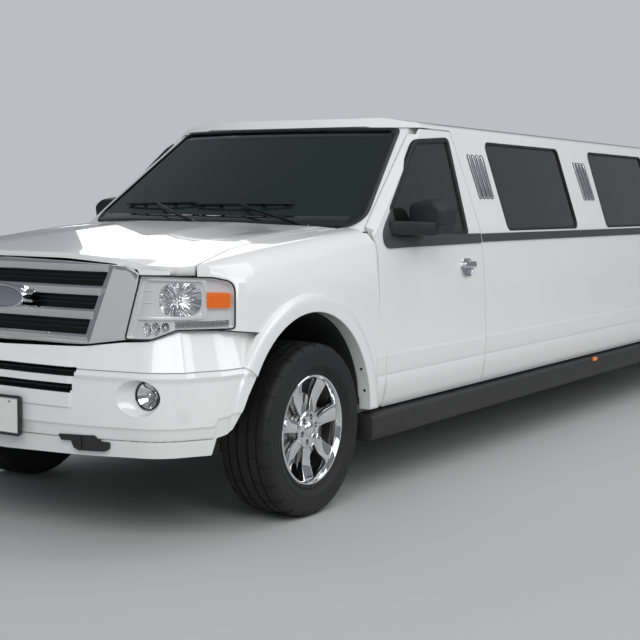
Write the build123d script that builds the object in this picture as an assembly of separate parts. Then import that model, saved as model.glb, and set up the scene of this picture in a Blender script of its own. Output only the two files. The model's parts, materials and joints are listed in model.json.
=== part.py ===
# Stretch limousine on a full-size utility vehicle's base, in millimetres.
# +Z is up, the nose points along -Y and the driver's side lies along +X.
# The origin is on the ground, in the middle of the length and width.
import os
from functools import lru_cache
from math import acos, atan2, cos, pi, radians, sin, tan
from build123d import *

# Overall layout
BASE_WHEELBASE = 3023.0
STRETCH = 3556.0
FRONT_OVERHANG = 1050.0
REAR_OVERHANG = 1172.0
WHEELBASE = BASE_WHEELBASE + STRETCH
LENGTH = FRONT_OVERHANG + WHEELBASE + REAR_OVERHANG
FRONT_AXLE_Y = -LENGTH / 2 + FRONT_OVERHANG
REAR_AXLE_Y = FRONT_AXLE_Y + WHEELBASE
TRACK_FRONT = 1703.0
TRACK_REAR = 1707.0
WIDE = 1400.0
TALL = 2400.0

# Gaps
DOOR_GAP = 8.0
PANEL_GAP = 8.0
SEAT_GAP = 0.3
RUNNING_GAP = 5.0

# Walls
SKIN = 14.0
DOOR_WALL = 55.0
SIDE_WALL = 105.0
ROOF_WALL = 45.0
FENDER_WALL = 46.0
HOOD_WALL = 22.0
BUMPER_WALL = 55.0
RIM_LAP = 16.0
DOOR_BOX_INSET = 30.0

# Body section: half widths x at heights z, each corner with its rounding radius
SILL_TOP_Z = 422.0
SILL_X = 905.0
SILL_BOTTOM_Z = 345.0
BODY_BOTTOM_Z = 430.0
DRIP_Z = 1862.0
BODY_SIDE = (
    # x, z, radius
    (962.0, BODY_BOTTOM_Z, 0.0),
    (984.0, 556.0, 25.0),
    (990.0, 700.0, 25.0),
    (982.0, 1000.0, 1500.0),
    (958.0, 1287.0, 500.0),
)
ROOF_EDGE = (806.0, 1885.0, 45.0)
ROOF_CROWN = (430.0, 1945.0, 3000.0)

# Windshield: a bent sheet whose middle line runs through two points of the side view
SCREEN_LOW = (562.0, 1479.0)
SCREEN_HIGH = (1163.0, 1893.5)
SCREEN_BOW = 120.0
SCREEN_BOW_HALF_WIDTH = 860.0
SCREEN_GLASS = 8.0
SCREEN_FRAME = 60.0
SCREEN_BOTTOM = (858.0, 1345.0)
SCREEN_TOP = (708.0, 1842.0)
SCREEN_LAP = 48.0
FRAME_FOOT_Z = 1310.0

# Doors: side-view stations from the front axle
DOOR_FRONT_S = 646.0
DOOR_HINGE_S = 556.0
DOOR_REAR_S = 1806.0
DOOR_BOTTOM_Z = BODY_BOTTOM_Z
DOOR_TOP_Z = DRIP_Z - DOOR_GAP
HINGE_X = 1001.0
CREASE_Z = 700.0
BELT_Z = 1287.0
CUT_LEAN = 150.0

SAIL_S = 790.0

# Stretch windows
WINDOW_LOW_Z = 1296.0
WINDOW_HIGH_Z = 1815.0
WINDOW_LEAN = 95.0
WINDOW_LENGTH = 1131.0
PILLAR_FIRST = 360.0
PILLAR = 530.0
WINDOW_RADIUS = 45.0
GLASS_RECESS = 10.0
GLASS = 6.0

# Wheels
TYRE_RADIUS = 405.0
TYRE_WIDTH = 275.0
BEAD_RADIUS = 258.0
RIM_HALF_WIDTH = 118.0
RIM_THICK = 12.0
SPOKES = 7
HUB_RADIUS = 92.0
SPINDLE_RADIUS = 24.0
SPINDLE_FIT = 0.05
HUB_INNER = 45.0
HUB_OUTER = 98.0

# Arches
ARCH_RADIUS = 525.0
ARCH_S = -55.0
ARCH_Z = 432.0
FLARE_WIDTH = 78.0
FLARE_X = 1001.0
FLARE_DEPTH = 60.0
REAR_ARCH_S = 0.0

# Nose outlines in plan: half width x, distance from the front axle, radius
NOSE_PLAN = (
    (450.0, -978.0, 1500.0),
    (815.0, -925.0, 260.0),
    (985.0, -600.0, 420.0),
)
BUMPER_PLAN = (
    (450.0, -1025.0, 1500.0),
    (850.0, -950.0, 260.0),
    (1001.0, -640.0, 300.0),
)
NOSE_SECTIONS = (
    # distance from the front axle, then x, z and radius of each corner
    (-1010.0, ((975.0, 1085.0, 0.0), (905.0, 1160.0, 40.0), (712.0, 1170.0, 90.0), (590.0, 1206.0, 90.0))),
    (-350.0, ((988.0, 1130.0, 0.0), (905.0, 1240.0, 100.0), (712.0, 1264.0, 90.0), (590.0, 1278.0, 90.0))),
    (580.0, ((988.0, 1215.0, 0.0), (905.0, 1322.0, 100.0), (712.0, 1346.0, 90.0), (590.0, 1354.0, 90.0))),
)
NOSE_CROWN = 16.0
NOSE_BASE_Z = 500.0

# Hood cut line in plan, and its hinge
HOOD_CUT = (
    (560.0, -926.0), (900.0, -840.0), (866.0, -715.0), (790.0, -430.0), (757.0, 0.0), (775.0, 260.0), (792.0, 400.0),
)
HOOD_REAR_S = 455.0
HOOD_REAR_BOW = 165.0
HOOD_HINGE_S = 512.0
HOOD_HINGE_Z = 1372.0

# Lamp outline
LAMP_INNER_TOP_X = 725.0
LAMP_INNER_LOW_X = 650.0
LAMP_TOP_Z = 1152.0
LAMP_LOW_Z = 882.0
LAMP_HUMP = (850.0, 930.0)
LAMP_REAR_S = -634.0
LAMP_DEPTH = 115.0
FENDER_TIP_S = -835.0

# Grille
GRILLE_TOP_Z = 1208.0
GRILLE_DEPTH = 55.0
GRILLE_S = -1000.0

# Underbody
RAIL_LOW_Z = 470.0
RAIL_HIGH_Z = 600.0
RAIL_INNER_X = 420.0
RAIL_OUTER_X = 500.0
FLOOR = 30.0
AXLE_Z = TYRE_RADIUS
RAIL_WALL_END_S = 930.0

# Rear end
GATE_S = 1118.0
GATE_TOP_Z = 1800.0
GATE_TOP_S = 925.0
GATE_LOW_Z = 752.0
GATE_GAP = 9.0
BUMPER_TOP_Z = 738.0
RECEIVER_PIN_RADIUS = 7.94
RECEIVER_OUTER = 63.5
RECEIVER_BORE = 51.0
RECEIVER_PIN_INSET = 60.0
RECEIVER_Z = 402.0
BUMPER_REAR_LOW_Z = 440.0
BUMPER_REAR_START = 618.0
BUMPER_STEP = 40.0


def station(distance):
    """Y of a point that lies this far behind the front axle."""
    return FRONT_AXLE_Y + distance


def rear_station(distance):
    """Y of a point that lies this far behind the rear axle."""
    return REAR_AXLE_Y + distance


def offset_rows(rows, amount):
    """Move a closed outline of (u, v, radius) corners outwards, or inwards if amount is negative."""
    area = sum(rows[i - 1][0] * rows[i][1] - rows[i][0] * rows[i - 1][1] for i in range(len(rows)))
    turn = 1.0 if area > 0 else -1.0
    moved = []
    for i, (u, v, radius) in enumerate(rows):
        before = Vector(u - rows[i - 1][0], v - rows[i - 1][1]).normalized()
        following = rows[(i + 1) % len(rows)]
        after = Vector(following[0] - u, following[1] - v).normalized()
        out_before = Vector(before.Y, -before.X) * turn
        out_after = Vector(after.Y, -after.X) * turn
        shift = (out_before + out_after) * (amount / (1 + out_before.dot(out_after)))
        bulges = (before.X * after.Y - before.Y * after.X) * turn > 0
        change = amount if bulges else -amount
        moved.append((u + shift.X, v + shift.Y, max(radius + change, 0.0) if radius else 0.0))
    return tuple(moved)


def outline_face(rows, place):
    """Face inside a closed outline of (u, v, radius) corners, each rounded by a tangent arc."""
    corners = []
    for i, (u, v, radius) in enumerate(rows):
        here = Vector(u, v)
        following = rows[(i + 1) % len(rows)]
        back = (Vector(rows[i - 1][0], rows[i - 1][1]) - here).normalized()
        ahead = (Vector(following[0], following[1]) - here).normalized()
        half = acos(max(-1.0, min(1.0, back.dot(ahead)))) / 2
        if radius and half < pi / 2 - 1e-6:
            reach = radius / tan(half)
            middle = here + (back + ahead).normalized() * (radius / sin(half) - radius)
            corners.append((here + back * reach, middle, here + ahead * reach))
        else:
            corners.append((here, None, here))
    edges = []
    for (start, middle, end), following in zip(corners, corners[1:] + corners[:1]):
        if middle is not None:
            edges.append(Edge.make_three_point_arc(place(start), place(middle), place(end)))
        if (following[0] - end).length > 1e-6:
            edges.append(Edge.make_line(place(end), place(following[0])))
    return Face(Wire(edges))


def side_prism(rows, x_low, x_high):
    """Outline of (y, z, radius) corners, drawn out across the width."""
    face = outline_face(rows, lambda p: Vector(x_low, p.X, p.Y))
    return Solid.extrude(face, Vector(x_high - x_low, 0, 0))


def front_prism(rows, y_low, y_high):
    """Outline of (x, z, radius) corners, drawn out along the length."""
    face = outline_face(rows, lambda p: Vector(p.X, y_low, p.Y))
    return Solid.extrude(face, Vector(0, y_high - y_low, 0))


def plan_prism(rows, z_low, z_high):
    """Outline of (x, y, radius) corners, drawn out upwards."""
    face = outline_face(rows, lambda p: Vector(p.X, p.Y, z_low))
    return Solid.extrude(face, Vector(0, 0, z_high - z_low))


def block(x, y, z):
    """Box between two values on each axis."""
    return Pos((x[0] + x[1]) / 2, (y[0] + y[1]) / 2, (z[0] + z[1]) / 2) * Box(x[1] - x[0], y[1] - y[0], z[1] - z[0])


def rod(start, end, radius):
    """Round bar between two points."""
    line = Vector(*end) - Vector(*start)
    return Solid.make_cylinder(radius, line.length, Plane(origin=start, z_dir=line))


def both_halves(rows):
    """Right-hand outline rows, repeated in mirror image to close the left."""
    return tuple(rows) + tuple((-u, v, radius) for u, v, radius in reversed(rows))


def mirrored(shape):
    """The same shape on the other side of the car."""
    return shape.mirror(Plane.YZ)


def at_stations(rows, origin):
    """Side-view rows (distance, z, radius) moved to their place along the length."""
    return tuple((origin + distance, z, radius) for distance, z, radius in rows)


def cabin_section(side_inset, roof_inset):
    """Front-view outline of the body with its sides and roof moved inwards."""
    sill = SILL_X if side_inset == 0 else BODY_SIDE[0][0] - side_inset
    low = SILL_BOTTOM_Z if side_inset == 0 else SILL_BOTTOM_Z - 100
    rows = [(sill, low, 0.0), (sill, SILL_TOP_Z, 0.0)]
    rows += [(x - side_inset, z, radius) for x, z, radius in BODY_SIDE]
    rows.append((ROOF_EDGE[0] - side_inset, ROOF_EDGE[1] - roof_inset, ROOF_EDGE[2]))
    rows.append((ROOF_CROWN[0] - side_inset, ROOF_CROWN[1] - roof_inset, ROOF_CROWN[2]))
    return both_halves(rows)


def cabin_profile(rear_inset, roof_inset):
    """Side-view outline of the body behind the windshield."""
    rear = rear_station(0) - rear_inset
    low = SILL_BOTTOM_Z - (100 if rear_inset else 0)
    return (
        (station(200), low, 0.0),
        (station(200), 1848 - roof_inset, 0.0),
        (station(1750), ROOF_CROWN[1] + 4 - roof_inset, 2500.0),
        (rear - 100, ROOF_CROWN[1] + 4 - roof_inset, 4000.0),
        (rear + GATE_TOP_S - 30, 1900 - roof_inset, 60.0),
        (rear + GATE_S, 1180, 300.0),
        (rear + GATE_S, low, 0.0),
    )


def cabin_plan(side_inset):
    """Plan outline of the body: square in front, rounded at the rear corners."""
    half = HINGE_X + 20 - side_inset
    rear = rear_station(GATE_S) - side_inset
    return both_halves(((half, station(100), 0.0), (half, rear - 130, 240.0), (half - 190, rear - 18, 200.0),
                        (300.0, rear, 2500.0)))


def behind_screen(inset):
    """Everything behind the windshield's bent sheet, moved back by an inset."""
    run = SCREEN_HIGH[0] - SCREEN_LOW[0]
    rise = SCREEN_HIGH[1] - SCREEN_LOW[1]
    rake = atan2(rise, run)
    low = Vector(0, station(SCREEN_LOW[0]), SCREEN_LOW[1])
    up = Vector(0, cos(rake), sin(rake))
    out = Vector(0, -sin(rake), cos(rake))
    radius = (SCREEN_BOW_HALF_WIDTH ** 2 + SCREEN_BOW ** 2) / (2 * SCREEN_BOW) - inset
    half = SCREEN_BOW_HALF_WIDTH + 200
    drop = radius - (radius ** 2 - half ** 2) ** 0.5
    foot = low - up * 900 - out * inset
    crown = foot
    left = foot + Vector(half, 0, 0) - out * drop
    right = foot + Vector(-half, 0, 0) - out * drop
    deep = out * 9000
    edges = (Edge.make_three_point_arc(left, crown, right), Edge.make_line(right, right - deep),
             Edge.make_line(right - deep, left - deep), Edge.make_line(left - deep, left))
    return Solid.extrude(Face(Wire(edges)), up * 9000)


@lru_cache(maxsize=None)
def cabin(side_inset, roof_inset, rear_inset):
    """Outer or inner envelope of the passenger body."""
    length = (station(150), rear_station(REAR_OVERHANG))
    shape = front_prism(cabin_section(side_inset, roof_inset), *length)
    shape &= side_prism(cabin_profile(rear_inset, roof_inset), -WIDE, WIDE)
    return shape & plan_prism(cabin_plan(side_inset), 0, TALL)


def nose_sections(inset):
    """Cross sections of the hood and fender tops."""
    faces = []
    for distance, rows in NOSE_SECTIONS:
        base = [(rows[0][0] - inset, NOSE_BASE_Z, 0.0)]
        base += [(x - inset, z - inset, radius) for x, z, radius in rows]
        top = rows[-1][1] - inset + NOSE_CROWN
        base.append((300.0, top, 1500.0))
        y = station(distance)
        faces.append(outline_face(both_halves(base), lambda p, y=y: Vector(p.X, y, p.Y)))
    return faces


def closed_plan(rows, back, inset):
    """Plan outline of a nose, drawn back to a station, with front and sides moved inwards."""
    open_rows = [(x, station(distance), radius) for x, distance, radius in rows]
    open_rows.append((rows[-1][0], back, 0.0))
    outline = offset_rows(both_halves(open_rows[::-1]), -inset)
    return tuple((x, back if y > back - inset - 1 else y, radius) for x, y, radius in outline)


@lru_cache(maxsize=None)
def nose(inset):
    """Outer or inner envelope of the hood, fenders and lamps."""
    top = loft(nose_sections(inset))
    side = front_prism(cabin_section(inset, 0), station(-1100), station(700))
    return top & side & plan_prism(closed_plan(NOSE_PLAN, station(660), inset), 0, TALL)


DOOR_FRONT_OUTLINE = (
    # distance from the front axle, z, radius
    (DOOR_FRONT_S, DOOR_BOTTOM_Z, 14.0),
    (DOOR_FRONT_S - 20, 1000.0, 600.0),
    (DOOR_HINGE_S, 1385.0, 60.0),
    (1165.0, DOOR_TOP_Z, 90.0),
    (DOOR_REAR_S - CUT_LEAN, DOOR_TOP_Z, 16.0),
    (DOOR_REAR_S - 22, BELT_Z, 200.0),
    (DOOR_REAR_S, CREASE_Z, 200.0),
    (DOOR_REAR_S - 22, DOOR_BOTTOM_Z, 14.0),
)
WINDOW_FRONT_OUTLINE = (
    (SAIL_S, 1300.0, 20.0),
    (SAIL_S, 1420.0, 30.0),
    (1180.0, 1752.0, 110.0),
    (1235.0, 1782.0, 60.0),
    (1602.0, 1806.0, 22.0),
    (1612.0, 1290.0, 22.0),
)
DOOR_REAR_OUTLINE = (
    (DOOR_REAR_S + STRETCH + 14, DOOR_BOTTOM_Z, 14.0),
    (DOOR_REAR_S + STRETCH, CREASE_Z, 200.0),
    (DOOR_REAR_S + STRETCH - 22, BELT_Z, 200.0),
    (DOOR_REAR_S + STRETCH - CUT_LEAN, DOOR_TOP_Z, 16.0),
    (WHEELBASE - 330, DOOR_TOP_Z, 30.0),
    (WHEELBASE - 245, BELT_Z, 200.0),
    (WHEELBASE - 285, 1060.0, 120.0),
    (WHEELBASE - 560, 860.0, 160.0),
    (WHEELBASE - 625, DOOR_BOTTOM_Z, 14.0),
)
WINDOW_REAR_OUTLINE = (
    (DOOR_REAR_S + STRETCH + 55, 1290.0, 22.0),
    (DOOR_REAR_S + STRETCH - 22, 1806.0, 22.0),
    (WHEELBASE - 392, 1806.0, 40.0),
    (WHEELBASE - 315, 1290.0, 30.0),
)
REAR_HINGE_S = DOOR_REAR_S + STRETCH - CUT_LEAN


def stretch_windows():
    """Outlines of the two fixed windows in the stretch and the quarter window behind the rear door."""
    outlines = []
    start = DOOR_REAR_S + PILLAR_FIRST
    for number in range(2):
        low = start + number * (WINDOW_LENGTH + PILLAR)
        outlines.append(at_stations((
            (low, WINDOW_LOW_Z, WINDOW_RADIUS), (low - WINDOW_LEAN, WINDOW_HIGH_Z, WINDOW_RADIUS),
            (low + WINDOW_LENGTH - WINDOW_LEAN, WINDOW_HIGH_Z, WINDOW_RADIUS),
            (low + WINDOW_LENGTH, WINDOW_LOW_Z, WINDOW_RADIUS)), FRONT_AXLE_Y))
    outlines.append(at_stations((
        (-165.0, WINDOW_LOW_Z, 40.0), (-225.0, WINDOW_HIGH_Z, 40.0),
        (560.0, WINDOW_HIGH_Z, 90.0), (760.0, WINDOW_LOW_Z, 60.0)), REAR_AXLE_Y))
    return outlines


def gate_outline():
    """Rear-view outline of the liftgate."""
    return both_halves(((812.0, GATE_LOW_Z, 40.0), (815.0, 1240.0, 200.0), (700.0, GATE_TOP_Z, 50.0)))


def gate_opening(shape):
    """Cut the liftgate's opening, leaving a flange that its rim laps."""
    outer = front_prism(offset_rows(gate_outline(), GATE_GAP), rear_station(600), LENGTH)
    inner = front_prism(offset_rows(gate_outline(), -RIM_LAP), rear_station(600), LENGTH)
    return shape - (outer - cabin(SKIN + SEAT_GAP, 0, SKIN + SEAT_GAP)) - inner


def gate_window():
    """Rear-view outline of the liftgate's window."""
    return both_halves(((742.0, 1275.0, 40.0), (650.0, 1735.0, 50.0)))


def arch_cutter(axle_y, offset, x_inner):
    """Round wheel opening through the left-hand side."""
    middle = (x_inner, axle_y + offset, ARCH_Z)
    return rod(middle, (WIDE, middle[1], ARCH_Z), ARCH_RADIUS)


def flare(axle_y, offset):
    """Raised band round the left-hand wheel opening."""
    start = (FLARE_X - FLARE_DEPTH, axle_y + offset, ARCH_Z)
    end = (FLARE_X, axle_y + offset, ARCH_Z)
    band = rod(start, end, ARCH_RADIUS + FLARE_WIDTH)
    return band & block((0, WIDE), (-LENGTH, LENGTH), (BODY_BOTTOM_Z + 12, TALL))


def fender_outline():
    """Side-view outline of the front fender, between lamp, bumper and door."""
    edge = offset_rows(at_stations(DOOR_FRONT_OUTLINE, FRONT_AXLE_Y), DOOR_GAP)
    return (
        (edge[0][0], BODY_BOTTOM_Z + 12, 0.0), edge[1], edge[2][:2] + (0.0,), (edge[2][0], 1500.0, 0.0),
        (station(-1100), 1500.0, 0.0), (station(-1100), LAMP_TOP_Z + 2, 0.0), (station(-735), 1136.0, 30.0),
        (station(LAMP_REAR_S), 1075.0, 25.0), (station(LAMP_REAR_S), 914.0, 0.0), (station(-330), 880.0, 0.0),
        (station(-330), BODY_BOTTOM_Z + 12, 0.0),
    )


def lamp_side_outline():
    """Side-view outline of the headlamp, which fits the fender and the bumper."""
    fender = fender_outline()
    return fender[5:9] + ((station(-900), 860.0, 0.0), (station(-1100), 800.0, 0.0))


def bumper_top():
    """Front-view line where the bumper meets the grille and lamps, from the middle outwards."""
    return ((0.0, 836.0, 0.0), (450.0, 850.0, 0.0), (LAMP_INNER_LOW_X, 876.0, 0.0), (775.0, LAMP_LOW_Z, 60.0),
            (LAMP_HUMP[0], LAMP_HUMP[1], 60.0), (WIDE, 890.0, 0.0))


def hood_outline(gap):
    """Plan outline of the hood, opened up or drawn in by a gap."""
    rows = [(x, station(distance), 60.0 if 0 < i < len(HOOD_CUT) - 1 else 0.0)
            for i, (x, distance) in enumerate(HOOD_CUT)]
    rows.append((800.0, station(HOOD_REAR_S), 0.0))
    rows.append((420.0, station(HOOD_REAR_S - HOOD_REAR_BOW), 1500.0))
    return offset_rows(both_halves(rows), gap)


def door_parts(outline, window):
    """Left-hand door: a skin whose rim laps the body, a thicker box behind it, the window cut through."""
    shell = cabin(0, 0, 0) & behind_screen(SCREEN_GLASS)
    skin = (shell & side_prism(outline, 0, WIDE)) - cabin(SKIN, 0, 0)
    box = (shell & side_prism(offset_rows(outline, -DOOR_BOX_INSET), 0, WIDE)) - cabin(DOOR_WALL, 0, 0)
    door = skin + (box & cabin(SKIN - 2, 0, 0))
    return door - side_prism(window, 0, WIDE)


def side_glass(window):
    """Pane that fills a left-hand window, along the slope of the body side."""
    pane = cabin(GLASS_RECESS, 0, 0) - cabin(GLASS_RECESS + GLASS, 0, 0)
    return pane & side_prism(window, 0, WIDE)


def body_side():
    """Left-hand body side: long panel, pillars, door apertures, quarter with its arch."""
    shell = (cabin(0, 0, 0) - cabin(SIDE_WALL, ROOF_WALL, SIDE_WALL)) & behind_screen(SCREEN_GLASS + SEAT_GAP)
    side = shell & block((0, WIDE), (station(500), LENGTH), (0, DRIP_Z))
    side -= block((0, 700 + GATE_GAP), (rear_station(600), LENGTH), (0, GATE_LOW_Z))
    side = gate_opening(side)
    for outline in (DOOR_FRONT_OUTLINE, DOOR_REAR_OUTLINE):
        door = at_stations(outline, FRONT_AXLE_Y)
        outside = side_prism(offset_rows(door, DOOR_GAP), 0, WIDE) - cabin(SKIN + SEAT_GAP, 0, 0)
        side -= outside
        side -= side_prism(offset_rows(door, -RIM_LAP), 0, WIDE)
    ahead = at_stations(((300.0, 0.0, 0.0), (300.0, 1500.0, 0.0), (700.0, 1500.0, 0.0), (700.0, 0.0, 0.0)), FRONT_AXLE_Y)
    side -= side_prism(ahead, 0, WIDE) - cabin(DOOR_WALL + 6, 0, 0)
    screen_band = behind_screen(-400) - behind_screen(SCREEN_GLASS + SCREEN_FRAME + 2)
    side -= screen_band & block((0, WIDE), (station(300), station(1700)), (1250, TALL))
    for window in stretch_windows():
        side -= side_prism(window, 0, WIDE)
    side += flare(REAR_AXLE_Y, REAR_ARCH_S) & block((0, WIDE), (rear_station(-616), LENGTH), (0, TALL))
    side -= arch_cutter(REAR_AXLE_Y, REAR_ARCH_S, 600)
    side -= block((0, WIDE), (rear_station(BUMPER_REAR_START), LENGTH), (0, BUMPER_TOP_Z))
    return side


def roof_panel():
    """Roof skin with the windshield's frame and the posts that carry it."""
    shell = (cabin(0, 0, 0) - cabin(SIDE_WALL, ROOF_WALL, SIDE_WALL)) & behind_screen(0)
    roof = shell & block((-WIDE, WIDE), (station(900), LENGTH), (DRIP_Z, TALL))
    glass_room = both_halves((SCREEN_BOTTOM + (0.0,), SCREEN_TOP + (0.0,)))
    pocket = front_prism(offset_rows(glass_room, 3), station(0), station(1700)) - behind_screen(SCREEN_GLASS + SEAT_GAP)
    frame = cabin(DOOR_WALL + 8, 2, 0) & behind_screen(SCREEN_GLASS + SEAT_GAP)
    frame -= behind_screen(SCREEN_GLASS + SCREEN_FRAME)
    frame &= block((-WIDE, WIDE), (station(300), station(1500)), (FRAME_FOOT_Z, TALL))
    opening = both_halves(((SCREEN_BOTTOM[0] - SCREEN_LAP, 1385.0, 60.0), (SCREEN_TOP[0] - SCREEN_LAP, 1800.0, 60.0)))
    roof = (roof - pocket) + (frame - front_prism(opening, station(0), station(1700)))
    return gate_opening(roof)


def windshield():
    """Bent glass sheet, wider at the bottom."""
    sheet = behind_screen(0) - behind_screen(SCREEN_GLASS)
    outline = both_halves((SCREEN_BOTTOM + (70.0,), SCREEN_TOP + (70.0,)))
    return sheet & front_prism(outline, station(0), station(1700))


def front_fender():
    """Left-hand fender with its half of the wheel opening's flare."""
    skin = nose(0) - nose(FENDER_WALL)
    outline = side_prism(fender_outline(), 0, WIDE)
    fender = (skin & outline & block((450, WIDE), (-LENGTH, LENGTH), (0, TALL)))
    fender -= plan_prism(hood_outline(PANEL_GAP), 1000, TALL)
    fender -= block((0, WIDE), (station(-1200), station(FENDER_TIP_S)), (0, TALL))
    fender -= block((0, HOOD_CUT[-1][0] + 2 * PANEL_GAP), (station(300), station(700)), (0, TALL))
    fender -= behind_screen(-6) & block((0, WIDE), (station(300), station(700)), (FRAME_FOOT_Z - 5, TALL))
    fender += flare(FRONT_AXLE_Y, ARCH_S) & outline
    fender -= arch_cutter(FRONT_AXLE_Y, ARCH_S, 300)
    return fender


def hood_panel():
    """Hood skin, cut to its plan outline."""
    skin = nose(0) - nose(HOOD_WALL)
    return skin & plan_prism(hood_outline(0), 1120, TALL)


def clear_of_hood(shape, gap):
    """Cut away what would come closer to the closed hood than a gap."""
    return shape - (plan_prism(hood_outline(PANEL_GAP), 1000, TALL) - nose(HOOD_WALL + gap))


def headlamp():
    """Left-hand lamp unit, wrapped round the corner of the nose."""
    outline = ((LAMP_INNER_TOP_X, 1300.0, 0.0), (LAMP_INNER_TOP_X, LAMP_TOP_Z, 0.0), (LAMP_INNER_LOW_X, 877.0, 0.0))
    outline += bumper_top()[3:5] + ((WIDE, 890.0, 0.0), (WIDE, 1300.0, 0.0))
    lamp = (nose(2) - nose(LAMP_DEPTH)) & front_prism(outline, station(-1100), station(-400))
    return clear_of_hood(lamp & side_prism(lamp_side_outline(), 0, WIDE), RUNNING_GAP)


def bumper_profile():
    """Side-view outline of the front bumper at the middle of the car."""
    front = station(-FRONT_OVERHANG + 20)
    return (
        (station(400), 1100.0, 0.0), (front + 42, 1100.0, 0.0), (front + 35, 846.0, 20.0), (front, 725.0, 30.0),
        (front, 470.0, 60.0), (front + 45, 362.0, 20.0), (station(-640), 415.0, 30.0), (station(400), 415.0, 0.0),
    )


def front_bumper():
    """Front bumper: one wrapped shell with air slots, lamp recesses and arch ends."""
    outer = plan_prism(closed_plan(BUMPER_PLAN, station(0), 0), 300, 1000)
    inner = plan_prism(closed_plan(BUMPER_PLAN, station(0), BUMPER_WALL), 200, 1100)
    shell = (outer - inner) & side_prism(bumper_profile(), -WIDE, WIDE)
    top = bumper_top()
    ceiling = both_halves(((1.0, 1200.0, 0.0),) + ((WIDE, 1200.0, 0.0),) + top[::-1][:-1] + ((1.0, 836.0, 0.0),))
    shell -= front_prism(ceiling, station(-1100), station(LAMP_REAR_S))
    behind_lamp = fender_outline()
    shell -= side_prism((behind_lamp[8], behind_lamp[9], (station(50), 880.0, 0.0), (station(50), 1100.0, 0.0),
                         (station(LAMP_REAR_S), 1100.0, 0.0)), -WIDE, WIDE)
    shell &= block((-WIDE, WIDE), (station(-1100), station(-330)), (0, TALL))
    for low, high, half in ((720.0, 760.0, 439.0), (650.0, 689.0, 418.0)):
        slot = both_halves(((half - 14, low, 4.0), (half, high, 4.0)))
        shell -= front_prism(slot, station(-1100), station(-900))
    for side in (1, -1):
        fog = (side * FOG_X, station(-1100), FOG_Z)
        shell -= rod(fog, (side * FOG_X, station(-700), FOG_Z), FOG_RADIUS + SEAT_GAP)
    flares = flare(FRONT_AXLE_Y, ARCH_S) & block((0, WIDE), (station(-1100), station(-331)), (0, 865))
    flares &= side_prism(bumper_profile(), 0, WIDE)
    flares -= side_prism((behind_lamp[8], behind_lamp[9], (station(50), 1100.0, 0.0), (station(LAMP_REAR_S), 1100.0, 0.0)),
                         0, WIDE)
    shell = shell + flares + mirrored(flares)
    cutter = arch_cutter(FRONT_AXLE_Y, ARCH_S, 300)
    low_cut = side_prism(at_stations(((-786.0, 400.0, 0.0), (-669.0, 490.0, 0.0), (-450.0, 640.0, 0.0),
                                      (-300.0, 400.0, 0.0)), FRONT_AXLE_Y), 300, WIDE)
    return shell - cutter - mirrored(cutter) - low_cut - mirrored(low_cut)


FOG_X = 785.0
FOG_Z = 655.0
FOG_RADIUS = 60.0


def fog_lamp():
    """Left-hand round lamp in the bumper."""
    body = rod((FOG_X, station(-1100), FOG_Z), (FOG_X, station(-840), FOG_Z), FOG_RADIUS)
    return body & plan_prism(closed_plan(BUMPER_PLAN, station(0), 22), 300, 1000)


def grille():
    """Bright grille: a six-cornered plate with three rows of openings and a bare oval in the middle."""
    half = ((0.0, 838.0, 0.0), (450.0, 852.0, 0.0), (LAMP_INNER_LOW_X, 878.0, 0.0), (LAMP_INNER_TOP_X - 2, LAMP_TOP_Z, 20.0),
            (645.0, 1190.0, 60.0), (0.0, GRILLE_TOP_Z, 0.0))
    rows = half[1:-1]
    outline = ((0.0, 838.0, 0.0),) + rows + ((0.0, GRILLE_TOP_Z, 0.0),)
    outline += tuple((-u, v, radius) for u, v, radius in reversed(rows))
    plate = front_prism(outline, station(-1100), station(-800))
    plate &= plan_prism(closed_plan(NOSE_PLAN, station(0), -12), 700, 1400)
    plate -= plan_prism(closed_plan(NOSE_PLAN, station(0), -12 + GRILLE_DEPTH), 700, 1400)
    for top, bottom, width_top, width_low in ((1160.0, 1102.0, 583.0, 566.0), (1061.0, 1004.0, 530.0, 516.0),
                                              (960.0, 897.0, 492.0, 478.0)):
        opening = both_halves(((width_low, bottom, 5.0), (width_top, top, 5.0)))
        plate -= front_prism(opening, station(-1100), station(-800))
    post = front_prism(both_halves(((28.0, 870.0, 0.0), (28.0, 1180.0, 0.0))), station(-985), station(-955))
    badge = Pos(0, station(-978), 1044) * Rot(90, 0, 0) * extrude(Ellipse(118, 48), amount=12, both=True)
    return plate + post + badge


def seat(x, y, width):
    """One seat on the floor: cushion, back and head rest, carried by a plinth."""
    floor = RAIL_HIGH_Z + FLOOR
    base = block((x - width / 2 + 60, x + width / 2 - 60), (y + 60, y + 420), (floor, floor + 200))
    cushion = side_prism(((y, floor + 200, 40.0), (y - 10, floor + 340, 60.0), (y + 520, floor + 310, 20.0),
                          (y + 520, floor + 200, 20.0)), x - width / 2, x + width / 2)
    back = side_prism(((y + 430, floor + 250, 20.0), (y + 560, floor + 850, 60.0), (y + 680, floor + 850, 60.0),
                       (y + 570, floor + 220, 20.0)), x - width / 2, x + width / 2)
    head = side_prism(((y + 580, floor + 840, 10.0), (y + 600, floor + 1010, 40.0), (y + 690, floor + 1010, 40.0),
                       (y + 660, floor + 840, 10.0)), x - 130, x + 130)
    return base + cushion + back + head


def bench(x_low, x_high, y_low, y_high):
    """Long saloon bench along one side, with a low back."""
    floor = RAIL_HIGH_Z + FLOOR
    base = block((x_low, x_high), (y_low, y_high), (floor, floor + 330))
    side = 1 if x_high > 0 else -1
    wall = x_high if side > 0 else x_low
    back = block(sorted((wall, wall - side * 130)), (y_low, y_high), (floor + 320, floor + 620))
    return base + back


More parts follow.
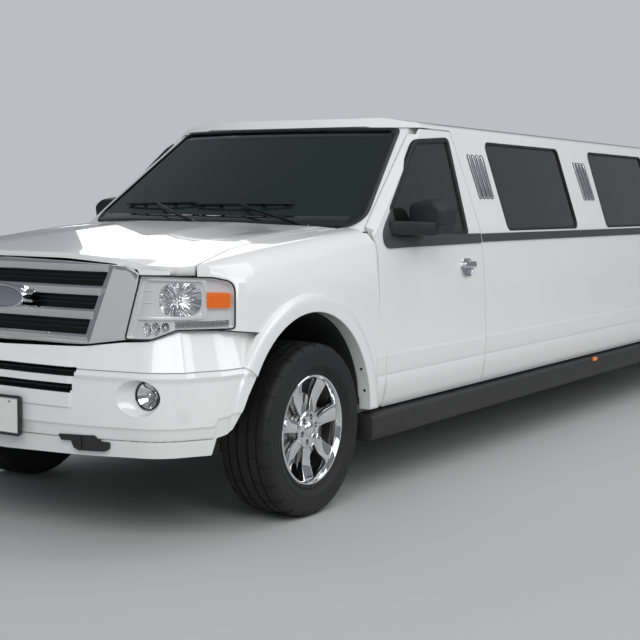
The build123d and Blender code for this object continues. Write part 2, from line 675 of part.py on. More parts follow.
def seats():
    """Front pair, the long side bench and the rear bench."""
    front = [seat(side * 400, station(1120), 540) for side in (1, -1)]
    long_bench = bench(-850, -330, station(2500), station(5150))
    rear_bench = side_prism(at_stations(((-130.0, 630.0, 0.0), (-140.0, 1000.0, 60.0), (380.0, 960.0, 30.0),
                                         (520.0, 1450.0, 60.0), (640.0, 1450.0, 60.0), (560.0, 900.0, 20.0),
                                         (540.0, 630.0, 0.0)), REAR_AXLE_Y), -560, 560)
    return front + [long_bench, rear_bench]


def wheel_rim(x, y, side):
    """Rim with seven flat spokes that widen outwards, round a hub bored for its spindle."""
    z = AXLE_Z
    barrel = rod((x - side * RIM_HALF_WIDTH, y, z), (x + side * RIM_HALF_WIDTH, y, z), BEAD_RADIUS - SEAT_GAP)
    barrel -= rod((x - side * 130, y, z), (x + side * 130, y, z), BEAD_RADIUS - RIM_THICK)
    lip = rod((x + side * 104, y, z), (x + side * RIM_HALF_WIDTH, y, z), BEAD_RADIUS - SEAT_GAP)
    lip -= rod((x, y, z), (x + side * 130, y, z), BEAD_RADIUS - 20)
    hub = rod((x + side * HUB_INNER, y, z), (x + side * HUB_OUTER, y, z), HUB_RADIUS)
    face = hub + barrel + lip
    for number in range(SPOKES):
        spoke = block((x + side * 62, x + side * 94) if side > 0 else (x - 94, x - 62), (y - 400, y + 400), (0, 800))
        arm = ((-24.0, 40.0, 0.0), (24.0, 40.0, 0.0), (46.0, BEAD_RADIUS - 6, 0.0), (-46.0, BEAD_RADIUS - 6, 0.0))
        turned = Pos(0, y, z) * Rot(360 * number / SPOKES, 0, 0) * side_prism(arm, -WIDE, WIDE)
        face += spoke & turned
    cap = rod((x + side * (HUB_OUTER - 1), y, z), (x + side * (HUB_OUTER + 14), y, z), 38)
    bore = rod((x, y, z), (x + side * (HUB_OUTER - 10), y, z), SPINDLE_RADIUS + SPINDLE_FIT)
    return (face - bore) + cap


def tyre(x, y):
    """Tyre with a flat tread and rounded shoulders."""
    half = TYRE_WIDTH / 2
    rows = (
        (-RIM_HALF_WIDTH + 2, BEAD_RADIUS, 0.0), (-half, BEAD_RADIUS + 65, 45.0), (-half + 4, TYRE_RADIUS - 40, 30.0),
        (-half + 26, TYRE_RADIUS, 22.0), (half - 26, TYRE_RADIUS, 22.0), (half - 4, TYRE_RADIUS - 40, 30.0),
        (half, BEAD_RADIUS + 65, 45.0), (RIM_HALF_WIDTH - 2, BEAD_RADIUS, 0.0),
    )
    face = outline_face(rows, lambda p: Vector(x + p.X, y, AXLE_Z + p.Y))
    return Solid.revolve(face, 360, Axis((x, y, AXLE_Z), (1, 0, 0)))


KNUCKLE_HALF = 34.0
ARM_LOW_Z = 290.0
ARM_HIGH_Z = 560.0


def knuckle():
    """Left-hand knuckle: upright on the steering axis, its spindle and its steering arm."""
    x = TRACK_FRONT / 2
    y = FRONT_AXLE_Y
    upright = block((x - KNUCKLE_HALF, x + KNUCKLE_HALF), (y - 34, y + 34), (ARM_LOW_Z + 14, ARM_HIGH_Z - 14))
    spindle = rod((x, y, AXLE_Z), (x + HUB_OUTER - 12, y, AXLE_Z), SPINDLE_RADIUS)
    arm = block((x - 90, x - 20), (y + 20, y + 120), (330, 352))
    return upright + spindle + arm


def front_suspension():
    """Upper and lower arms with their ball seats, springs and the steering rack."""
    parts = []
    for side in (1, -1):
        x = side * TRACK_FRONT / 2
        y = FRONT_AXLE_Y
        for z, gap in ((ARM_LOW_Z, 1), (ARM_HIGH_Z, -1)):
            seat_z = z + gap * (14 - SEAT_GAP)
            ball = rod((x, y, z - gap * 14), (x, y, seat_z), 30)
            inner = side * RAIL_OUTER_X
            arm = rod((inner, y, z), (x, y, z), 12)
            parts.append(ball + arm)
    return parts


def chassis():
    """Ladder frame: two rails, cross members, front subframe and the hitch receiver."""
    front = station(-RAIL_WALL_END_S)
    back = rear_station(1060)
    frame = None
    for side in (1, -1):
        rail = block(sorted((side * RAIL_INNER_X, side * RAIL_OUTER_X)), (front, back), (RAIL_LOW_Z, RAIL_HIGH_Z))
        drop = block(sorted((side * RAIL_INNER_X, side * RAIL_OUTER_X)), (station(-90), station(90)),
                     (ARM_LOW_Z - 30, RAIL_LOW_Z + 1))
        frame = rail if frame is None else frame + rail
        frame += drop
    for y in (station(950), station(2150), station(3350), station(4550), rear_station(-750), rear_station(640)):
        frame += block((-RAIL_INNER_X - 1, RAIL_INNER_X + 1), (y - 40, y + 40), (RAIL_LOW_Z + 10, RAIL_HIGH_Z - 20))
    frame += block((-RAIL_OUTER_X, RAIL_OUTER_X), (station(-90), station(90)), (ARM_LOW_Z - 30, ARM_LOW_Z + 40))
    frame += block((-RAIL_OUTER_X, RAIL_OUTER_X), (back - 80, back), (RAIL_LOW_Z, RAIL_HIGH_Z))
    inner = plan_prism(closed_plan(BUMPER_PLAN, station(0), BUMPER_WALL), 200, 1100)
    frame += block((-640, 640), (station(-1000), front + 1), (RAIL_LOW_Z + 10, RAIL_HIGH_Z - 10)) & inner
    receiver_back = rear_station(REAR_OVERHANG - 12)
    half = RECEIVER_OUTER / 2
    bore = RECEIVER_BORE / 2
    receiver_z = RECEIVER_Z
    receiver = block((-half, half), (back - 200, receiver_back), (receiver_z - half, receiver_z + half))
    receiver -= block((-bore, bore), (back - 150, receiver_back + 1), (receiver_z - bore, receiver_z + bore))
    pin_y = receiver_back - RECEIVER_PIN_INSET
    receiver -= rod((-WIDE, pin_y, receiver_z), (WIDE, pin_y, receiver_z), RECEIVER_PIN_RADIUS)
    hanger = block((-half, half), (back - 200, back), (receiver_z + half - 1, RAIL_LOW_Z + 5))
    return frame + receiver + hanger


def rear_axle():
    """Live axle with its differential housing, spindles and links up to the frame."""
    y = REAR_AXLE_Y
    half = TRACK_REAR / 2
    axle = rod((-half - 35, y, AXLE_Z), (half + 35, y, AXLE_Z), 40)
    axle += rod((-half - HUB_OUTER + 12, y, AXLE_Z), (half + HUB_OUTER - 12, y, AXLE_Z), SPINDLE_RADIUS)
    axle += rod((0, y - 115, AXLE_Z), (0, y + 115, AXLE_Z), 125) + rod((0, y - 150, AXLE_Z), (0, y, AXLE_Z), 60)
    for side in (1, -1):
        x = side * (RAIL_INNER_X + RAIL_OUTER_X) / 2
        axle += block((x - 20, x + 20), (y - 45, y + 45), (AXLE_Z - 30, RAIL_LOW_Z))
        axle += rod((x, y, AXLE_Z), (x, y - 520, RAIL_LOW_Z - 60), 20)
        axle += block((x - 20, x + 20), (y - 550, y - 500), (RAIL_LOW_Z - 80, RAIL_LOW_Z))
    return axle


def floor_pan():
    """Flat floor between the body sides, with a housing over each rear wheel."""
    room = cabin(SIDE_WALL, ROOF_WALL, SIDE_WALL)
    floor = room & block((-WIDE, WIDE), (station(500), LENGTH), (RAIL_HIGH_Z, RAIL_HIGH_Z + FLOOR))
    for side in (1, -1):
        start = (side * 655, REAR_AXLE_Y, ARCH_Z)
        end = (side * WIDE, REAR_AXLE_Y, ARCH_Z)
        floor -= rod(start, end, ARCH_RADIUS - 12)
        house = rod((side * 640, REAR_AXLE_Y, ARCH_Z), end, ARCH_RADIUS) - rod(start, end, ARCH_RADIUS - 15)
        floor += house & room & block((-WIDE, WIDE), (-LENGTH, LENGTH), (RAIL_HIGH_Z, TALL))
    return floor


def cowl():
    """Firewall and the tray under the windshield, between the fenders."""
    wall_rows = ((COWL_HALF_WIDTH, RAIL_HIGH_Z, 0.0),) + COWL_TOP
    tray_rows = ((COWL_HALF_WIDTH, COWL_TRAY_Z, 0.0),) + COWL_TOP
    wall = front_prism(both_halves(wall_rows), station(FIREWALL_S[0]), station(FIREWALL_S[1]))
    return wall + front_prism(both_halves(tray_rows), station(TRAY_S[0]), station(TRAY_S[1]))


def running_board():
    """Left-hand running board along the sill, from the front arch to the rear one."""
    rows = ((SILL_X, 281.0, 0.0), (1008.0, 281.0, 14.0), (1020.0, 314.0, 8.0), (1016.0, 416.0, 10.0), (SILL_X, 412.0, 0.0))
    return front_prism(rows, station(470), rear_station(-560))


def dashboard():
    """Dashboard across the cab, standing off the firewall."""
    rows = at_stations(((498.0, 900.0, 0.0), (498.0, 1215.0, 0.0), (640.0, 1215.0, 0.0), (820.0, 1190.0, 60.0),
                        (840.0, 1020.0, 60.0), (720.0, 900.0, 40.0)), FRONT_AXLE_Y)
    socket = Cylinder(STEERING_SHAFT_RADIUS + SPINDLE_FIT, STEERING_SHAFT)
    return side_prism(rows, -800, 800) - steering_frame() * Pos(0, 0, -STEERING_SHAFT / 2 - RUNNING_GAP) * socket


STEERING_TILT = 28.0
STEERING_CENTRE = (400.0, 940.0, 1130.0)
STEERING_RADIUS = 190.0
STEERING_SHAFT = 240.0
STEERING_SHAFT_RADIUS = 18.0


def steering_frame():
    """Plane of the steering wheel, its normal pointing at the driver."""
    x, distance, z = STEERING_CENTRE
    tilt = radians(STEERING_TILT)
    return Plane(origin=(x, station(distance), z), x_dir=(1, 0, 0), z_dir=(0, cos(tilt), sin(tilt)))


def steering_wheel():
    """Ring, hub and three spokes."""
    frame = steering_frame()
    ring = frame * Torus(STEERING_RADIUS, 15)
    shaft = frame * Pos(0, 0, -STEERING_SHAFT / 2) * Cylinder(STEERING_SHAFT_RADIUS, STEERING_SHAFT)
    wheel = ring + frame * Cylinder(62, 40) + shaft
    for angle in (0, 180, 270):
        wheel += frame * Rot(0, 0, angle) * Pos(STEERING_RADIUS / 2, 0, 0) * Box(STEERING_RADIUS, 30, 14)
    return wheel


def rear_bumper():
    """Rear bumper wrapped round the corners, with a step on top."""
    back = rear_station(REAR_OVERHANG)
    start = rear_station(BUMPER_REAR_START)
    outline = both_halves(((996.0, start, 0.0), (996.0, back - 230, 200.0), (880.0, back - 50, 160.0), (500.0, back, 1500.0)))
    inner = [(x, start - 50 if y < start + BUMPER_WALL + 1 else y, radius)
             for x, y, radius in offset_rows(outline, -BUMPER_WALL)]
    shell = plan_prism(outline, BUMPER_REAR_LOW_Z, BUMPER_TOP_Z) - plan_prism(inner, 0, BUMPER_TOP_Z - BUMPER_STEP)
    ahead = plan_prism(inner, BUMPER_TOP_Z - BUMPER_STEP - 1, TALL)
    return shell - (ahead & block((-WIDE, WIDE), (0, rear_station(GATE_S) + SEAT_GAP), (0, TALL)))


def tail_lamp():
    """Left-hand tall lamp in the rear corner."""
    corner = cabin(-6, 0, -6) - cabin(30, 0, 30)
    outline = ((830.0, 800.0, 0.0), (833.0, 1240.0, 0.0), (815.0, 1330.0, 0.0), (WIDE, 1330.0, 0.0), (WIDE, 800.0, 0.0))
    region = front_prism(outline, rear_station(GATE_S - 190), LENGTH)
    return corner & region


def liftgate():
    """Liftgate: a skin that laps the rear opening, a box behind it, the window cut through."""
    outline = gate_outline()
    zone = (rear_station(600), LENGTH)
    shell = cabin(0, 0, 0)
    skin = (shell & front_prism(outline, *zone)) - cabin(SKIN, 0, SKIN)
    box = (shell & front_prism(offset_rows(outline, -DOOR_BOX_INSET), *zone)) - cabin(DOOR_WALL, 0, DOOR_WALL)
    gate = skin + (box & cabin(SKIN - 2, 0, SKIN - 2))
    return gate - front_prism(gate_window(), *zone)


def liftgate_glass():
    """Pane of the liftgate."""
    pane = cabin(0, 0, GLASS_RECESS) - cabin(0, 0, GLASS_RECESS + GLASS)
    return pane & front_prism(gate_window(), rear_station(600), LENGTH)


COWL_HALF_WIDTH = 840.0
COWL_TRAY_Z = 1215.0
COWL_TOP_Z = 1290.0
COWL_TOP = ((COWL_HALF_WIDTH, 1240.0, 0.0), (712.0, 1285.0, 0.0), (690.0, COWL_TOP_Z, 0.0))
FIREWALL_S = (440.0, 498.0)
TRAY_S = (245.0, 620.0)
WIPER_PIVOTS = (640.0, 70.0)
WIPER_ARM = 440.0
WIPER_BLADE = 560.0
WIPER_LOW_Z = 1372.0
WIPER_HIGH_Z = 1441.0
WIPER_LIFT = 8.0
WIPER_THICK = 10.0
WIPER_WIDE = 14.0

MIRROR_S = 925.0
MIRROR_LOW_Z = 1287.0
MIRROR_HIGH_Z = 1467.0
MIRROR_OUTER_X = 1168.0
MIRROR_INNER_X = 985.0
MIRROR_DEPTH = 150.0


def mirror():
    """Left-hand door mirror: rounded housing, arm and the foot on the door's front corner."""
    y = station(MIRROR_S)
    rows = ((MIRROR_INNER_X, MIRROR_LOW_Z, 25.0), (MIRROR_OUTER_X - 20, MIRROR_LOW_Z, 40.0),
            (MIRROR_OUTER_X, MIRROR_HIGH_Z - 30, 40.0), (MIRROR_OUTER_X - 60, MIRROR_HIGH_Z, 40.0),
            (MIRROR_INNER_X, MIRROR_HIGH_Z, 35.0))
    housing = front_prism(rows, y, y + MIRROR_DEPTH)
    taper = plan_prism(((MIRROR_INNER_X, y + 45, 40.0), (MIRROR_INNER_X + 50, y, 60.0), (MIRROR_OUTER_X, y + 30, 60.0),
                        (MIRROR_OUTER_X, y + MIRROR_DEPTH, 10.0), (MIRROR_INNER_X, y + MIRROR_DEPTH, 10.0)), 1000, 2000)
    housing &= taper
    arm = plan_prism(((900.0, station(SAIL_S - 75), 0.0), (900.0, station(SAIL_S - 5), 0.0), (985.0, station(SAIL_S + 30), 0.0),
                      (1040.0, y + 120, 0.0), (1040.0, y + 40, 0.0), (985.0, station(SAIL_S - 40), 0.0)),
                     MIRROR_LOW_Z + 22, MIRROR_LOW_Z + 84)
    return (housing + arm) - cabin(0, 0, 0)


def radiator():
    """Radiator block on the rails, behind the grille, with the two posts that the closed hood rests on."""
    core = block((-450, 450), (station(-860), station(-800)), (RAIL_HIGH_Z, 1090))
    for side in (1, -1):
        foot = (side * 380, station(-830), 1089)
        core += clear_of_hood(rod(foot, (foot[0], foot[1], TALL), 18) & block((-WIDE, WIDE), (-LENGTH, 0), (0, 1300)), SEAT_GAP)
    return core


def engine_block():
    """Plain block where the engine lies."""
    return block((-300, 300), (station(-420), station(330)), (500, 1120))


def driveline():
    """Gearbox, long propeller shaft and its flange at the rear axle."""
    y_box = station(330)
    box = block((-190, 190), (y_box, y_box + 560), (RAIL_LOW_Z - 60, RAIL_HIGH_Z - 10))
    shaft = rod((0, y_box + 559, AXLE_Z + 15), (0, REAR_AXLE_Y - 150, AXLE_Z + 15), 42)
    return box + shaft


def exhaust():
    """Long pipe with a silencer, ending behind the right-hand rear wheel."""
    x = -300
    z = RAIL_LOW_Z - 60
    pipe = rod((x, station(450), z), (x, rear_station(-420), z), 32)
    silencer = block((x - 90, x + 90), (rear_station(-1500), rear_station(-850)), (z - 75, z + 60))
    hangers = block((x - 8, x + 8), (rear_station(-1300), rear_station(-1260)), (z, RAIL_HIGH_Z))
    return pipe + silencer + hangers


def fuel_tank():
    """Tank between the left-hand rail and the sill, ahead of the rear axle."""
    return block((RAIL_OUTER_X, 850), (rear_station(-1900), rear_station(-760)), (330, RAIL_HIGH_Z))


def partition():
    """Wall between the cab and the saloon, with its window opening."""
    y = station(2080)
    room = cabin(SIDE_WALL, ROOF_WALL, SIDE_WALL)
    wall = room & block((-WIDE, WIDE), (y, y + 40), (RAIL_HIGH_Z + FLOOR, TALL))
    return wall - block((-380, 380), (y - 10, y + 50), (1350, 1700))


def wipers():
    """Two parked wipers that follow the windshield: a post on the cowl, a sloping arm and a blade across its tip."""
    sheet = behind_screen(-WIPER_LIFT - WIPER_THICK) - behind_screen(-WIPER_LIFT)
    half = WIPER_WIDE / 2
    slope = (WIPER_HIGH_Z - WIPER_LOW_Z) / WIPER_ARM
    low, high = WIPER_HIGH_Z - half, WIPER_HIGH_Z + half
    above = (low - WIPER_LOW_Z - half) / slope
    below = (low - WIPER_LOW_Z + half) / slope
    sets = []
    for x in WIPER_PIVOTS:
        near, far = x - WIPER_ARM + WIPER_BLADE / 2, x - WIPER_ARM - WIPER_BLADE / 2
        rows = ((x + half, COWL_TOP_Z), (x + half, WIPER_LOW_Z + half), (x - above, low), (near, low), (near, high),
                (far, high), (far, low), (x - below, low), (x - half, WIPER_LOW_Z - half), (x - half, COWL_TOP_Z))
        sets.append(sheet & front_prism([row + (0.0,) for row in rows], station(0), station(1200)))
    return sets


def front_plate():
    """Blank plate in its dark holder, on the front bumper."""
    face = station(-FRONT_OVERHANG)
    rows = both_halves(((152.0, 440.0, 8.0), (152.0, 615.0, 8.0)))
    return front_prism(rows, face, station(BUMPER_PLAN[0][1]))


def write(name, *shapes):
    """Write one node's solids to its own file."""
    solids = [solid for shape in shapes for solid in shape.solids()]
    export_step(solids[0] if len(solids) == 1 else Compound(children=solids), f"parts/{name}.step")


def main():
    os.makedirs("parts", exist_ok=True)
    lamp_left = tail_lamp()
    fender = front_fender()
    side_left = body_side() - lamp_left - fender
    write("body_side_left", side_left)
    write("body_side_right", mirrored(side_left))
    write("tail_lamps", lamp_left, mirrored(lamp_left))
    roof = roof_panel()
    write("roof", roof)
    write("windshield", windshield())
    for name, outline, window in (("front", DOOR_FRONT_OUTLINE, WINDOW_FRONT_OUTLINE),
                                  ("rear", DOOR_REAR_OUTLINE, WINDOW_REAR_OUTLINE)):
        opening = at_stations(window, FRONT_AXLE_Y)
        door = door_parts(at_stations(outline, FRONT_AXLE_Y), opening)
        pane = side_glass(opening)
        write(f"door_{name}_left", door)
        write(f"door_{name}_right", mirrored(door))
        write(f"glass_{name}_left", pane)
        write(f"glass_{name}_right", mirrored(pane))
    panes = [side_glass(window) for window in stretch_windows()]
    write("side_glass", *panes, *[mirrored(pane) for pane in panes])
    write("front_fenders", fender, mirrored(fender))
    write("hood", hood_panel())
    lamp = headlamp()
    write("headlamps", lamp, mirrored(lamp))
    write("bumper_front", front_bumper())
    fog = fog_lamp()
    write("fog_lamps", fog, mirrored(fog))
    write("grille", clear_of_hood(grille(), RUNNING_GAP))
    write("seats", *seats())
    for end, y, track in (("front", FRONT_AXLE_Y, TRACK_FRONT), ("rear", REAR_AXLE_Y, TRACK_REAR)):
        rim = wheel_rim(track / 2, y, 1)
        write(f"rim_{end}_left", rim)
        write(f"rim_{end}_right", mirrored(rim))
        write(f"tyre_{end}_left", tyre(track / 2, y))
        write(f"tyre_{end}_right", tyre(-track / 2, y))
    write("knuckle_front_left", knuckle())
    write("knuckle_front_right", mirrored(knuckle()))
    write("front_suspension", *front_suspension())
    write("chassis_frame", chassis())
    write("rear_axle", rear_axle())
    write("floor_pan", floor_pan())
    write("cowl", cowl())
    board = running_board()
    write("running_boards", board, mirrored(board))
    write("dashboard", dashboard())
    write("steering_wheel", steering_wheel())
    write("bumper_rear", rear_bumper())
    write("liftgate", liftgate())
    write("liftgate_glass", liftgate_glass())
    write("mirror_left", mirror())
    write("mirror_right", mirrored(mirror()))
    write("radiator", radiator())
    write("engine_block", engine_block())
    write("driveline", driveline())
    write("exhaust", exhaust())
    write("fuel_tank", fuel_tank())
    write("partition", partition())
    write("wipers", *wipers())
    write("front_plate", front_plate())


main()
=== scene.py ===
"""Dresses the stretch limousine's frame: paint, glass, brightwork, lamps, wheels, trim and cabin."""

import bmesh
import bpy
import json
import logging
from contextlib import contextmanager
from dataclasses import dataclass
from enum import Enum
from math import acos, atan2, cos, pi, radians, sin, sqrt, tan
from typing import Callable, Iterable, Iterator, Sequence
from mathutils import Matrix, Vector


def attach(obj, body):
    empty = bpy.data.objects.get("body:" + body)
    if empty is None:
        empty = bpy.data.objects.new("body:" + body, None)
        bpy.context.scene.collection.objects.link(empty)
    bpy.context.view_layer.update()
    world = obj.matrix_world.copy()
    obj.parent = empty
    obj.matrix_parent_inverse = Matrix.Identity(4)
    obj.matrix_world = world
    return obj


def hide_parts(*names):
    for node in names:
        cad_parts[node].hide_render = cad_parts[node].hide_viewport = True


LOG = logging.getLogger("limousine")
Piece = bpy.types.Object
Pair = tuple[float, float]
Point = tuple[float, float, float]
Corner = tuple[float, float, float]  # (u, v, radius) of an outline drawn flat
Place = Callable[[Vector], Vector]  # gives the place on the car of a flat-made point (u, v, w)

# Lengths in metres; a "station" is a distance behind the front axle
FRONT_AXLE_Y = -3.3505
REAR_AXLE_Y = 3.2285
WHEELBASE = REAR_AXLE_Y - FRONT_AXLE_Y
STRETCH = 3.556
FRONT_DOOR_END = 1.806
REAR_DOOR_START = FRONT_DOOR_END + STRETCH
AXLE_HEIGHT = 0.405
ARCH_RADIUS = 0.525
ARCH_HEIGHT = 0.432
FRONT_ARCH_SHIFT = -0.055  # station of the front wheel opening's centre
SCREEN_FOOT = (0.562, 1.479)  # the windshield's middle line as (station, height)
SCREEN_TOP = (1.163, 1.8935)
SCREEN_HALF = 0.860
SCREEN_BOW = 0.120
BODY_SECTION = ((0.43, 0.962), (0.556, 0.984), (0.70, 0.990), (1.00, 0.982), (1.287, 0.958), (1.885, 0.806))
NOSE_PLAN = ((0.45, -0.978, 1.5), (0.815, -0.925, 0.26), (0.985, -0.60, 0.42))
BUMPER_PLAN = ((0.45, -1.025, 1.5), (0.85, -0.95, 0.26), (1.001, -0.64, 0.30))


class Side(Enum):
    """The two sides of the car."""

    LEFT = 1
    RIGHT = -1

    @property
    def word(self) -> str:
        """The side's name in lower case."""
        return self.name.lower()


class Pattern(Enum):
    """Fine relief that a finish may carry."""

    SMOOTH = "smooth"
    ORANGE_PEEL = "orange_peel"
    PEBBLE = "pebble"
    BRUSHED = "brushed"
    FIBRE = "fibre"


class Slot(Enum):
    """Material slots of the record."""

    PAINT = "paint"
    BLACK_PLASTIC = "black_plastic"
    GREY_PLASTIC = "grey_plastic"
    CHROME = "chrome"
    STEEL = "steel"
    FRAME_STEEL = "frame_steel"
    CAST_IRON = "cast_iron"
    TYRE = "tyre"
    LEATHER = "leather"
    LAMP_GLASS = "lamp_glass"
    RED_GLASS = "red_glass"
    SCREEN_GLASS = "screen_glass"
    DARK_GLASS = "dark_glass"


def station(distance: float) -> float:
    """Y of a point this far behind the front axle."""
    return FRONT_AXLE_Y + distance


def body_half_width(z: float) -> float:
    """Distance of the body side's outer skin from the middle plane at a height."""
    return stepped(z, BODY_SECTION)


def corner_arc(before: Vector, here: Vector, after: Vector, radius: float, steps: int) -> list[Vector]:
    """Points of the arc that rounds one corner of a line.

    Args:
        before: The point before the corner.
        here: The corner.
        after: The point after the corner.
        radius: Radius of the arc.
        steps: Runs in the arc.

    Returns:
        The arc's points in order; only the corner where there is nothing to round.
    """
    back, ahead = (before - here).normalized(), (after - here).normalized()
    half = acos(max(-1.0, min(1.0, back.dot(ahead)))) / 2
    if radius <= 0 or half > pi / 2 - 1e-4:
        return [here]
    centre = here + (back + ahead).normalized() * (radius / sin(half))
    start = here + back * (radius / tan(half)) - centre
    end = here + ahead * (radius / tan(half)) - centre
    turn = start.angle_signed(end)
    return [centre + Matrix.Rotation(-turn * step / steps, 2) @ start for step in range(steps + 1)]


def rounded(rows: Sequence[Corner], steps: int = 6) -> list[Pair]:
    """Points of a closed outline whose corners are rounded by tangent arcs.

    Args:
        rows: Corners as (u, v, radius).
        steps: Runs in each arc.

    Returns:
        The outline's points in order.
    """
    spots = [Vector(row[:2]) for row in rows]
    points: list[Pair] = []
    for i, here in enumerate(spots):
        arc = corner_arc(spots[i - 1], here, spots[(i + 1) % len(spots)], rows[i][2], steps)
        points += [tuple(point) for point in arc]
    return points


def box(u_first: float, v_first: float, u_last: float, v_last: float, radius: float) -> list[Corner]:
    """Corners of a rectangle, from its first corner along v and round to the last."""
    return [(u_first, v_first, radius), (u_first, v_last, radius), (u_last, v_last, radius), (u_last, v_first, radius)]


def offset(rows: Sequence[Corner], amount: float) -> list[Corner]:
    """Move a closed outline of (u, v, radius) corners outwards, or inwards if the amount is negative.

    Args:
        rows: Corners as (u, v, radius).
        amount: Distance to move.

    Returns:
        The moved corners.
    """
    area = sum(rows[i - 1][0] * rows[i][1] - rows[i][0] * rows[i - 1][1] for i in range(len(rows)))
    turn = 1.0 if area > 0 else -1.0
    moved = []
    for i, (u, v, radius) in enumerate(rows):
        before = (Vector((u, v)) - Vector(rows[i - 1][:2])).normalized()
        after = (Vector(rows[(i + 1) % len(rows)][:2]) - Vector((u, v))).normalized()
        out_before = Vector((before.y, -before.x)) * turn
        out_after = Vector((after.y, -after.x)) * turn
        shift = (out_before + out_after) * (amount / (1 + out_before.dot(out_after)))
        bulges = (before.x * after.y - before.y * after.x) * turn > 0
        moved.append((u + shift.x, v + shift.y, max(radius + (amount if bulges else -amount), 0.002) if radius else 0.0))
    return moved


class PlanPath:
    """The nose's outline seen from above, followed from the middle towards either side.

    Args:
        rows: Corners as (x, distance behind the front axle, radius).
        rear: Distance behind the front axle where the line ends.
    """

    ARC_STEPS = 16

    def __init__(self, rows: Sequence[Corner], rear: float) -> None:
        """Work out the points of the rounded line and their distance along it."""
        spots = [Vector((0.0, rows[0][1])), *(Vector(row[:2]) for row in rows), Vector((rows[-1][0], rear))]
        line = [spots[0]]
        for (_, _, radius), before, here, after in zip(rows, spots, spots[1:], spots[2:]):
            line += corner_arc(before, here, after, radius, self.ARC_STEPS)
        line.append(spots[-1])
        self.points = line
        self.lengths = [0.0]
        for before, after in zip(line, line[1:]):
            self.lengths.append(self.lengths[-1] + (after - before).length)

    def at(self, along: float) -> tuple[Vector, Vector]:
        """Point and outward direction at a distance along the line.

        Args:
            along: Signed distance from the middle; positive is the left side.

        Returns:
            The point as (x, distance behind the axle), and the outward unit vector.
        """
        side = -1.0 if along < 0 else 1.0
        reach = abs(along)
        for i in range(len(self.lengths) - 1):
            if reach <= self.lengths[i + 1] or i == len(self.lengths) - 2:
                run = self.lengths[i + 1] - self.lengths[i]
                share = (reach - self.lengths[i]) / run if run else 0.0
                spot = self.points[i].lerp(self.points[i + 1], share)
                tangent = self.tangent(i).lerp(self.tangent(i + 1), min(max(share, 0.0), 1.0)).normalized()
                out = Vector((tangent.y, -tangent.x))
                return Vector((spot.x * side, spot.y)), Vector((out.x * side, out.y))
        raise ValueError("the line has no runs")

    def tangent(self, number: int) -> Vector:
        """Direction of the line at one of its points."""
        low = max(number - 1, 0)
        high = min(number + 1, len(self.points) - 1)
        return (self.points[high] - self.points[low]).normalized()

    def along_at_x(self, x: float) -> float:
        """Distance along the line where its half width is x."""
        for i, (before, after) in enumerate(zip(self.points, self.points[1:])):
            if before.x <= x <= after.x and after.x > before.x:
                return self.lengths[i] + (x - before.x) / (after.x - before.x) * (self.lengths[i + 1] - self.lengths[i])
        return self.lengths[-1]

    def along_at_s(self, distance: float) -> float:
        """Distance along the line where it lies this far behind the front axle."""
        for i, (before, after) in enumerate(zip(self.points, self.points[1:])):
            if before.y <= distance <= after.y and after.y > before.y:
                share = (distance - before.y) / (after.y - before.y)
                return self.lengths[i] + share * (self.lengths[i + 1] - self.lengths[i])
        return self.lengths[-1] + distance - self.points[-1].y


NOSE = PlanPath(NOSE_PLAN, -0.2)
BUMPER = PlanPath(BUMPER_PLAN, -0.2)


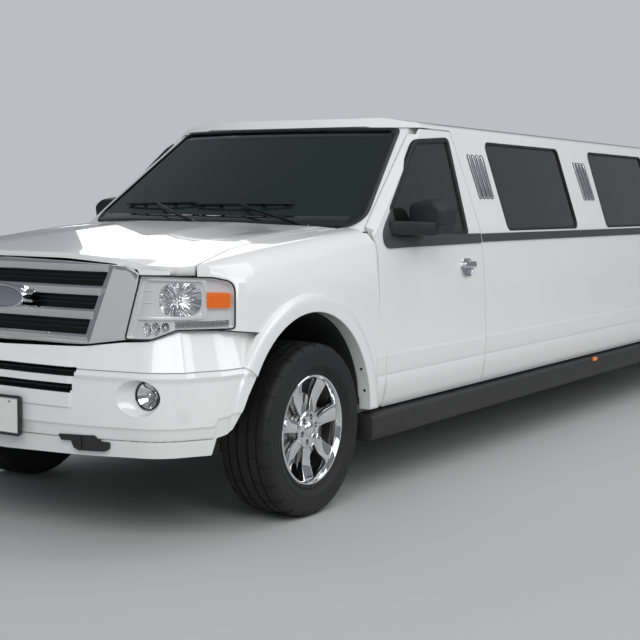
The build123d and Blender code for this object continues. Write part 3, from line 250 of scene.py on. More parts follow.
class Bench:
    """Shapes one piece at a time with Blender's own modelling operators."""

    MERGE_GAP = 0.00005
    FINE_GAP = 0.00002

    @staticmethod
    def clear() -> None:
        """Leave edit mode and deselect everything."""
        active = bpy.context.view_layer.objects.active
        if active is not None and active.mode != "OBJECT":
            bpy.ops.object.mode_set(mode="OBJECT")
        bpy.ops.object.select_all(action="DESELECT")

    @staticmethod
    def focus(*pieces: Piece) -> None:
        """Select only these pieces; the first is the active one."""
        Bench.clear()
        for piece in pieces:
            piece.select_set(True)
        bpy.context.view_layer.objects.active = pieces[0]

    @staticmethod
    @contextmanager
    def editing(piece: Piece, action: str = "SELECT") -> Iterator[None]:
        """Stay in edit mode on one piece for the length of a block.

        Args:
            piece: The piece to edit.
            action: "SELECT" to start with all of its mesh selected, "DESELECT" with none.

        Yields:
            Nothing.
        """
        Bench.focus(piece)
        bpy.ops.object.mode_set(mode="EDIT")
        bpy.ops.mesh.select_all(action=action)
        yield
        bpy.ops.object.mode_set(mode="OBJECT")

    @staticmethod
    def draw_out(height: float) -> None:
        """In edit mode, extrude what is selected along w and turn all faces outwards."""
        bpy.ops.mesh.extrude_region_move(TRANSFORM_OT_translate={"value": (0.0, 0.0, height)})
        bpy.ops.mesh.select_all(action="SELECT")
        bpy.ops.mesh.normals_make_consistent(inside=False)

    @staticmethod
    def pick_faces(piece: Piece, wanted: Callable[[Vector, Vector], bool]) -> None:
        """In edit mode, add faces to the selection.

        Args:
            piece: The piece in edit mode.
            wanted: Says of a face's middle and normal whether it is picked.
        """
        shape = bmesh.from_edit_mesh(piece.data)
        for face in shape.faces:
            if wanted(face.calc_center_median(), face.normal):
                face.select_set(True)
        bmesh.update_edit_mesh(piece.data)

    @staticmethod
    def named(name: str) -> Piece:
        """Name the primitive that was just added, and return it."""
        piece = bpy.context.view_layer.objects.active
        piece.name = name
        piece.data.name = name
        return piece

    @staticmethod
    def settle(piece: Piece) -> Piece:
        """Put a piece's place into its mesh, merge doubles and turn its faces outwards.

        Args:
            piece: The piece to finish.

        Returns:
            The same piece.
        """
        Bench.focus(piece)
        bpy.ops.object.transform_apply(location=True, rotation=True, scale=True)
        with Bench.editing(piece):
            bpy.ops.mesh.remove_doubles(threshold=Bench.MERGE_GAP)
            bpy.ops.mesh.normals_make_consistent(inside=False)
        return piece

    @staticmethod
    def modify(piece: Piece, kind: str, **settings: object) -> Piece:
        """Add a modifier with its settings and apply it.

        Args:
            piece: The piece to change.
            kind: The modifier's type.
            **settings: Values for the modifier.

        Returns:
            The same piece.
        """
        Bench.focus(piece)
        modifier = piece.modifiers.new(kind.lower(), kind)
        for key, value in settings.items():
            setattr(modifier, key, value)
        bpy.ops.object.modifier_apply(modifier=modifier.name)
        return piece

    @staticmethod
    def bevel(piece: Piece, width: float, segments: int = 2, angle: float = 35.0) -> Piece:
        """Round the edges that are sharper than an angle."""
        return Bench.modify(piece, "BEVEL", width=width, segments=segments, limit_method="ANGLE",
                            angle_limit=radians(angle), use_clamp_overlap=True, harden_normals=False)

    @staticmethod
    def smooth(piece: Piece, angle: float = 35.0) -> Piece:
        """Shade a piece smooth, apart from edges sharper than an angle."""
        Bench.focus(piece)
        bpy.ops.object.shade_smooth_by_angle(angle=radians(angle))
        return piece

    @staticmethod
    def loop(name: str, points: Sequence[Pair], filled: bool, w: float = 0.0) -> Piece:
        """Flat outline in (u, v) at a height w, from a circle whose corners are moved to their places.

        Args:
            name: The piece's name.
            points: The outline.
            filled: Whether a face closes it.
            w: Its height.

        Returns:
            The new piece.
        """
        Bench.clear()
        bpy.ops.mesh.primitive_circle_add(vertices=len(points), radius=1.0, fill_type="NGON" if filled else "NOTHING")
        piece = Bench.named(name)
        for vertex, (u, v) in zip(piece.data.vertices, points):
            vertex.co = (u, v, w)
        return piece

    @staticmethod
    def plate(name: str, points: Sequence[Pair], low: float, high: float) -> Piece:
        """Flat plate with an outline in (u, v), drawn out from w = low to w = high.

        Args:
            name: The piece's name.
            points: The outline.
            low: Where its back lies.
            high: Where its face lies.

        Returns:
            The new piece.
        """
        piece = Bench.loop(name, points, True, low)
        with Bench.editing(piece):
            Bench.draw_out(high - low)
        return piece

    @staticmethod
    def ring(name: str, rows: Sequence[Corner], inner: float, outer: float, low: float, high: float,
             steps: int = 6) -> Piece:
        """Band that follows an outline, between two offsets and two heights.

        Args:
            name: The piece's name.
            rows: The outline's corners as (u, v, radius).
            inner: Offset of its inner edge.
            outer: Offset of its outer edge.
            low: Where its back lies.
            high: Where its face lies.
            steps: Runs in each corner.

        Returns:
            The new piece.
        """
        inside = Bench.loop(name, rounded(offset(rows, inner), steps), False, low)
        outside = Bench.loop(name + "_outer", rounded(offset(rows, outer), steps), False, low)
        Bench.focus(inside, outside)
        bpy.ops.object.join()
        with Bench.editing(inside):
            bpy.ops.mesh.bridge_edge_loops()
            bpy.ops.mesh.select_all(action="SELECT")
            Bench.draw_out(high - low)
        return inside

    @staticmethod
    def slices(piece: Piece, axis: int, places: Iterable[float]) -> Piece:
        """Divide a piece's faces by planes across one axis.

        Args:
            piece: The piece to divide.
            axis: 0 for u, 1 for v, 2 for w.
            places: Where the planes lie.

        Returns:
            The same piece.
        """
        normal = Vector((0.0, 0.0, 0.0))
        normal[axis] = 1.0
        with Bench.editing(piece):
            for place in places:
                bpy.ops.mesh.select_all(action="SELECT")
                bpy.ops.mesh.bisect(plane_co=normal * place, plane_no=normal)
        return piece

    @staticmethod
    def sliced_evenly(piece: Piece, axis: int, pitch: float) -> Piece:
        """Divide a piece's faces at an even pitch along one axis."""
        values = [vertex.co[axis] for vertex in piece.data.vertices]
        low, high = min(values), max(values)
        count = max(int((high - low) / pitch), 1)
        return Bench.slices(piece, axis, [low + (high - low) * (i + 0.5) / count for i in range(count)])

    @staticmethod
    def carry(piece: Piece, place: Place) -> Piece:
        """Move every point of a flat-made piece to its place on the car.

        Args:
            piece: The piece to move.
            place: Gives the place of a point (u, v, w).

        Returns:
            The same piece, its faces turned outwards.
        """
        for vertex in piece.data.vertices:
            vertex.co = place(vertex.co)
        return Bench.settle(piece)

    @staticmethod
    def lathe(name: str, profile: Sequence[Pair], steps: int = 48, closed: bool = True) -> Piece:
        """Turned piece about the w axis, from a profile of (radius, w) points.

        Args:
            name: The piece's name.
            profile: The profile's points.
            steps: Divisions round the axis.
            closed: Whether the last point joins the first.

        Returns:
            The new piece.
        """
        Bench.clear()
        bpy.ops.mesh.primitive_circle_add(vertices=len(profile), radius=1.0, fill_type="NOTHING")
        piece = Bench.named(name)
        for vertex, (radius, w) in zip(piece.data.vertices, profile):
            vertex.co = (radius, 0.0, w)
        with Bench.editing(piece):
            if not closed:
                shape = bmesh.from_edit_mesh(piece.data)
                shape.verts.ensure_lookup_table()
                ends = {shape.verts[0], shape.verts[len(profile) - 1]}
                for edge in list(shape.edges):
                    if set(edge.verts) == ends:
                        shape.edges.remove(edge)
                bmesh.update_edit_mesh(piece.data)
                bpy.ops.mesh.select_all(action="SELECT")
            bpy.ops.mesh.spin(steps=steps, angle=2 * pi, center=(0.0, 0.0, 0.0), axis=(0.0, 0.0, 1.0))
            bpy.ops.mesh.select_all(action="SELECT")
            bpy.ops.mesh.remove_doubles(threshold=Bench.FINE_GAP)
            bpy.ops.mesh.normals_make_consistent(inside=False)
        return piece

    @staticmethod
    def copy(piece: Piece, name: str, matrix: Matrix) -> Piece:
        """Copy a piece with its own mesh and move the copy's points by a matrix.

        Args:
            piece: The piece to copy.
            name: The copy's name.
            matrix: How its points move.

        Returns:
            The copy.
        """
        twin = piece.copy()
        twin.data = piece.data.copy()
        twin.name = name
        twin.data.name = name
        bpy.context.scene.collection.objects.link(twin)
        twin.data.transform(matrix)
        if matrix.determinant() < 0:
            twin.data.flip_normals()
        return twin

    @staticmethod
    def mirrored(piece: Piece, name: str) -> Piece:
        """Copy a piece to the other side of the car."""
        return Bench.copy(piece, name, Matrix.Scale(-1.0, 4, Vector((1.0, 0.0, 0.0))))

    @staticmethod
    def join(name: str, pieces: Sequence[Piece]) -> Piece:
        """Make one piece of several."""
        Bench.focus(*pieces)
        if len(pieces) > 1:
            bpy.ops.object.join()
        return Bench.named(name)

    @staticmethod
    def cut(piece: Piece, cutter: Piece) -> None:
        """Cut one closed piece away from another, and remove what cut it."""
        Bench.modify(piece, "BOOLEAN", operation="DIFFERENCE", object=cutter, solver="EXACT")
        bpy.data.objects.remove(cutter, do_unlink=True)

    @staticmethod
    def block(name: str, low: Point, high: Point, edge: float = 0.0, segments: int = 3) -> Piece:
        """Box between two corners, with rounded edges.

        Args:
            name: The piece's name.
            low: Its lowest corner.
            high: Its highest corner.
            edge: Radius of its edges.
            segments: Runs in each rounded edge.

        Returns:
            The new piece.
        """
        Bench.clear()
        middle = (Vector(low) + Vector(high)) / 2
        bpy.ops.mesh.primitive_cube_add(size=1.0, location=middle, scale=Vector(high) - Vector(low))
        piece = Bench.named(name)
        Bench.focus(piece)
        bpy.ops.object.transform_apply(location=True, rotation=True, scale=True)
        if edge:
            Bench.bevel(piece, edge, segments)
        return piece

    @staticmethod
    def tube(name: str, points: Sequence[Point], radius: float, ring: int = 4) -> Piece:
        """Round bar that follows a line of points.

        Args:
            name: The piece's name.
            points: The line.
            radius: The bar's radius.
            ring: Fineness of its section.

        Returns:
            The new piece.
        """
        Bench.clear()
        curve = bpy.data.curves.new(name, "CURVE")
        curve.dimensions = "3D"
        spline = curve.splines.new("POLY")
        spline.points.add(len(points) - 1)
        for point, spot in zip(spline.points, points):
            point.co = (*spot, 1.0)
        curve.bevel_depth = radius
        curve.bevel_resolution = ring
        curve.use_fill_caps = True
        piece = bpy.data.objects.new(name, curve)
        bpy.context.scene.collection.objects.link(piece)
        Bench.focus(piece)
        bpy.ops.object.convert(target="MESH")
        return Bench.settle(Bench.named(name))

    @staticmethod
    def merged_copy(node: str, name: str, angle: float = 30.0) -> Piece:
        """Smoothly shaded copy of a frame node, its loose triangles merged.

        Args:
            node: The frame's node.
            name: The copy's name.
            angle: Edges sharper than this stay crisp.

        Returns:
            The new piece.
        """
        Bench.clear()
        mesh = NODES[node].data.copy()
        mesh.materials.clear()
        piece = bpy.data.objects.new(name, mesh)
        bpy.context.scene.collection.objects.link(piece)
        Bench.focus(piece)
        bpy.ops.mesh.customdata_custom_splitnormals_clear()
        with Bench.editing(piece):
            bpy.ops.mesh.remove_doubles(threshold=Bench.FINE_GAP)
        return Bench.smooth(piece, angle)


def on_side(side: Side) -> Place:
    """Place on the body side: u runs back from the front axle, v up, w outwards from the skin."""
    def place(point: Vector) -> Vector:
        """World place of one point."""
        return Vector((side.value * (body_half_width(point.y) + point.z), station(point.x), point.y))
    return place


def on_nose(path: PlanPath) -> Place:
    """Place on the nose: u runs round its plan line, v up, w outwards."""
    def place(point: Vector) -> Vector:
        """World place of one point."""
        spot, out = path.at(point.x)
        return Vector((spot.x + out.x * point.z, station(spot.y + out.y * point.z), point.y))
    return place


class Graph:
    """Adds nodes to one node tree, each with its settings and with what feeds it."""

    def __init__(self, tree: bpy.types.NodeTree) -> None:
        """Work on this tree."""
        self.tree = tree

    def add(self, kind: str, inputs: dict[str | int, object] | None = None, **settings: object) -> bpy.types.Node:
        """Add one node.

        Args:
            kind: The node's type.
            inputs: For each of its inputs, a plain value or the output socket that feeds it.
            **settings: The node's own settings.

        Returns:
            The new node.
        """
        node = self.tree.nodes.new(kind)
        for key, value in settings.items():
            setattr(node, key, value)
        for key, value in (inputs or {}).items():
            if isinstance(value, bpy.types.NodeSocket):
                self.tree.links.new(value, node.inputs[key])
            else:
                node.inputs[key].default_value = value
        return node

    def math(self, operation: str, *values: object, clamp: bool = False) -> bpy.types.NodeSocket:
        """Add a sum on plain values or sockets, and give its result."""
        return self.add("ShaderNodeMath", dict(enumerate(values)), operation=operation, use_clamp=clamp).outputs[0]


class Relief:
    """Shared node groups: patchy colour, uneven roughness and a fine relief, with dust low down."""

    COLOUR, NUMBER, NORMAL = "NodeSocketColor", "NodeSocketFloat", "NodeSocketVector"
    INPUTS = (("Colour", COLOUR, (0.5, 0.5, 0.5, 1.0)), ("Patches", NUMBER, 0.05), ("Patch scale", NUMBER, 3.0),
              ("Roughness", NUMBER, 0.4), ("Spread", NUMBER, 0.05), ("Relief scale", NUMBER, 200.0),
              ("Relief depth", NUMBER, 0.1), ("Dust", NUMBER, 0.0), ("Dust colour", COLOUR, (0.32, 0.29, 0.25, 1.0)))
    OUTPUTS = (("Colour", COLOUR), ("Roughness", NUMBER), ("Normal", NORMAL))
    DUST_STARTS = 0.75
    DUST_FULL = 0.15
    DUST_DULLS = 0.4
    BUMP_HEIGHT = 0.0012
    groups: dict[Pattern, bpy.types.NodeTree] = {}

    @classmethod
    def group(cls, pattern: Pattern) -> bpy.types.NodeTree:
        """Give the group for a pattern, building it the first time."""
        if pattern not in cls.groups:
            cls.groups[pattern] = cls.built(pattern)
        return cls.groups[pattern]

    @classmethod
    def built(cls, pattern: Pattern) -> bpy.types.NodeTree:
        """Build the group for a pattern.

        Args:
            pattern: The fine relief that the group makes.

        Returns:
            The new node group.
        """
        tree = bpy.data.node_groups.new(f"surface_{pattern.value}", "ShaderNodeTree")
        for name, kind, value in cls.INPUTS:
            tree.interface.new_socket(name=name, in_out="INPUT", socket_type=kind).default_value = value
        for name, kind in cls.OUTPUTS:
            tree.interface.new_socket(name=name, in_out="OUTPUT", socket_type=kind)
        graph = Graph(tree)
        given = graph.add("NodeGroupInput").outputs
        spot = graph.add("ShaderNodeTexCoord").outputs["Object"]
        patches = graph.add("ShaderNodeTexNoise", {"Vector": spot, "Scale": given["Patch scale"], "Detail": 6.0})
        centred = graph.math("SUBTRACT", patches.outputs["Fac"], 0.5)
        shade = graph.math("MULTIPLY_ADD", centred, given["Patches"], 1.0)
        tinted = graph.add("ShaderNodeVectorMath", operation="SCALE")
        tree.links.new(given["Colour"], tinted.inputs[0])
        tree.links.new(shade, tinted.inputs["Scale"])
        height = graph.add("ShaderNodeSeparateXYZ", {0: spot}).outputs["Z"]
        low = graph.add("ShaderNodeMapRange", {"Value": height, "From Min": cls.DUST_STARTS, "From Max": cls.DUST_FULL,
                                               "To Min": 0.0, "To Max": 1.0}).outputs["Result"]
        speckle = graph.add("ShaderNodeTexNoise", {"Vector": spot, "Scale": 9.0, "Detail": 10.0, "Roughness": 0.72})
        veil = graph.math("MULTIPLY", low, speckle.outputs["Fac"])
        dust = graph.math("MULTIPLY", veil, given["Dust"], clamp=True)
        mixed = graph.add("ShaderNodeMix", {"Factor": dust, "A": tinted.outputs[0], "B": given["Dust colour"]},
                          data_type="RGBA")
        rough = graph.math("MULTIPLY_ADD", centred, given["Spread"], given["Roughness"])
        dulled = graph.math("MULTIPLY_ADD", dust, cls.DUST_DULLS, rough, clamp=True)
        bump = graph.add("ShaderNodeBump", {"Height": cls.grain(graph, pattern, spot, given["Relief scale"]),
                                            "Strength": given["Relief depth"], "Distance": cls.BUMP_HEIGHT})
        graph.add("NodeGroupOutput", {"Colour": mixed.outputs["Result"], "Roughness": dulled,
                                      "Normal": bump.outputs["Normal"]})
        return tree

    @staticmethod
    def grain(graph: Graph, pattern: Pattern, spot: bpy.types.NodeSocket,
              scale: bpy.types.NodeSocket) -> bpy.types.NodeSocket:
        """Add the nodes of a pattern's height.

        Args:
            graph: The tree that they go to.
            pattern: The fine relief.
            spot: The piece's own coordinates.
            scale: How fine the relief is.

        Returns:
            The height.
        """
        drawn = (1.0, 0.03, 1.0) if pattern is Pattern.BRUSHED else (1.0, 1.0, 1.0)
        place = graph.add("ShaderNodeMapping", {"Vector": spot, "Scale": drawn}).outputs["Vector"]
        fed = {"Vector": place, "Scale": scale}
        if pattern is Pattern.PEBBLE:
            return graph.add("ShaderNodeTexVoronoi", fed, feature="SMOOTH_F1").outputs["Distance"]
        detail, roughness = (8.0, 0.8) if pattern is Pattern.FIBRE else (2.0, 0.5)
        return graph.add("ShaderNodeTexNoise", {**fed, "Detail": detail, "Roughness": roughness}).outputs["Fac"]


@dataclass(frozen=True)
class Finish:
    """One finish of the car: its colour, gloss and fine relief."""

    name: str
    colour: tuple[float, float, float]
    roughness: float
    metallic: float = 0.0
    coat: float = 0.0
    sheen: float = 0.0
    glow: float = 0.0
    alpha: float = 1.0
    pattern: Pattern = Pattern.SMOOTH
    patches: float = 0.06
    patch_scale: float = 3.0
    spread: float = 0.05
    relief_scale: float = 250.0
    relief_depth: float = 0.04
    dust: float = 0.0

    def material(self) -> bpy.types.Material:
        """Give the finish's material, building it the first time."""
        known = bpy.data.materials.get(self.name)
        return known if known else self.build()

    def build(self) -> bpy.types.Material:
        """Build the material: one shader fed by the shared surface group."""
        material = bpy.data.materials.new(self.name)
        material.use_nodes = True
        tree = material.node_tree
        shader = tree.nodes["Principled BSDF"]
        surface = Graph(tree).add("ShaderNodeGroup", {
            "Colour": (*self.colour, 1.0), "Patches": self.patches, "Patch scale": self.patch_scale,
            "Roughness": self.roughness, "Spread": self.spread, "Relief scale": self.relief_scale,
            "Relief depth": self.relief_depth, "Dust": self.dust}, node_tree=Relief.group(self.pattern))
        tree.links.new(surface.outputs["Colour"], shader.inputs["Base Color"])
        tree.links.new(surface.outputs["Roughness"], shader.inputs["Roughness"])
        if self.relief_depth:
            tree.links.new(surface.outputs["Normal"], shader.inputs["Normal"])
        values = {"Metallic": self.metallic, "Coat Weight": self.coat, "Coat Roughness": 0.03, "IOR": 1.5,
                  "Sheen Weight": self.sheen, "Alpha": self.alpha}
        if self.glow:
            values |= {"Emission Color": (*self.colour, 1.0), "Emission Strength": self.glow}
        for socket, value in values.items():
            shader.inputs[socket].default_value = value
        material.diffuse_color = (*self.colour, 1.0)
        return material

    def put(self, *pieces: Piece) -> None:
        """Give a material to whole pieces."""
        for piece in pieces:
            piece.data.materials.clear()
            piece.data.materials.append(self.material())


PAINT = Finish("white_paint", (0.80, 0.80, 0.79), 0.30, coat=1.0, pattern=Pattern.ORANGE_PEEL, patches=0.02,
               relief_scale=180.0, relief_depth=0.01, dust=0.25)
CHROME = Finish("chrome_plate", (0.80, 0.81, 0.82), 0.045, metallic=1.0, patches=0.04, relief_depth=0.004)
SATIN_SILVER = Finish("satin_silver", (0.60, 0.61, 0.62), 0.25, metallic=1.0, pattern=Pattern.BRUSHED,
                      relief_scale=900.0, relief_depth=0.05)
BLACK_PLASTIC = Finish("textured_black", (0.012, 0.012, 0.013), 0.52, pattern=Pattern.PEBBLE, patches=0.3,
                       relief_scale=900.0, relief_depth=0.35, dust=0.10)
GLOSS_BLACK = Finish("gloss_black", (0.006, 0.006, 0.007), 0.10, coat=0.6, patches=0.2, relief_depth=0.01)
RUBBER = Finish("seal_rubber", (0.010, 0.010, 0.011), 0.42, patches=0.3, relief_scale=600.0, relief_depth=0.06)
GREY_PLASTIC = Finish("moulded_grey", (0.115, 0.115, 0.12), 0.5, pattern=Pattern.PEBBLE, relief_scale=900.0,
                      relief_depth=0.25)
STEEL = Finish("bare_steel", (0.42, 0.41, 0.40), 0.38, metallic=1.0, pattern=Pattern.BRUSHED, patches=0.25,
               relief_scale=700.0, relief_depth=0.1, dust=0.3)
FRAME_PAINT = Finish("frame_black", (0.022, 0.022, 0.023), 0.55, pattern=Pattern.ORANGE_PEEL, patches=0.5,
                     relief_scale=300.0, relief_depth=0.2, dust=0.6)
CAST_IRON = Finish("rough_iron", (0.11, 0.10, 0.095), 0.7, metallic=0.6, pattern=Pattern.FIBRE, patches=0.4,
                   relief_scale=320.0, relief_depth=0.5, dust=0.4)
TYRE_RUBBER = Finish("tyre_rubber", (0.0065, 0.0065, 0.0070), 0.66, pattern=Pattern.FIBRE, patches=0.3,
                     relief_scale=420.0, relief_depth=0.15, dust=0.035)
LEATHER = Finish("black_leather", (0.022, 0.021, 0.021), 0.46, pattern=Pattern.PEBBLE, patches=0.2,
                 relief_scale=420.0, relief_depth=0.35, sheen=0.1)
CARPET = Finish("dark_carpet", (0.022, 0.022, 0.024), 0.95, pattern=Pattern.FIBRE, patches=0.4,
                relief_scale=700.0, relief_depth=1.0, sheen=0.3)
HEADLINER = Finish("headliner_cloth", (0.30, 0.29, 0.27), 0.9, pattern=Pattern.FIBRE, patches=0.08,
                   relief_scale=900.0, relief_depth=0.5, sheen=0.2)
LENS = Finish("clear_lens", (0.03, 0.032, 0.034), 0.01, alpha=0.05, patches=0.0, spread=0.0, relief_depth=0.0)
REFLECTOR = Finish("lamp_reflector", (0.88, 0.89, 0.90), 0.10, metallic=1.0, patches=0.03, relief_scale=60.0,
                   relief_depth=0.05)
LAMP_BODY = Finish("lamp_inner_silver", (0.84, 0.85, 0.86), 0.24, metallic=0.35, patches=0.04, relief_depth=0.02)
AMBER = Finish("amber_lens", (0.90, 0.19, 0.010), 0.16, coat=1.0, glow=0.04, patches=0.05, relief_scale=400.0,
               relief_depth=0.15)
RED_LENS = Finish("red_lens", (0.55, 0.008, 0.010), 0.12, coat=1.0, glow=0.05, patches=0.06, relief_scale=350.0,
                  relief_depth=0.15)
SCREEN_GLASS = Finish("green_tint_pane", (0.012, 0.024, 0.020), 0.02, alpha=0.80, patches=0.1, spread=0.01,
                      relief_depth=0.0)
TINTED_GLASS = Finish("tinted_glass", (0.018, 0.020, 0.014), 0.02, alpha=0.86, coat=1.0, patches=0.1, spread=0.01,
                      relief_depth=0.0)
DARK_GLASS = Finish("smoked_pane", (0.016, 0.015, 0.012), 0.02, alpha=0.93, coat=1.0, patches=0.1, spread=0.01,
                    relief_depth=0.0)
PLATE_WHITE = Finish("plate_white", (0.72, 0.72, 0.70), 0.35, coat=0.4, patches=0.06, patch_scale=20.0)
BADGE_GREY = Finish("badge_silver_grey", (0.30, 0.345, 0.40), 0.24, metallic=0.75, coat=0.8, patches=0.15,
                    patch_scale=60.0, pattern=Pattern.FIBRE, relief_scale=500.0, relief_depth=0.2)
TRIM_GREY = Finish("trim_dark_grey", (0.050, 0.050, 0.053), 0.38, pattern=Pattern.PEBBLE, patches=0.1,
                   relief_scale=1200.0, relief_depth=0.12)
LINER_BLACK = Finish("liner_black", (0.010, 0.010, 0.010), 0.85, pattern=Pattern.FIBRE, patches=0.3,
                     relief_scale=260.0, relief_depth=0.4, dust=0.12)
DASH_BLACK = Finish("dash_black", (0.014, 0.014, 0.015), 0.6, pattern=Pattern.PEBBLE, patches=0.1, relief_scale=700.0,
                    relief_depth=0.2)
FLOOR = Finish("studio_floor", (0.44, 0.44, 0.435), 0.85, patches=0.04, patch_scale=1.2, relief_scale=220.0,
               relief_depth=0.25)

NODE_FINISH = {
    Slot.PAINT: PAINT, Slot.BLACK_PLASTIC: BLACK_PLASTIC, Slot.GREY_PLASTIC: GREY_PLASTIC, Slot.CHROME: CHROME,
    Slot.STEEL: STEEL, Slot.FRAME_STEEL: FRAME_PAINT, Slot.CAST_IRON: CAST_IRON, Slot.TYRE: TYRE_RUBBER,
    Slot.LEATHER: LEATHER, Slot.LAMP_GLASS: LENS, Slot.RED_GLASS: RED_LENS, Slot.SCREEN_GLASS: SCREEN_GLASS,
    Slot.DARK_GLASS: DARK_GLASS,
}


def mount(piece: Piece, body: str, slot: Slot, finish: Finish | None = None,
          replaces: Sequence[str] = ()) -> Piece:
    """Let a finished piece ride on a body and give it a finish.

    Args:
        piece: The piece.
        body: The body that it moves with.
        slot: The record's material slot; not used.
        finish: The finish of the whole piece, if it has no materials yet.
        replaces: Frame nodes that it stands for.

    Returns:
        The same piece.
    """
    if finish is not None:
        finish.put(piece)
    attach(piece, body)
    if replaces:
        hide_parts(*replaces)
    return piece


def mount_both(piece: Piece, slot: Slot, finish: Finish, bodies: tuple[str, str] = ("root", "root"),
               nodes: Sequence[str] = ()) -> None:
    """Mount a left-hand piece and its mirror image.

    Args:
        piece: The left-hand piece.
        slot: The record's material slot of both.
        finish: The finish of both.
        bodies: The bodies that the left and the right one move with.
        nodes: The frame node that the left one stands for, and then the right one's, if any.
    """
    finish.put(piece)
    twin = Bench.mirrored(piece, f"{piece.name}_right")
    mount(piece, bodies[0], slot, None, nodes[:1])
    mount(twin, bodies[1], slot, None, nodes[1:])


def dress_nodes(record: dict) -> None:
    """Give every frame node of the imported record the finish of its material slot."""
    for part in record["subparts"]:
        NODE_FINISH[Slot(part["material_slot"])].put(NODES[part["node"]])


@dataclass(frozen=True)
class SoftBox:
    """One rectangular lamp of the studio."""

    name: str
    spot: Point
    target: Point
    wide: float
    tall: float
    watts: float

    def build(self) -> None:
        """Hang the lamp and aim it at its target."""
        lamp = bpy.data.lights.new(self.name, "AREA")
        lamp.shape = "RECTANGLE"
        lamp.size = self.wide
        lamp.size_y = self.tall
        lamp.energy = self.watts
        holder = bpy.data.objects.new(self.name, lamp)
        holder.location = self.spot
        holder.rotation_euler = (Vector(self.target) - Vector(self.spot)).to_track_quat("-Z", "Y").to_euler()
        bpy.context.scene.collection.objects.link(holder)


@dataclass
class Studio:
    """Pale floor, soft lamps and the camera at the photograph's place."""

    floor_size: float = 60.0
    eye: Point = (4.24932, FRONT_AXLE_Y - 5.15963, 1.46081)
    yaw: float = 0.561799
    pitch: float = 0.088986
    roll: float = 0.0091055
    lens: float = 75.09
    sensor: float = 36.0
    sky: tuple[float, float, float, float] = (0.50, 0.515, 0.54, 1.0)
    mirrored_sky: tuple[float, float, float, float] = (0.19, 0.205, 0.23, 1.0)
    boxes: tuple[SoftBox, ...] = (
        SoftBox("key_box", (6.0, -10.5, 7.5), (0.0, -2.0, 0.6), 9.0, 6.0, 600.0),
        SoftBox("side_box", (11.0, 2.0, 5.0), (0.0, 1.0, 0.8), 9.0, 3.0, 200.0),
        SoftBox("top_box", (4.8, 2.0, 9.0), (0.0, 0.0, 0.8), 6.0, 12.0, 300.0),
        SoftBox("back_box", (-7.0, 8.0, 6.0), (0.0, 1.0, 0.8), 6.0, 6.0, 180.0),
    )

    def build(self) -> None:
        """Set up the whole studio."""
        bpy.context.scene.view_settings.view_transform = "Standard"
        self.floor()
        self.light()
        self.camera()

    def floor(self) -> None:
        """Lay the floor."""
        Bench.clear()
        bpy.ops.mesh.primitive_grid_add(x_subdivisions=8, y_subdivisions=8, size=self.floor_size)
        floor = Bench.named("studio_floor")
        FLOOR.put(floor)

    def light(self) -> None:
        """Light the car from a pale sky, darker in reflections, and from the soft boxes."""
        world = bpy.data.worlds.new("studio_world")
        bpy.context.scene.world = world
        world.use_nodes = True
        shade = world.node_tree.nodes["Background"]
        shade.inputs["Strength"].default_value = 1.0
        graph = Graph(world.node_tree)
        mirrored = graph.add("ShaderNodeLightPath").outputs["Is Glossy Ray"]
        mix = graph.add("ShaderNodeMix", {"Factor": mirrored, "A": self.sky, "B": self.mirrored_sky}, data_type="RGBA")
        world.node_tree.links.new(mix.outputs["Result"], shade.inputs["Color"])
        for soft_box in self.boxes:
            soft_box.build()

    def camera(self) -> None:
        """Stand the camera where the photograph was taken."""
        forward = Vector((-sin(self.yaw) * cos(self.pitch), cos(self.yaw) * cos(self.pitch), -sin(self.pitch)))
        flat_right = Vector((cos(self.yaw), sin(self.yaw), 0.0))
        flat_up = flat_right.cross(forward)
        right = flat_right * cos(self.roll) + flat_up * sin(self.roll)
        up = flat_up * cos(self.roll) - flat_right * sin(self.roll)
        data = bpy.data.cameras.new("photo_camera")
        data.lens = self.lens
        data.sensor_width = self.sensor
        camera = bpy.data.objects.new("photo_camera", data)
        turn = Matrix((right, up, -forward)).transposed().to_4x4()
        camera.matrix_world = Matrix.Translation(Vector(self.eye)) @ turn
        bpy.context.scene.collection.objects.link(camera)
        bpy.context.scene.camera = camera


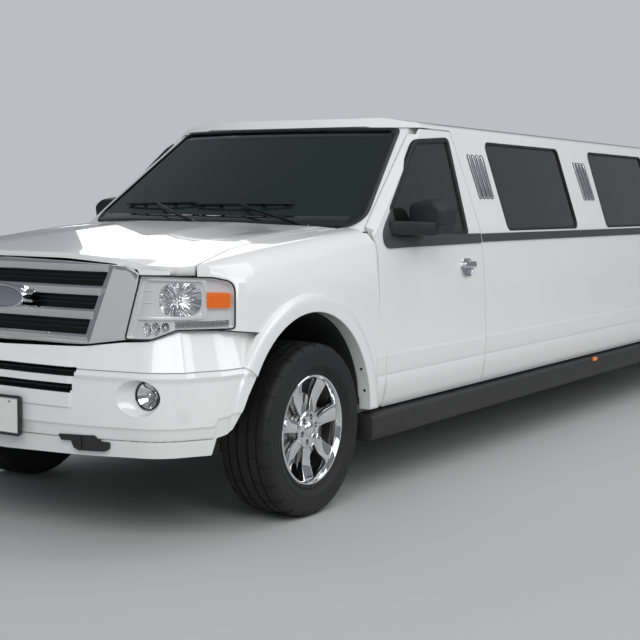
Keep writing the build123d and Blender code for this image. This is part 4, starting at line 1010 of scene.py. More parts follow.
@dataclass
class Bodywork:
    """Painted panels: smooth copies of the frame's panels."""

    hood_low: float = 1.1495
    crisp: float = 28.0
    fender_crisp: float = 46.0
    panels: tuple[tuple[str, str], ...] = (
        ("body_side_left", "root"), ("body_side_right", "root"), ("roof", "root"), ("front_fenders", "root"),
        ("hood", "hood"), ("liftgate", "liftgate"), ("bumper_rear", "root"),
        ("door_front_left", "door_front_left"), ("door_front_right", "door_front_right"),
        ("door_rear_left", "door_rear_left"), ("door_rear_right", "door_rear_right"),
    )
    panes: tuple[tuple[str, str, Slot, Finish], ...] = (
        ("windshield", "root", Slot.SCREEN_GLASS, SCREEN_GLASS), ("side_glass", "root", Slot.DARK_GLASS, DARK_GLASS),
        ("glass_front_left", "door_front_left", Slot.SCREEN_GLASS, TINTED_GLASS),
        ("glass_front_right", "door_front_right", Slot.SCREEN_GLASS, TINTED_GLASS),
        ("glass_rear_left", "door_rear_left", Slot.DARK_GLASS, DARK_GLASS),
        ("glass_rear_right", "door_rear_right", Slot.DARK_GLASS, DARK_GLASS),
        ("liftgate_glass", "liftgate", Slot.DARK_GLASS, DARK_GLASS),
    )

    def build(self) -> None:
        """Copy and paint every panel."""
        for node, body in self.panels:
            angle = self.fender_crisp if node == "front_fenders" else self.crisp
            piece = Bench.merged_copy(node, f"{node}_skin", angle)
            if node == "hood":
                self.trim_hood(piece)
            mount(piece, body, Slot.PAINT, PAINT, (node,))
        for side in Side:
            mount(self.hood_corner(side), "hood", Slot.PAINT, PAINT)
        for node, body, slot, finish in self.panes:
            mount(Bench.merged_copy(node, f"{node}_pane"), body, slot, finish, (node,))

    def hood_corner(self, side: Side) -> Piece:
        """The hood's turned-down edge between the grille's corner and the lamp's top."""
        rows = [(side.value * NOSE.along_at_x(x), z, 0.003) for x, z in (
            (0.719, 1.1525), (0.826, 1.1525), (0.826, 1.168), (0.706, 1.176))]
        piece = Bench.plate(f"hood_corner_{side.word}", rounded(rows, 3), -0.02, 0.0004)
        Bench.sliced_evenly(piece, 0, 0.02)
        return Bench.smooth(Bench.carry(piece, on_nose(NOSE)), 40)

    def trim_hood(self, piece: Piece) -> None:
        """Raise the hood's lowest corners to the line of the lamps' tops."""
        with Bench.editing(piece):
            bpy.ops.mesh.bisect(plane_co=(0.0, 0.0, self.hood_low), plane_no=(0.0, 0.0, 1.0), use_fill=True,
                                clear_inner=True)


def ellipse(wide: float, tall: float, u: float = 0.0, v: float = 0.0, count: int = 40) -> list[Corner]:
    """Corners of an ellipse as an outline.

    Args:
        wide: Half its width.
        tall: Half its height.
        u: Middle, across.
        v: Middle, up.
        count: Number of corners.

    Returns:
        The outline's corners.
    """
    return [(u + wide * cos(2 * pi * i / count), v + tall * sin(2 * pi * i / count), 0.0) for i in range(count)]


def mirrored_rows(rows: Sequence[Corner]) -> list[Corner]:
    """Right-hand outline corners, repeated in mirror image to close the left."""
    twin = [(-u, v, radius) for u, v, radius in reversed(rows) if u > 1e-6]
    return list(rows) + twin


def eased(value: float, low: float, high: float) -> float:
    """Smooth rise from 0 at low to 1 at high."""
    share = min(max((value - low) / (high - low), 0.0), 1.0)
    return share * share * (3 - 2 * share)


def stepped(value: float, rows: Sequence[Pair]) -> float:
    """Value of a line through rows of (place, value).

    Args:
        value: Where to read the line.
        rows: Its points in order.

    Returns:
        The line's value there.
    """
    if value <= rows[0][0]:
        return rows[0][1]
    for (low, before), (high, after) in zip(rows, rows[1:]):
        if value <= high:
            return before + (after - before) * (value - low) / (high - low)
    return rows[-1][1]


@dataclass
class Grille:
    """Bright grille with three dark openings, slats and a bare oval badge."""

    face: float = 0.014
    depth: float = 0.055
    top: float = 1.206
    openings: tuple[tuple[float, float, float, float], ...] = (
        (1.160, 1.102, 0.574, 0.550), (1.061, 1.004, 0.527, 0.508), (0.960, 0.897, 0.485, 0.466))
    badge: tuple[float, float, float] = (0.129, 0.055, 1.039)
    ridge: tuple[float, float, float, float] = (0.490, 0.858, 0.615, 1.190)
    ridge_out: float = 0.010
    ridge_fades: float = 0.030
    cheek_slope: float = 0.34
    bars: tuple[Pair, ...] = (
        (0.840, -0.018), (0.886, 0.006), (0.897, -0.004), (0.960, -0.010), (0.994, 0.006), (1.004, -0.004),
        (1.061, -0.010), (1.092, 0.006), (1.102, -0.004), (1.160, -0.010), (1.190, 0.005), (1.206, -0.010))

    def build(self) -> None:
        """Build the surround, the dark back, the slats and the badge."""
        mount(self.surround(), "root", Slot.CHROME, CHROME, ("grille",))
        mount(self.back(), "root", Slot.BLACK_PLASTIC, BLACK_PLASTIC)
        self.oval()

    def rows(self) -> list[Corner]:
        """Outline of the whole grille."""
        along = NOSE.along_at_x
        half = [(0.0, 0.840, 0.0), (along(0.45), 0.854, 0.3), (along(0.645), 0.880, 0.012),
                (along(0.716), 1.150, 0.022), (along(0.642), 1.188, 0.05), (along(0.35), 1.2, 0.6),
                (0.0, self.top, 0.0)]
        return mirrored_rows(half)

    def slot_rows(self, number: int) -> list[Corner]:
        """Outline of one opening."""
        high, low, wide_top, wide_low = self.openings[number]
        reach_low, reach_top = NOSE.along_at_x(wide_low), NOSE.along_at_x(wide_top)
        return [(reach_low, low, 0.004), (reach_top, high, 0.004), (-reach_top, high, 0.004), (-reach_low, low, 0.004)]

    def surround(self) -> Piece:
        """The chrome plate with its three openings, their lips slanted."""
        plate = Bench.plate("grille_surround", rounded(self.rows(), 5), -self.depth, 0.0)
        for number in range(3):
            cutter = Bench.plate("opening_cutter", rounded(self.slot_rows(number), 2), -0.1, 0.1)
            Bench.cut(plate, cutter)
        Bench.bevel(plate, 0.005, 2, 40)
        Bench.sliced_evenly(plate, 0, 0.035)
        Bench.slices(plate, 1, [z for z, _ in self.bars])
        foot, head = self.ridge_ends()
        for sign in (1, -1):
            for shift in (0.0, -self.ridge_fades):
                with Bench.editing(plate):
                    bpy.ops.mesh.bisect(plane_co=(sign * (foot.x + shift), foot.y, 0.0),
                                        plane_no=(head.y - foot.y, -sign * (head.x - foot.x), 0.0))
        for vertex in plate.data.vertices:
            if vertex.co.z > -0.02:
                vertex.co.z += self.relief(vertex.co.x, vertex.co.y)
        Bench.carry(plate, on_nose(NOSE))
        for vertex in plate.data.vertices:
            vertex.co.y -= self.face
        return Bench.smooth(plate, 28)

    def ridge_ends(self) -> tuple[Vector, Vector]:
        """Lower and upper end of the cheek's ridge in the nose's own measures."""
        x_low, z_low, x_high, z_high = self.ridge
        return Vector((NOSE.along_at_x(x_low), z_low)), Vector((NOSE.along_at_x(x_high), z_high))

    def relief(self, along: float, z: float) -> float:
        """How far the bright face stands out: bowed bars, then a ridge and a cheek that falls away.

        Args:
            along: Distance along the nose's plan line.
            z: Height.

        Returns:
            The offset outwards.
        """
        foot, head = self.ridge_ends()
        past = abs(along) - (foot.x + (head.x - foot.x) * (z - foot.y) / (head.y - foot.y))
        if past >= 0:
            return self.ridge_out - self.cheek_slope * past
        share = eased(-past, 0.0, self.ridge_fades)
        return self.ridge_out * (1 - share) + stepped(z, self.bars) * share

    def back(self) -> Piece:
        """The dark plate behind the openings with one thin slat in each."""
        pieces = [Bench.plate("grille_back", rounded(offset(self.rows(), -0.03), 3), -0.075, -0.058)]
        for number in range(3):
            high, low, wide_top, wide_low = self.openings[number]
            reach = NOSE.along_at_x((wide_top + wide_low) / 2) - 0.004
            for share in (0.33, 0.66):
                middle = low + (high - low) * share
                slat = [(-reach, middle - 0.003, 0.0), (reach, middle - 0.003, 0.0), (reach, middle + 0.003, 0.0),
                        (-reach, middle + 0.003, 0.0)]
                pieces.append(Bench.plate("slat", rounded(slat), -0.06, -0.045))
        piece = Bench.join("grille_back", pieces)
        Bench.sliced_evenly(piece, 0, 0.05)
        return Bench.smooth(Bench.carry(piece, on_nose(NOSE)))

    def oval(self) -> None:
        """The bare badge: a chrome ring and wings round a domed silver-grey face."""
        wide, tall, middle = self.badge
        ring = Bench.ring("badge_ring", ellipse(wide, tall, 0.0, middle), -0.010, 0.0, -0.03, 0.030, 1)
        Bench.bevel(ring, 0.004, 3)
        face = Bench.plate("badge_face", rounded(ellipse(wide - 0.008, tall - 0.008, 0.0, middle)), -0.03, 0.022)
        Bench.bevel(face, 0.006, 3)
        wings = []
        for sign in (1, -1):
            for base, rise in ((middle + 0.020, 1), (middle - 0.020, -1)):
                rows = [(sign * 0.095, base, 0.002), (sign * 0.172, base + rise * 0.002, 0.004),
                        (sign * 0.172, base - rise * 0.008, 0.004), (sign * 0.095, base - rise * 0.014, 0.002)]
                wings.append(Bench.plate("wing", rounded(rows), -0.03, 0.016))
        wing = Bench.join("badge_wings", wings)
        for piece, finish in ((ring, CHROME), (face, BADGE_GREY), (wing, CHROME)):
            Bench.sliced_evenly(piece, 0, 0.04)
            Bench.smooth(Bench.carry(piece, on_nose(NOSE)))
            mount(piece, "root", Slot.CHROME, finish)


@dataclass
class Headlamps:
    """Wrapped lamps: clear lens, dark rim, bowls in a pale inner panel, amber marker."""

    top: float = 1.150
    bowl_x: Pair = (0.790, 0.906)
    bowl_z: Pair = (0.978, 1.120)
    squareness: float = 2.9
    scallops: tuple[tuple[float, float, float, float], ...] = (
        (0.741, 0.926, 0.021, 0.031), (0.777, 0.928, 0.021, 0.030), (0.812, 0.934, 0.020, 0.024))

    def build(self) -> None:
        """Build the left lamp and its mirror image."""
        self.make_room()
        parts = [(self.lens(), Slot.LAMP_GLASS, LENS), (self.housing(), Slot.BLACK_PLASTIC, GLOSS_BLACK),
                 (self.panel(), Slot.LAMP_GLASS, LAMP_BODY), (self.bowls(), Slot.CHROME, REFLECTOR),
                 (self.bulbs(), Slot.CHROME, CHROME), (self.amber(), Slot.LAMP_GLASS, AMBER),
                 (self.ribs(), Slot.GREY_PLASTIC, SATIN_SILVER)]
        for number, (piece, slot, finish) in enumerate(parts):
            mount_both(piece, slot, finish, nodes=("headlamps",) if number == 0 else ())

    def rows(self, grow: float = 0.0) -> list[Corner]:
        """Outline of the lamp in the nose's own measures."""
        x, s = NOSE.along_at_x, NOSE.along_at_s
        outline = [(x(0.648), 0.884, 0.012), (x(0.765), 0.886, 0.06), (x(0.845), 0.925, 0.06),
                   (s(-0.617), 0.922, 0.015), (s(-0.617), 1.118, 0.055), (s(-0.715), 1.140, 0.06),
                   (x(0.80), self.top, 0.1), (x(0.722), self.top, 0.012)]
        return offset(outline, grow) if grow else outline

    def wrapped(self, piece: Piece, pitch: float = 0.02, angle: float = 35.0) -> Piece:
        """Divide a flat-made piece and wrap it round the nose."""
        Bench.sliced_evenly(piece, 0, pitch)
        return Bench.smooth(Bench.carry(piece, on_nose(NOSE)), angle)

    def lens(self) -> Piece:
        """The clear outer lens."""
        plate = Bench.plate("headlamp_lens", rounded(offset(self.rows(), -0.003)), 0.000, 0.0045)
        Bench.bevel(plate, 0.002, 2)
        return self.wrapped(plate, 0.012)

    def housing(self) -> Piece:
        """The thin dark rim round the lens and the back of the bucket."""
        rim = Bench.ring("headlamp_bucket", self.rows(), -0.0035, 0.0025, -0.080, 0.0035)
        back = Bench.plate("bucket_back", rounded(self.rows(-0.002)), -0.104, -0.078)
        return self.wrapped(Bench.join("headlamp_bucket", [rim, back]))

    def bowl_shape(self) -> tuple[float, float, float, float]:
        """Middle and half sizes of the main bowl in the nose's own measures."""
        low, high = (NOSE.along_at_x(x) for x in self.bowl_x)
        return (low + high) / 2, sum(self.bowl_z) / 2, (high - low) / 2, (self.bowl_z[1] - self.bowl_z[0]) / 2

    def squarish(self, count: int = 48) -> list[Corner]:
        """Outline of the main bowl: an oval drawn towards a rounded square."""
        u, v, wide, tall = self.bowl_shape()
        rows = []
        for i in range(count):
            c, n = cos(2 * pi * i / count), sin(2 * pi * i / count)
            reach = (abs(c) ** self.squareness + abs(n) ** self.squareness) ** (-1 / self.squareness)
            rows.append((u + wide * reach * c, v + tall * reach * n, 0.0))
        return rows

    def panel(self) -> Piece:
        """The pale inner panel with a hole for each bowl, its C-shaped frame and its steps."""
        x, s = NOSE.along_at_x, NOSE.along_at_s
        plate = Bench.plate("headlamp_panel", rounded(self.rows(-0.006)), -0.040, -0.022)
        Bench.cut(plate, Bench.plate("hole", rounded(self.squarish()), -0.2, 0.2))
        for x_middle, z, wide, tall in self.scallops:
            Bench.cut(plate, Bench.plate("hole", rounded(ellipse(wide, tall, x(x_middle), z)), -0.2, 0.2))
        Bench.bevel(plate, 0.003, 2, 50)
        wall = Bench.ring("inner_wall", self.rows(), -0.0065, -0.0035, -0.040, -0.001)
        frame = Bench.plate("c_frame", rounded([
            (x(0.748), 1.144, 0.004), (s(-0.738), 1.136, 0.035), (s(-0.722), 1.060, 0.1), (s(-0.742), 0.966, 0.03),
            (x(0.704), 0.966, 0.004), (x(0.704), 0.978, 0.004), (s(-0.758), 0.980, 0.02), (s(-0.737), 1.060, 0.1),
            (s(-0.752), 1.122, 0.022), (x(0.748), 1.130, 0.004)]), -0.03, -0.009)
        Bench.bevel(frame, 0.003, 2, 50)
        steps = [Bench.block("step", (x(0.722), z, -0.03), (x(0.770), z + 0.003, -0.018), 0.001, 1)
                 for z in (1.035, 1.085)]
        return self.wrapped(Bench.join("headlamp_panel", [plate, wall, frame, *steps]))

    def bowls(self) -> Piece:
        """The bright fluted reflectors behind the panel's holes."""
        u0, v0, wide, tall = self.bowl_shape()
        shapes = [(u0, v0, wide, tall, 0.055, 30, self.squareness)]
        shapes += [(NOSE.along_at_x(x), z, a, b, 0.030, 12, 2.0) for x, z, a, b in self.scallops]
        pieces = []
        for middle, z, across, high, depth, flutes, power in shapes:
            profile = [(0.10, -depth), (0.30, -depth * 0.95), (0.5, -depth * 0.82), (0.7, -depth * 0.58),
                       (0.87, -depth * 0.28), (1.0, 0.0)]
            bowl = Bench.lathe("bowl", profile, 72, closed=False)
            for vertex in bowl.data.vertices:
                u, v, w = vertex.co
                radius = sqrt(u * u + v * v)
                c, n = u / radius, v / radius
                reach = (abs(c) ** power + abs(n) ** power) ** (-1 / power)
                swell = 0.0045 * abs(sin(atan2(v, u) * flutes / 2)) * eased(radius, 0.15, 0.4)
                vertex.co = (middle + radius * reach * c * across, z + radius * reach * n * high, w - 0.024 + swell)
            pieces.append(Bench.modify(bowl, "SOLIDIFY", thickness=0.002, offset=-1.0))
        piece = Bench.join("headlamp_bowls", pieces)
        return Bench.smooth(Bench.carry(piece, on_nose(NOSE)), 40)

    def bulbs(self) -> Piece:
        """The shielded bulbs in the bowls."""
        pieces = []
        u0, v0, _, _ = self.bowl_shape()
        places = [(u0, v0 + 0.006, 0.016), *((NOSE.along_at_x(x), z, 0.007) for x, z, _, _ in self.scallops)]
        for middle, z, size in places:
            profile = [(0.0, 0.012), (size * 0.6, 0.008), (size, -0.004), (size * 0.9, -0.02), (size * 0.5, -0.03),
                       (0.0, -0.032)]
            bulb = Bench.lathe("bulb", profile, 24, closed=False)
            for vertex in bulb.data.vertices:
                u, v, w = vertex.co
                vertex.co = (middle + u, z + v, w - 0.038)
            pieces.append(bulb)
        return Bench.smooth(Bench.carry(Bench.join("headlamp_bulbs", pieces), on_nose(NOSE)), 60)

    def amber(self) -> Piece:
        """The amber marker with its prism ribs."""
        s = NOSE.along_at_s
        rows = [(s(-0.738), 1.012, 0.006), (s(-0.634), 1.009, 0.006), (s(-0.634), 1.073, 0.006),
                (s(-0.738), 1.079, 0.006)]
        pieces = [Bench.plate("headlamp_amber", rounded(rows), -0.03, -0.008)]
        count = 10
        for i in range(count):
            u = s(-0.732) + (s(-0.640) - s(-0.732)) * (i + 0.5) / count
            pieces.append(Bench.block("prism", (u - 0.0035, 1.017, -0.010), (u + 0.0035, 1.067, -0.005), 0.002, 1))
        return self.wrapped(Bench.join("headlamp_amber", pieces))

    def ribs(self) -> Piece:
        """The row of upright prisms along the lamp's lower rear."""
        start, end = NOSE.along_at_x(0.842), NOSE.along_at_s(-0.634)
        count = 30
        pieces = []
        for i in range(count):
            u = start + (end - start) * (i + 0.5) / count
            pieces.append(Bench.block("rib", (u - 0.0028, 0.932, -0.03), (u + 0.0028, 0.960, -0.015), 0.002, 1))
        return self.wrapped(Bench.join("headlamp_ribs", pieces))

    def make_room(self) -> None:
        """Open the fenders' skin where the lamps' outline takes its place."""
        fenders = bpy.data.objects["front_fenders_skin"]
        cutter = Bench.plate("lamp_cutter", rounded(offset(self.rows(), 0.002)), -0.09, 0.03)
        Bench.sliced_evenly(cutter, 0, 0.03)
        Bench.carry(cutter, on_nose(NOSE))
        twin = Bench.mirrored(cutter, "lamp_cutter_right")
        Bench.cut(fenders, cutter)
        Bench.cut(fenders, twin)


@dataclass
class FrontBumper:
    """White bumper: one wrapped skin with slots, a crease, a raised panel, lamp bowls and arch ends."""

    columns: int = 380
    slots: tuple[tuple[float, float, float], ...] = ((0.650, 0.689, 0.418), (0.720, 0.760, 0.439))
    fog: Pair = (0.764, 0.655)
    bowl: tuple[float, float, float, float] = (0.631, 0.822, 0.646, 0.079)
    arch: tuple[float, float, float] = (FRONT_ARCH_SHIFT, ARCH_HEIGHT, ARCH_RADIUS)
    crease: float = 0.752
    bowl_reach: float = 0.9
    bowl_share: float = 0.62
    levels: tuple[float, ...] = (
        0.372, 0.380, 0.390, 0.400, 0.412, 0.424, 0.434, 0.443, 0.447, 0.4505, 0.454, 0.458, 0.470, 0.482, 0.496, 0.504,
        0.512, 0.520, 0.530, 0.542, 0.556, 0.570, 0.582, 0.588, 0.606, 0.618, 0.630, 0.640, 0.650, 0.660, 0.670, 0.680,
        0.689, 0.698, 0.708, 0.714, 0.720, 0.730, 0.740, 0.7485, 0.752, 0.7555, 0.760, 0.768, 0.778, 0.790, 0.802,
        0.814, 0.826, 0.834)

    def build(self) -> None:
        """Build the skin, what fills its slots, the fog lamps, the hook covers and the plate."""
        mount(self.skin(), "root", Slot.PAINT, PAINT, ("bumper_front",))
        mount(self.slot_back(), "root", Slot.BLACK_PLASTIC, BLACK_PLASTIC)
        self.fog_lamps()
        self.hook_covers()
        self.plate()

    def top_line(self, along: float) -> float:
        """Height of the bumper's upper edge at a distance along its plan line."""
        x, s = BUMPER.along_at_x, BUMPER.along_at_s
        rows = ((0.0, 0.834), (x(0.45), 0.848), (x(0.65), 0.873), (x(0.76), 0.880), (x(0.80), 0.893),
                (x(0.84), 0.916), (x(0.875), 0.925), (s(-0.70), 0.918), (s(-0.634), 0.911), (s(-0.30), 0.876))
        return stepped(abs(along), rows) - 0.003

    def low_line(self, along: float) -> float:
        """Height of the bumper's lower edge at a distance along its plan line."""
        x, s = BUMPER.along_at_x, BUMPER.along_at_s
        rows = ((0.0, 0.372), (x(0.387), 0.384), (x(0.71), 0.393), (x(0.904), 0.396), (s(-0.737), 0.394),
                (s(-0.722), 0.468), (s(-0.665), 0.480), (s(-0.645), 0.500), (s(-0.3), 0.51))
        return stepped(abs(along), rows)

    def level_height(self, level: float, along: float) -> float:
        """Height of one of the skin's level lines at a distance along the plan line."""
        low, top = self.low_line(along), self.top_line(along)
        if level < 0.62:
            return 0.62 - (0.62 - level) * (0.62 - min(low, 0.61)) / (0.62 - 0.372)
        if level > 0.768:
            return 0.768 + (level - 0.768) * (top - 0.768) / (0.834 - 0.768)
        return level

    def arch_end(self, z: float) -> float:
        """Distance along the plan line where the wheel opening cuts the bumper at a height."""
        middle_s, middle_z, radius = self.arch
        if z > 0.70:
            rise = min(z - middle_z, radius * 0.96)
            return BUMPER.along_at_s(middle_s - sqrt(radius ** 2 - rise ** 2))
        return BUMPER.along_at_s(stepped(z, ((0.501, -0.645), (0.527, -0.627), (0.633, -0.560), (0.700, -0.506))))

    def relief(self, along: float, z: float) -> float:
        """How far the skin stands out from the plan line.

        Args:
            along: Distance along the plan line.
            z: Height.

        Returns:
            The offset outwards.
        """
        reach = abs(along)
        spot, _ = BUMPER.at(reach)
        out = -0.034 * max(z - self.crease, 0.0) / 0.094
        past_slots = eased(reach, BUMPER.along_at_x(0.425), BUMPER.along_at_x(0.435))
        out -= 0.010 * past_slots * max(1 - abs(z - self.crease) / 0.0035, 0.0)
        out += 0.006 * past_slots * eased(z, self.crease - 0.045, self.crease - 0.022) * (z < self.crease - 0.003)
        out -= 0.005 * past_slots * (self.crease - 0.022 < z < self.crease - 0.003) * (z - self.crease + 0.022) / 0.019
        corner = BUMPER.along_at_x(0.890)
        out += 0.010 * max(1 - abs(reach - corner) / 0.045, 0.0) * eased(z, 0.53, 0.60)
        fold = self.level_height(0.512, reach)
        out -= min(max(fold - z, 0.0) * 0.45, 0.004) + 0.16 * max(fold - z, 0.0)
        seam = self.level_height(0.4505, reach)
        seam_share = 1 - eased(reach, BUMPER.along_at_s(-0.737), BUMPER.along_at_s(-0.725))
        out -= seam_share * (0.009 * max(1 - abs(z - seam) / 0.0035, 0.0) + 0.005 * (z < seam))
        inside = (1 - eased(reach, BUMPER.along_at_x(0.408), BUMPER.along_at_x(0.416))) * eased(z, 0.582, 0.588)
        out += 0.006 * inside * (1 - eased(z, 0.766, 0.776)) * eased(reach, 0.02, 0.20)
        middle_s, middle_z, radius = self.arch
        from_arch = sqrt((spot.y - middle_s) ** 2 + (z - middle_z) ** 2)
        flank = eased(spot.y, -0.72, -0.62)
        out += flank * (-0.012 * eased(from_arch, radius + 0.070, radius + 0.084) - 0.002)
        return out

    def laid_out(self, share: float, level: float) -> Pair:
        """Place of one of the skin's grid points, laid out flat.

        Args:
            share: From -1 at one end of the skin to 1 at the other.
            level: The level line it lies on, by its height in the middle.

        Returns:
            The distance along the plan line and the height.
        """
        z = level
        reach = abs(share) * self.bowl_reach / self.bowl_share
        for _ in range(4):
            if abs(share) > self.bowl_share:
                rest = (abs(share) - self.bowl_share) / (1 - self.bowl_share)
                reach = self.bowl_reach + rest * (self.arch_end(z) - self.bowl_reach)
            z = self.level_height(level, reach)
        return (reach if share >= 0 else -reach), z

    def in_slot(self, middle: Vector) -> bool:
        """Whether a face of the flat skin lies in one of the slots."""
        for low, high, half in self.slots:
            ends = BUMPER.along_at_x(half) - 0.007 + 0.014 * (middle.y - low) / (high - low)
            if low < middle.y < high and abs(middle.x) < ends:
                return True
        return False

    def skin(self) -> Piece:
        """The painted skin: a grid laid out over the bumper, its slots opened, given a wall."""
        Bench.clear()
        bpy.ops.mesh.primitive_grid_add(x_subdivisions=self.columns, y_subdivisions=len(self.levels) - 1, size=2.0)
        piece = Bench.named("front_bumper_skin")
        for number, vertex in enumerate(piece.data.vertices):
            row, column = divmod(number, self.columns + 1)
            share = column / self.columns * 2 - 1
            vertex.co = (*self.laid_out(share, self.levels[row]), 0.0)
        with Bench.editing(piece, "DESELECT"):
            Bench.pick_faces(piece, lambda middle, _: self.in_slot(middle))
            bpy.ops.mesh.delete(type="FACE")
        for vertex in piece.data.vertices:
            u, z, _ = vertex.co
            spot, out = BUMPER.at(u)
            w = self.relief(u, z)
            vertex.co = (spot.x + out.x * w, station(spot.y + out.y * w), z)
        Bench.settle(piece)
        if piece.data.polygons[0].normal.y >= 0:
            piece.data.flip_normals()
        Bench.modify(piece, "SOLIDIFY", thickness=0.010, offset=-1.0)
        cutter = Bench.plate("bowl_cutter", [row[:2] for row in self.bowl_rows()], -0.08, 0.05)
        Bench.sliced_evenly(cutter, 0, 0.03)
        Bench.carry(cutter, on_nose(BUMPER))
        twin = Bench.mirrored(cutter, "bowl_cutter_right")
        Bench.cut(piece, cutter)
        Bench.cut(piece, twin)
        return Bench.smooth(piece, 24)

    def bowl_rows(self) -> list[Corner]:
        """Oval mouth of the fog lamp's bowl."""
        low, high, z, tall = self.bowl
        low, high = BUMPER.along_at_x(low), BUMPER.along_at_x(high)
        return ellipse((high - low) / 2, tall, (low + high) / 2, z, 56)

    def lamp_place(self) -> Matrix:
        """Place and aim of the left fog lamp."""
        x, z = self.fog
        spot, out = BUMPER.at(BUMPER.along_at_x(x))
        aim = Vector((out.x * 0.25, out.y, 0.0)).normalized()
        centre = Vector((spot.x - out.x * 0.030, station(spot.y - out.y * 0.030), z))
        return Matrix.Translation(centre) @ aim.to_track_quat("Z", "Y").to_matrix().to_4x4()

    def fog_bowl(self) -> Piece:
        """Painted bowl from its oval mouth in the skin to the round lamp."""
        mouth = self.bowl_rows()
        count = len(mouth)
        Bench.clear()
        bpy.ops.mesh.primitive_circle_add(vertices=count, radius=1.0, fill_type="NOTHING")
        piece = Bench.named("fog_bowl")
        rings = 5
        with Bench.editing(piece):
            for _ in range(rings - 1):
                bpy.ops.mesh.extrude_edges_move(TRANSFORM_OT_translate={"value": (0.0, 0.0, 0.1)})
        place, carry = self.lamp_place(), on_nose(BUMPER)
        lamp_ring = [place @ Vector((u, v, -0.004)) for u, v, _ in ellipse(0.060, 0.060, 0.0, 0.0, 96)]
        middle = place.translation
        for number, vertex in enumerate(piece.data.vertices):
            ring, i = divmod(number, count)
            u, v, _ = mouth[i]
            outer = carry(Vector((u, v, self.relief(u, v))))
            way = Vector((outer.x - middle.x, outer.z - middle.z)).normalized()
            inner = max(lamp_ring, key=lambda rim: way.dot(Vector((rim.x - middle.x, rim.z - middle.z)).normalized()))
            share = ring / (rings - 1)
            spot = outer.lerp(inner, share)
            spot.y += 0.012 * sin(pi * share)
            vertex.co = spot
        Bench.settle(piece)
        Bench.modify(piece, "SOLIDIFY", thickness=0.003, offset=0.0)
        return Bench.smooth(piece, 50)

    def slot_back(self) -> Piece:
        """Dark grid behind the slots."""
        reach = BUMPER.along_at_x(0.47)
        rows = [(-reach, 0.63), (reach, 0.63), (reach, 0.78), (-reach, 0.78)]
        pieces = [Bench.plate("bumper_slot_back", rows, -0.075, -0.060)]
        for z in (0.6695, 0.740):
            pieces.append(Bench.block("bar", (-reach + 0.01, z - 0.003, -0.062), (reach - 0.01, z + 0.003, -0.02),
                                      0.001, 1))
        piece = Bench.join("bumper_slot_back", pieces)
        Bench.sliced_evenly(piece, 0, 0.05)
        return Bench.smooth(Bench.carry(piece, on_nose(BUMPER)))

    def fog_lamps(self) -> None:
        """Round lamps: lens with a reflector behind it and a dark ring, set in the bowls."""
        shapes = (
            ("fog_lens", LENS, Slot.LAMP_GLASS, [(0.0, 0.012), (0.02, 0.010), (0.040, 0.006), (0.054, -0.001),
                                                 (0.054, -0.005), (0.0, 0.006)]),
            ("fog_reflector", REFLECTOR, Slot.CHROME, [(0.0, -0.04), (0.02, -0.036), (0.036, -0.024), (0.053, -0.006),
                                                       (0.055, -0.008), (0.038, -0.028), (0.02, -0.040),
                                                       (0.0, -0.045)]),
            ("fog_bulb", CHROME, Slot.CHROME, [(0.0, -0.004), (0.010, -0.007), (0.015, -0.014), (0.012, -0.036),
                                               (0.0, -0.037)]),
            ("fog_ring", GLOSS_BLACK, Slot.BLACK_PLASTIC, [(0.053, -0.010), (0.0535, 0.002), (0.056, 0.004),
                                                           (0.061, 0.001), (0.063, -0.010), (0.060, -0.02),
                                                           (0.053, -0.02)]),
        )
        place = self.lamp_place()
        mount_both(self.fog_bowl(), Slot.PAINT, PAINT)
        for number, (name, finish, slot, profile) in enumerate(shapes):
            piece = Bench.lathe(name, profile, 40)
            piece.data.transform(place)
            Bench.smooth(Bench.settle(piece), 50)
            mount_both(piece, slot, finish, nodes=("fog_lamps",) if number == 0 else ())

    def hook_covers(self) -> None:
        """Dark two-part covers low in the bumper."""
        x = BUMPER.along_at_x
        shapes = ([(x(0.338), 0.470, 0.004), (x(0.356), 0.445, 0.004), (x(0.408), 0.447, 0.006),
                   (x(0.423), 0.418, 0.008), (x(0.449), 0.408, 0.010), (x(0.462), 0.409, 0.002),
                   (x(0.462), 0.475, 0.002)],
                  [(x(0.465), 0.409, 0.002), (x(0.575), 0.413, 0.010), (x(0.593), 0.424, 0.006),
                   (x(0.597), 0.452, 0.006), (x(0.556), 0.454, 0.010), (x(0.526), 0.478, 0.008),
                   (x(0.465), 0.475, 0.002)])
        pieces = []
        for number, rows in enumerate(shapes):
            plate = Bench.plate(f"hook_cover_{number}", rounded(rows), -0.03, 0.007 - 0.002 * number)
            Bench.bevel(plate, 0.002, 2)
            pieces.append(plate)
        piece = Bench.join("hook_cover", pieces)
        Bench.sliced_evenly(piece, 0, 0.04)
        for vertex in piece.data.vertices:
            vertex.co.z += self.relief(vertex.co.x, 0.482)
        mount_both(Bench.smooth(Bench.carry(piece, on_nose(BUMPER))), Slot.BLACK_PLASTIC, BLACK_PLASTIC)

    def plate(self) -> None:
        """Blank plate in its dark frame, with two screws."""
        rows = box(0.152, 0.442, -0.152, 0.618, 0.012)
        face_y = station(-1.058)

        def upright(point: Vector) -> Vector:
            """Stand a flat-made piece up across the car's front."""
            return Vector((point.x, face_y - point.z, point.y))

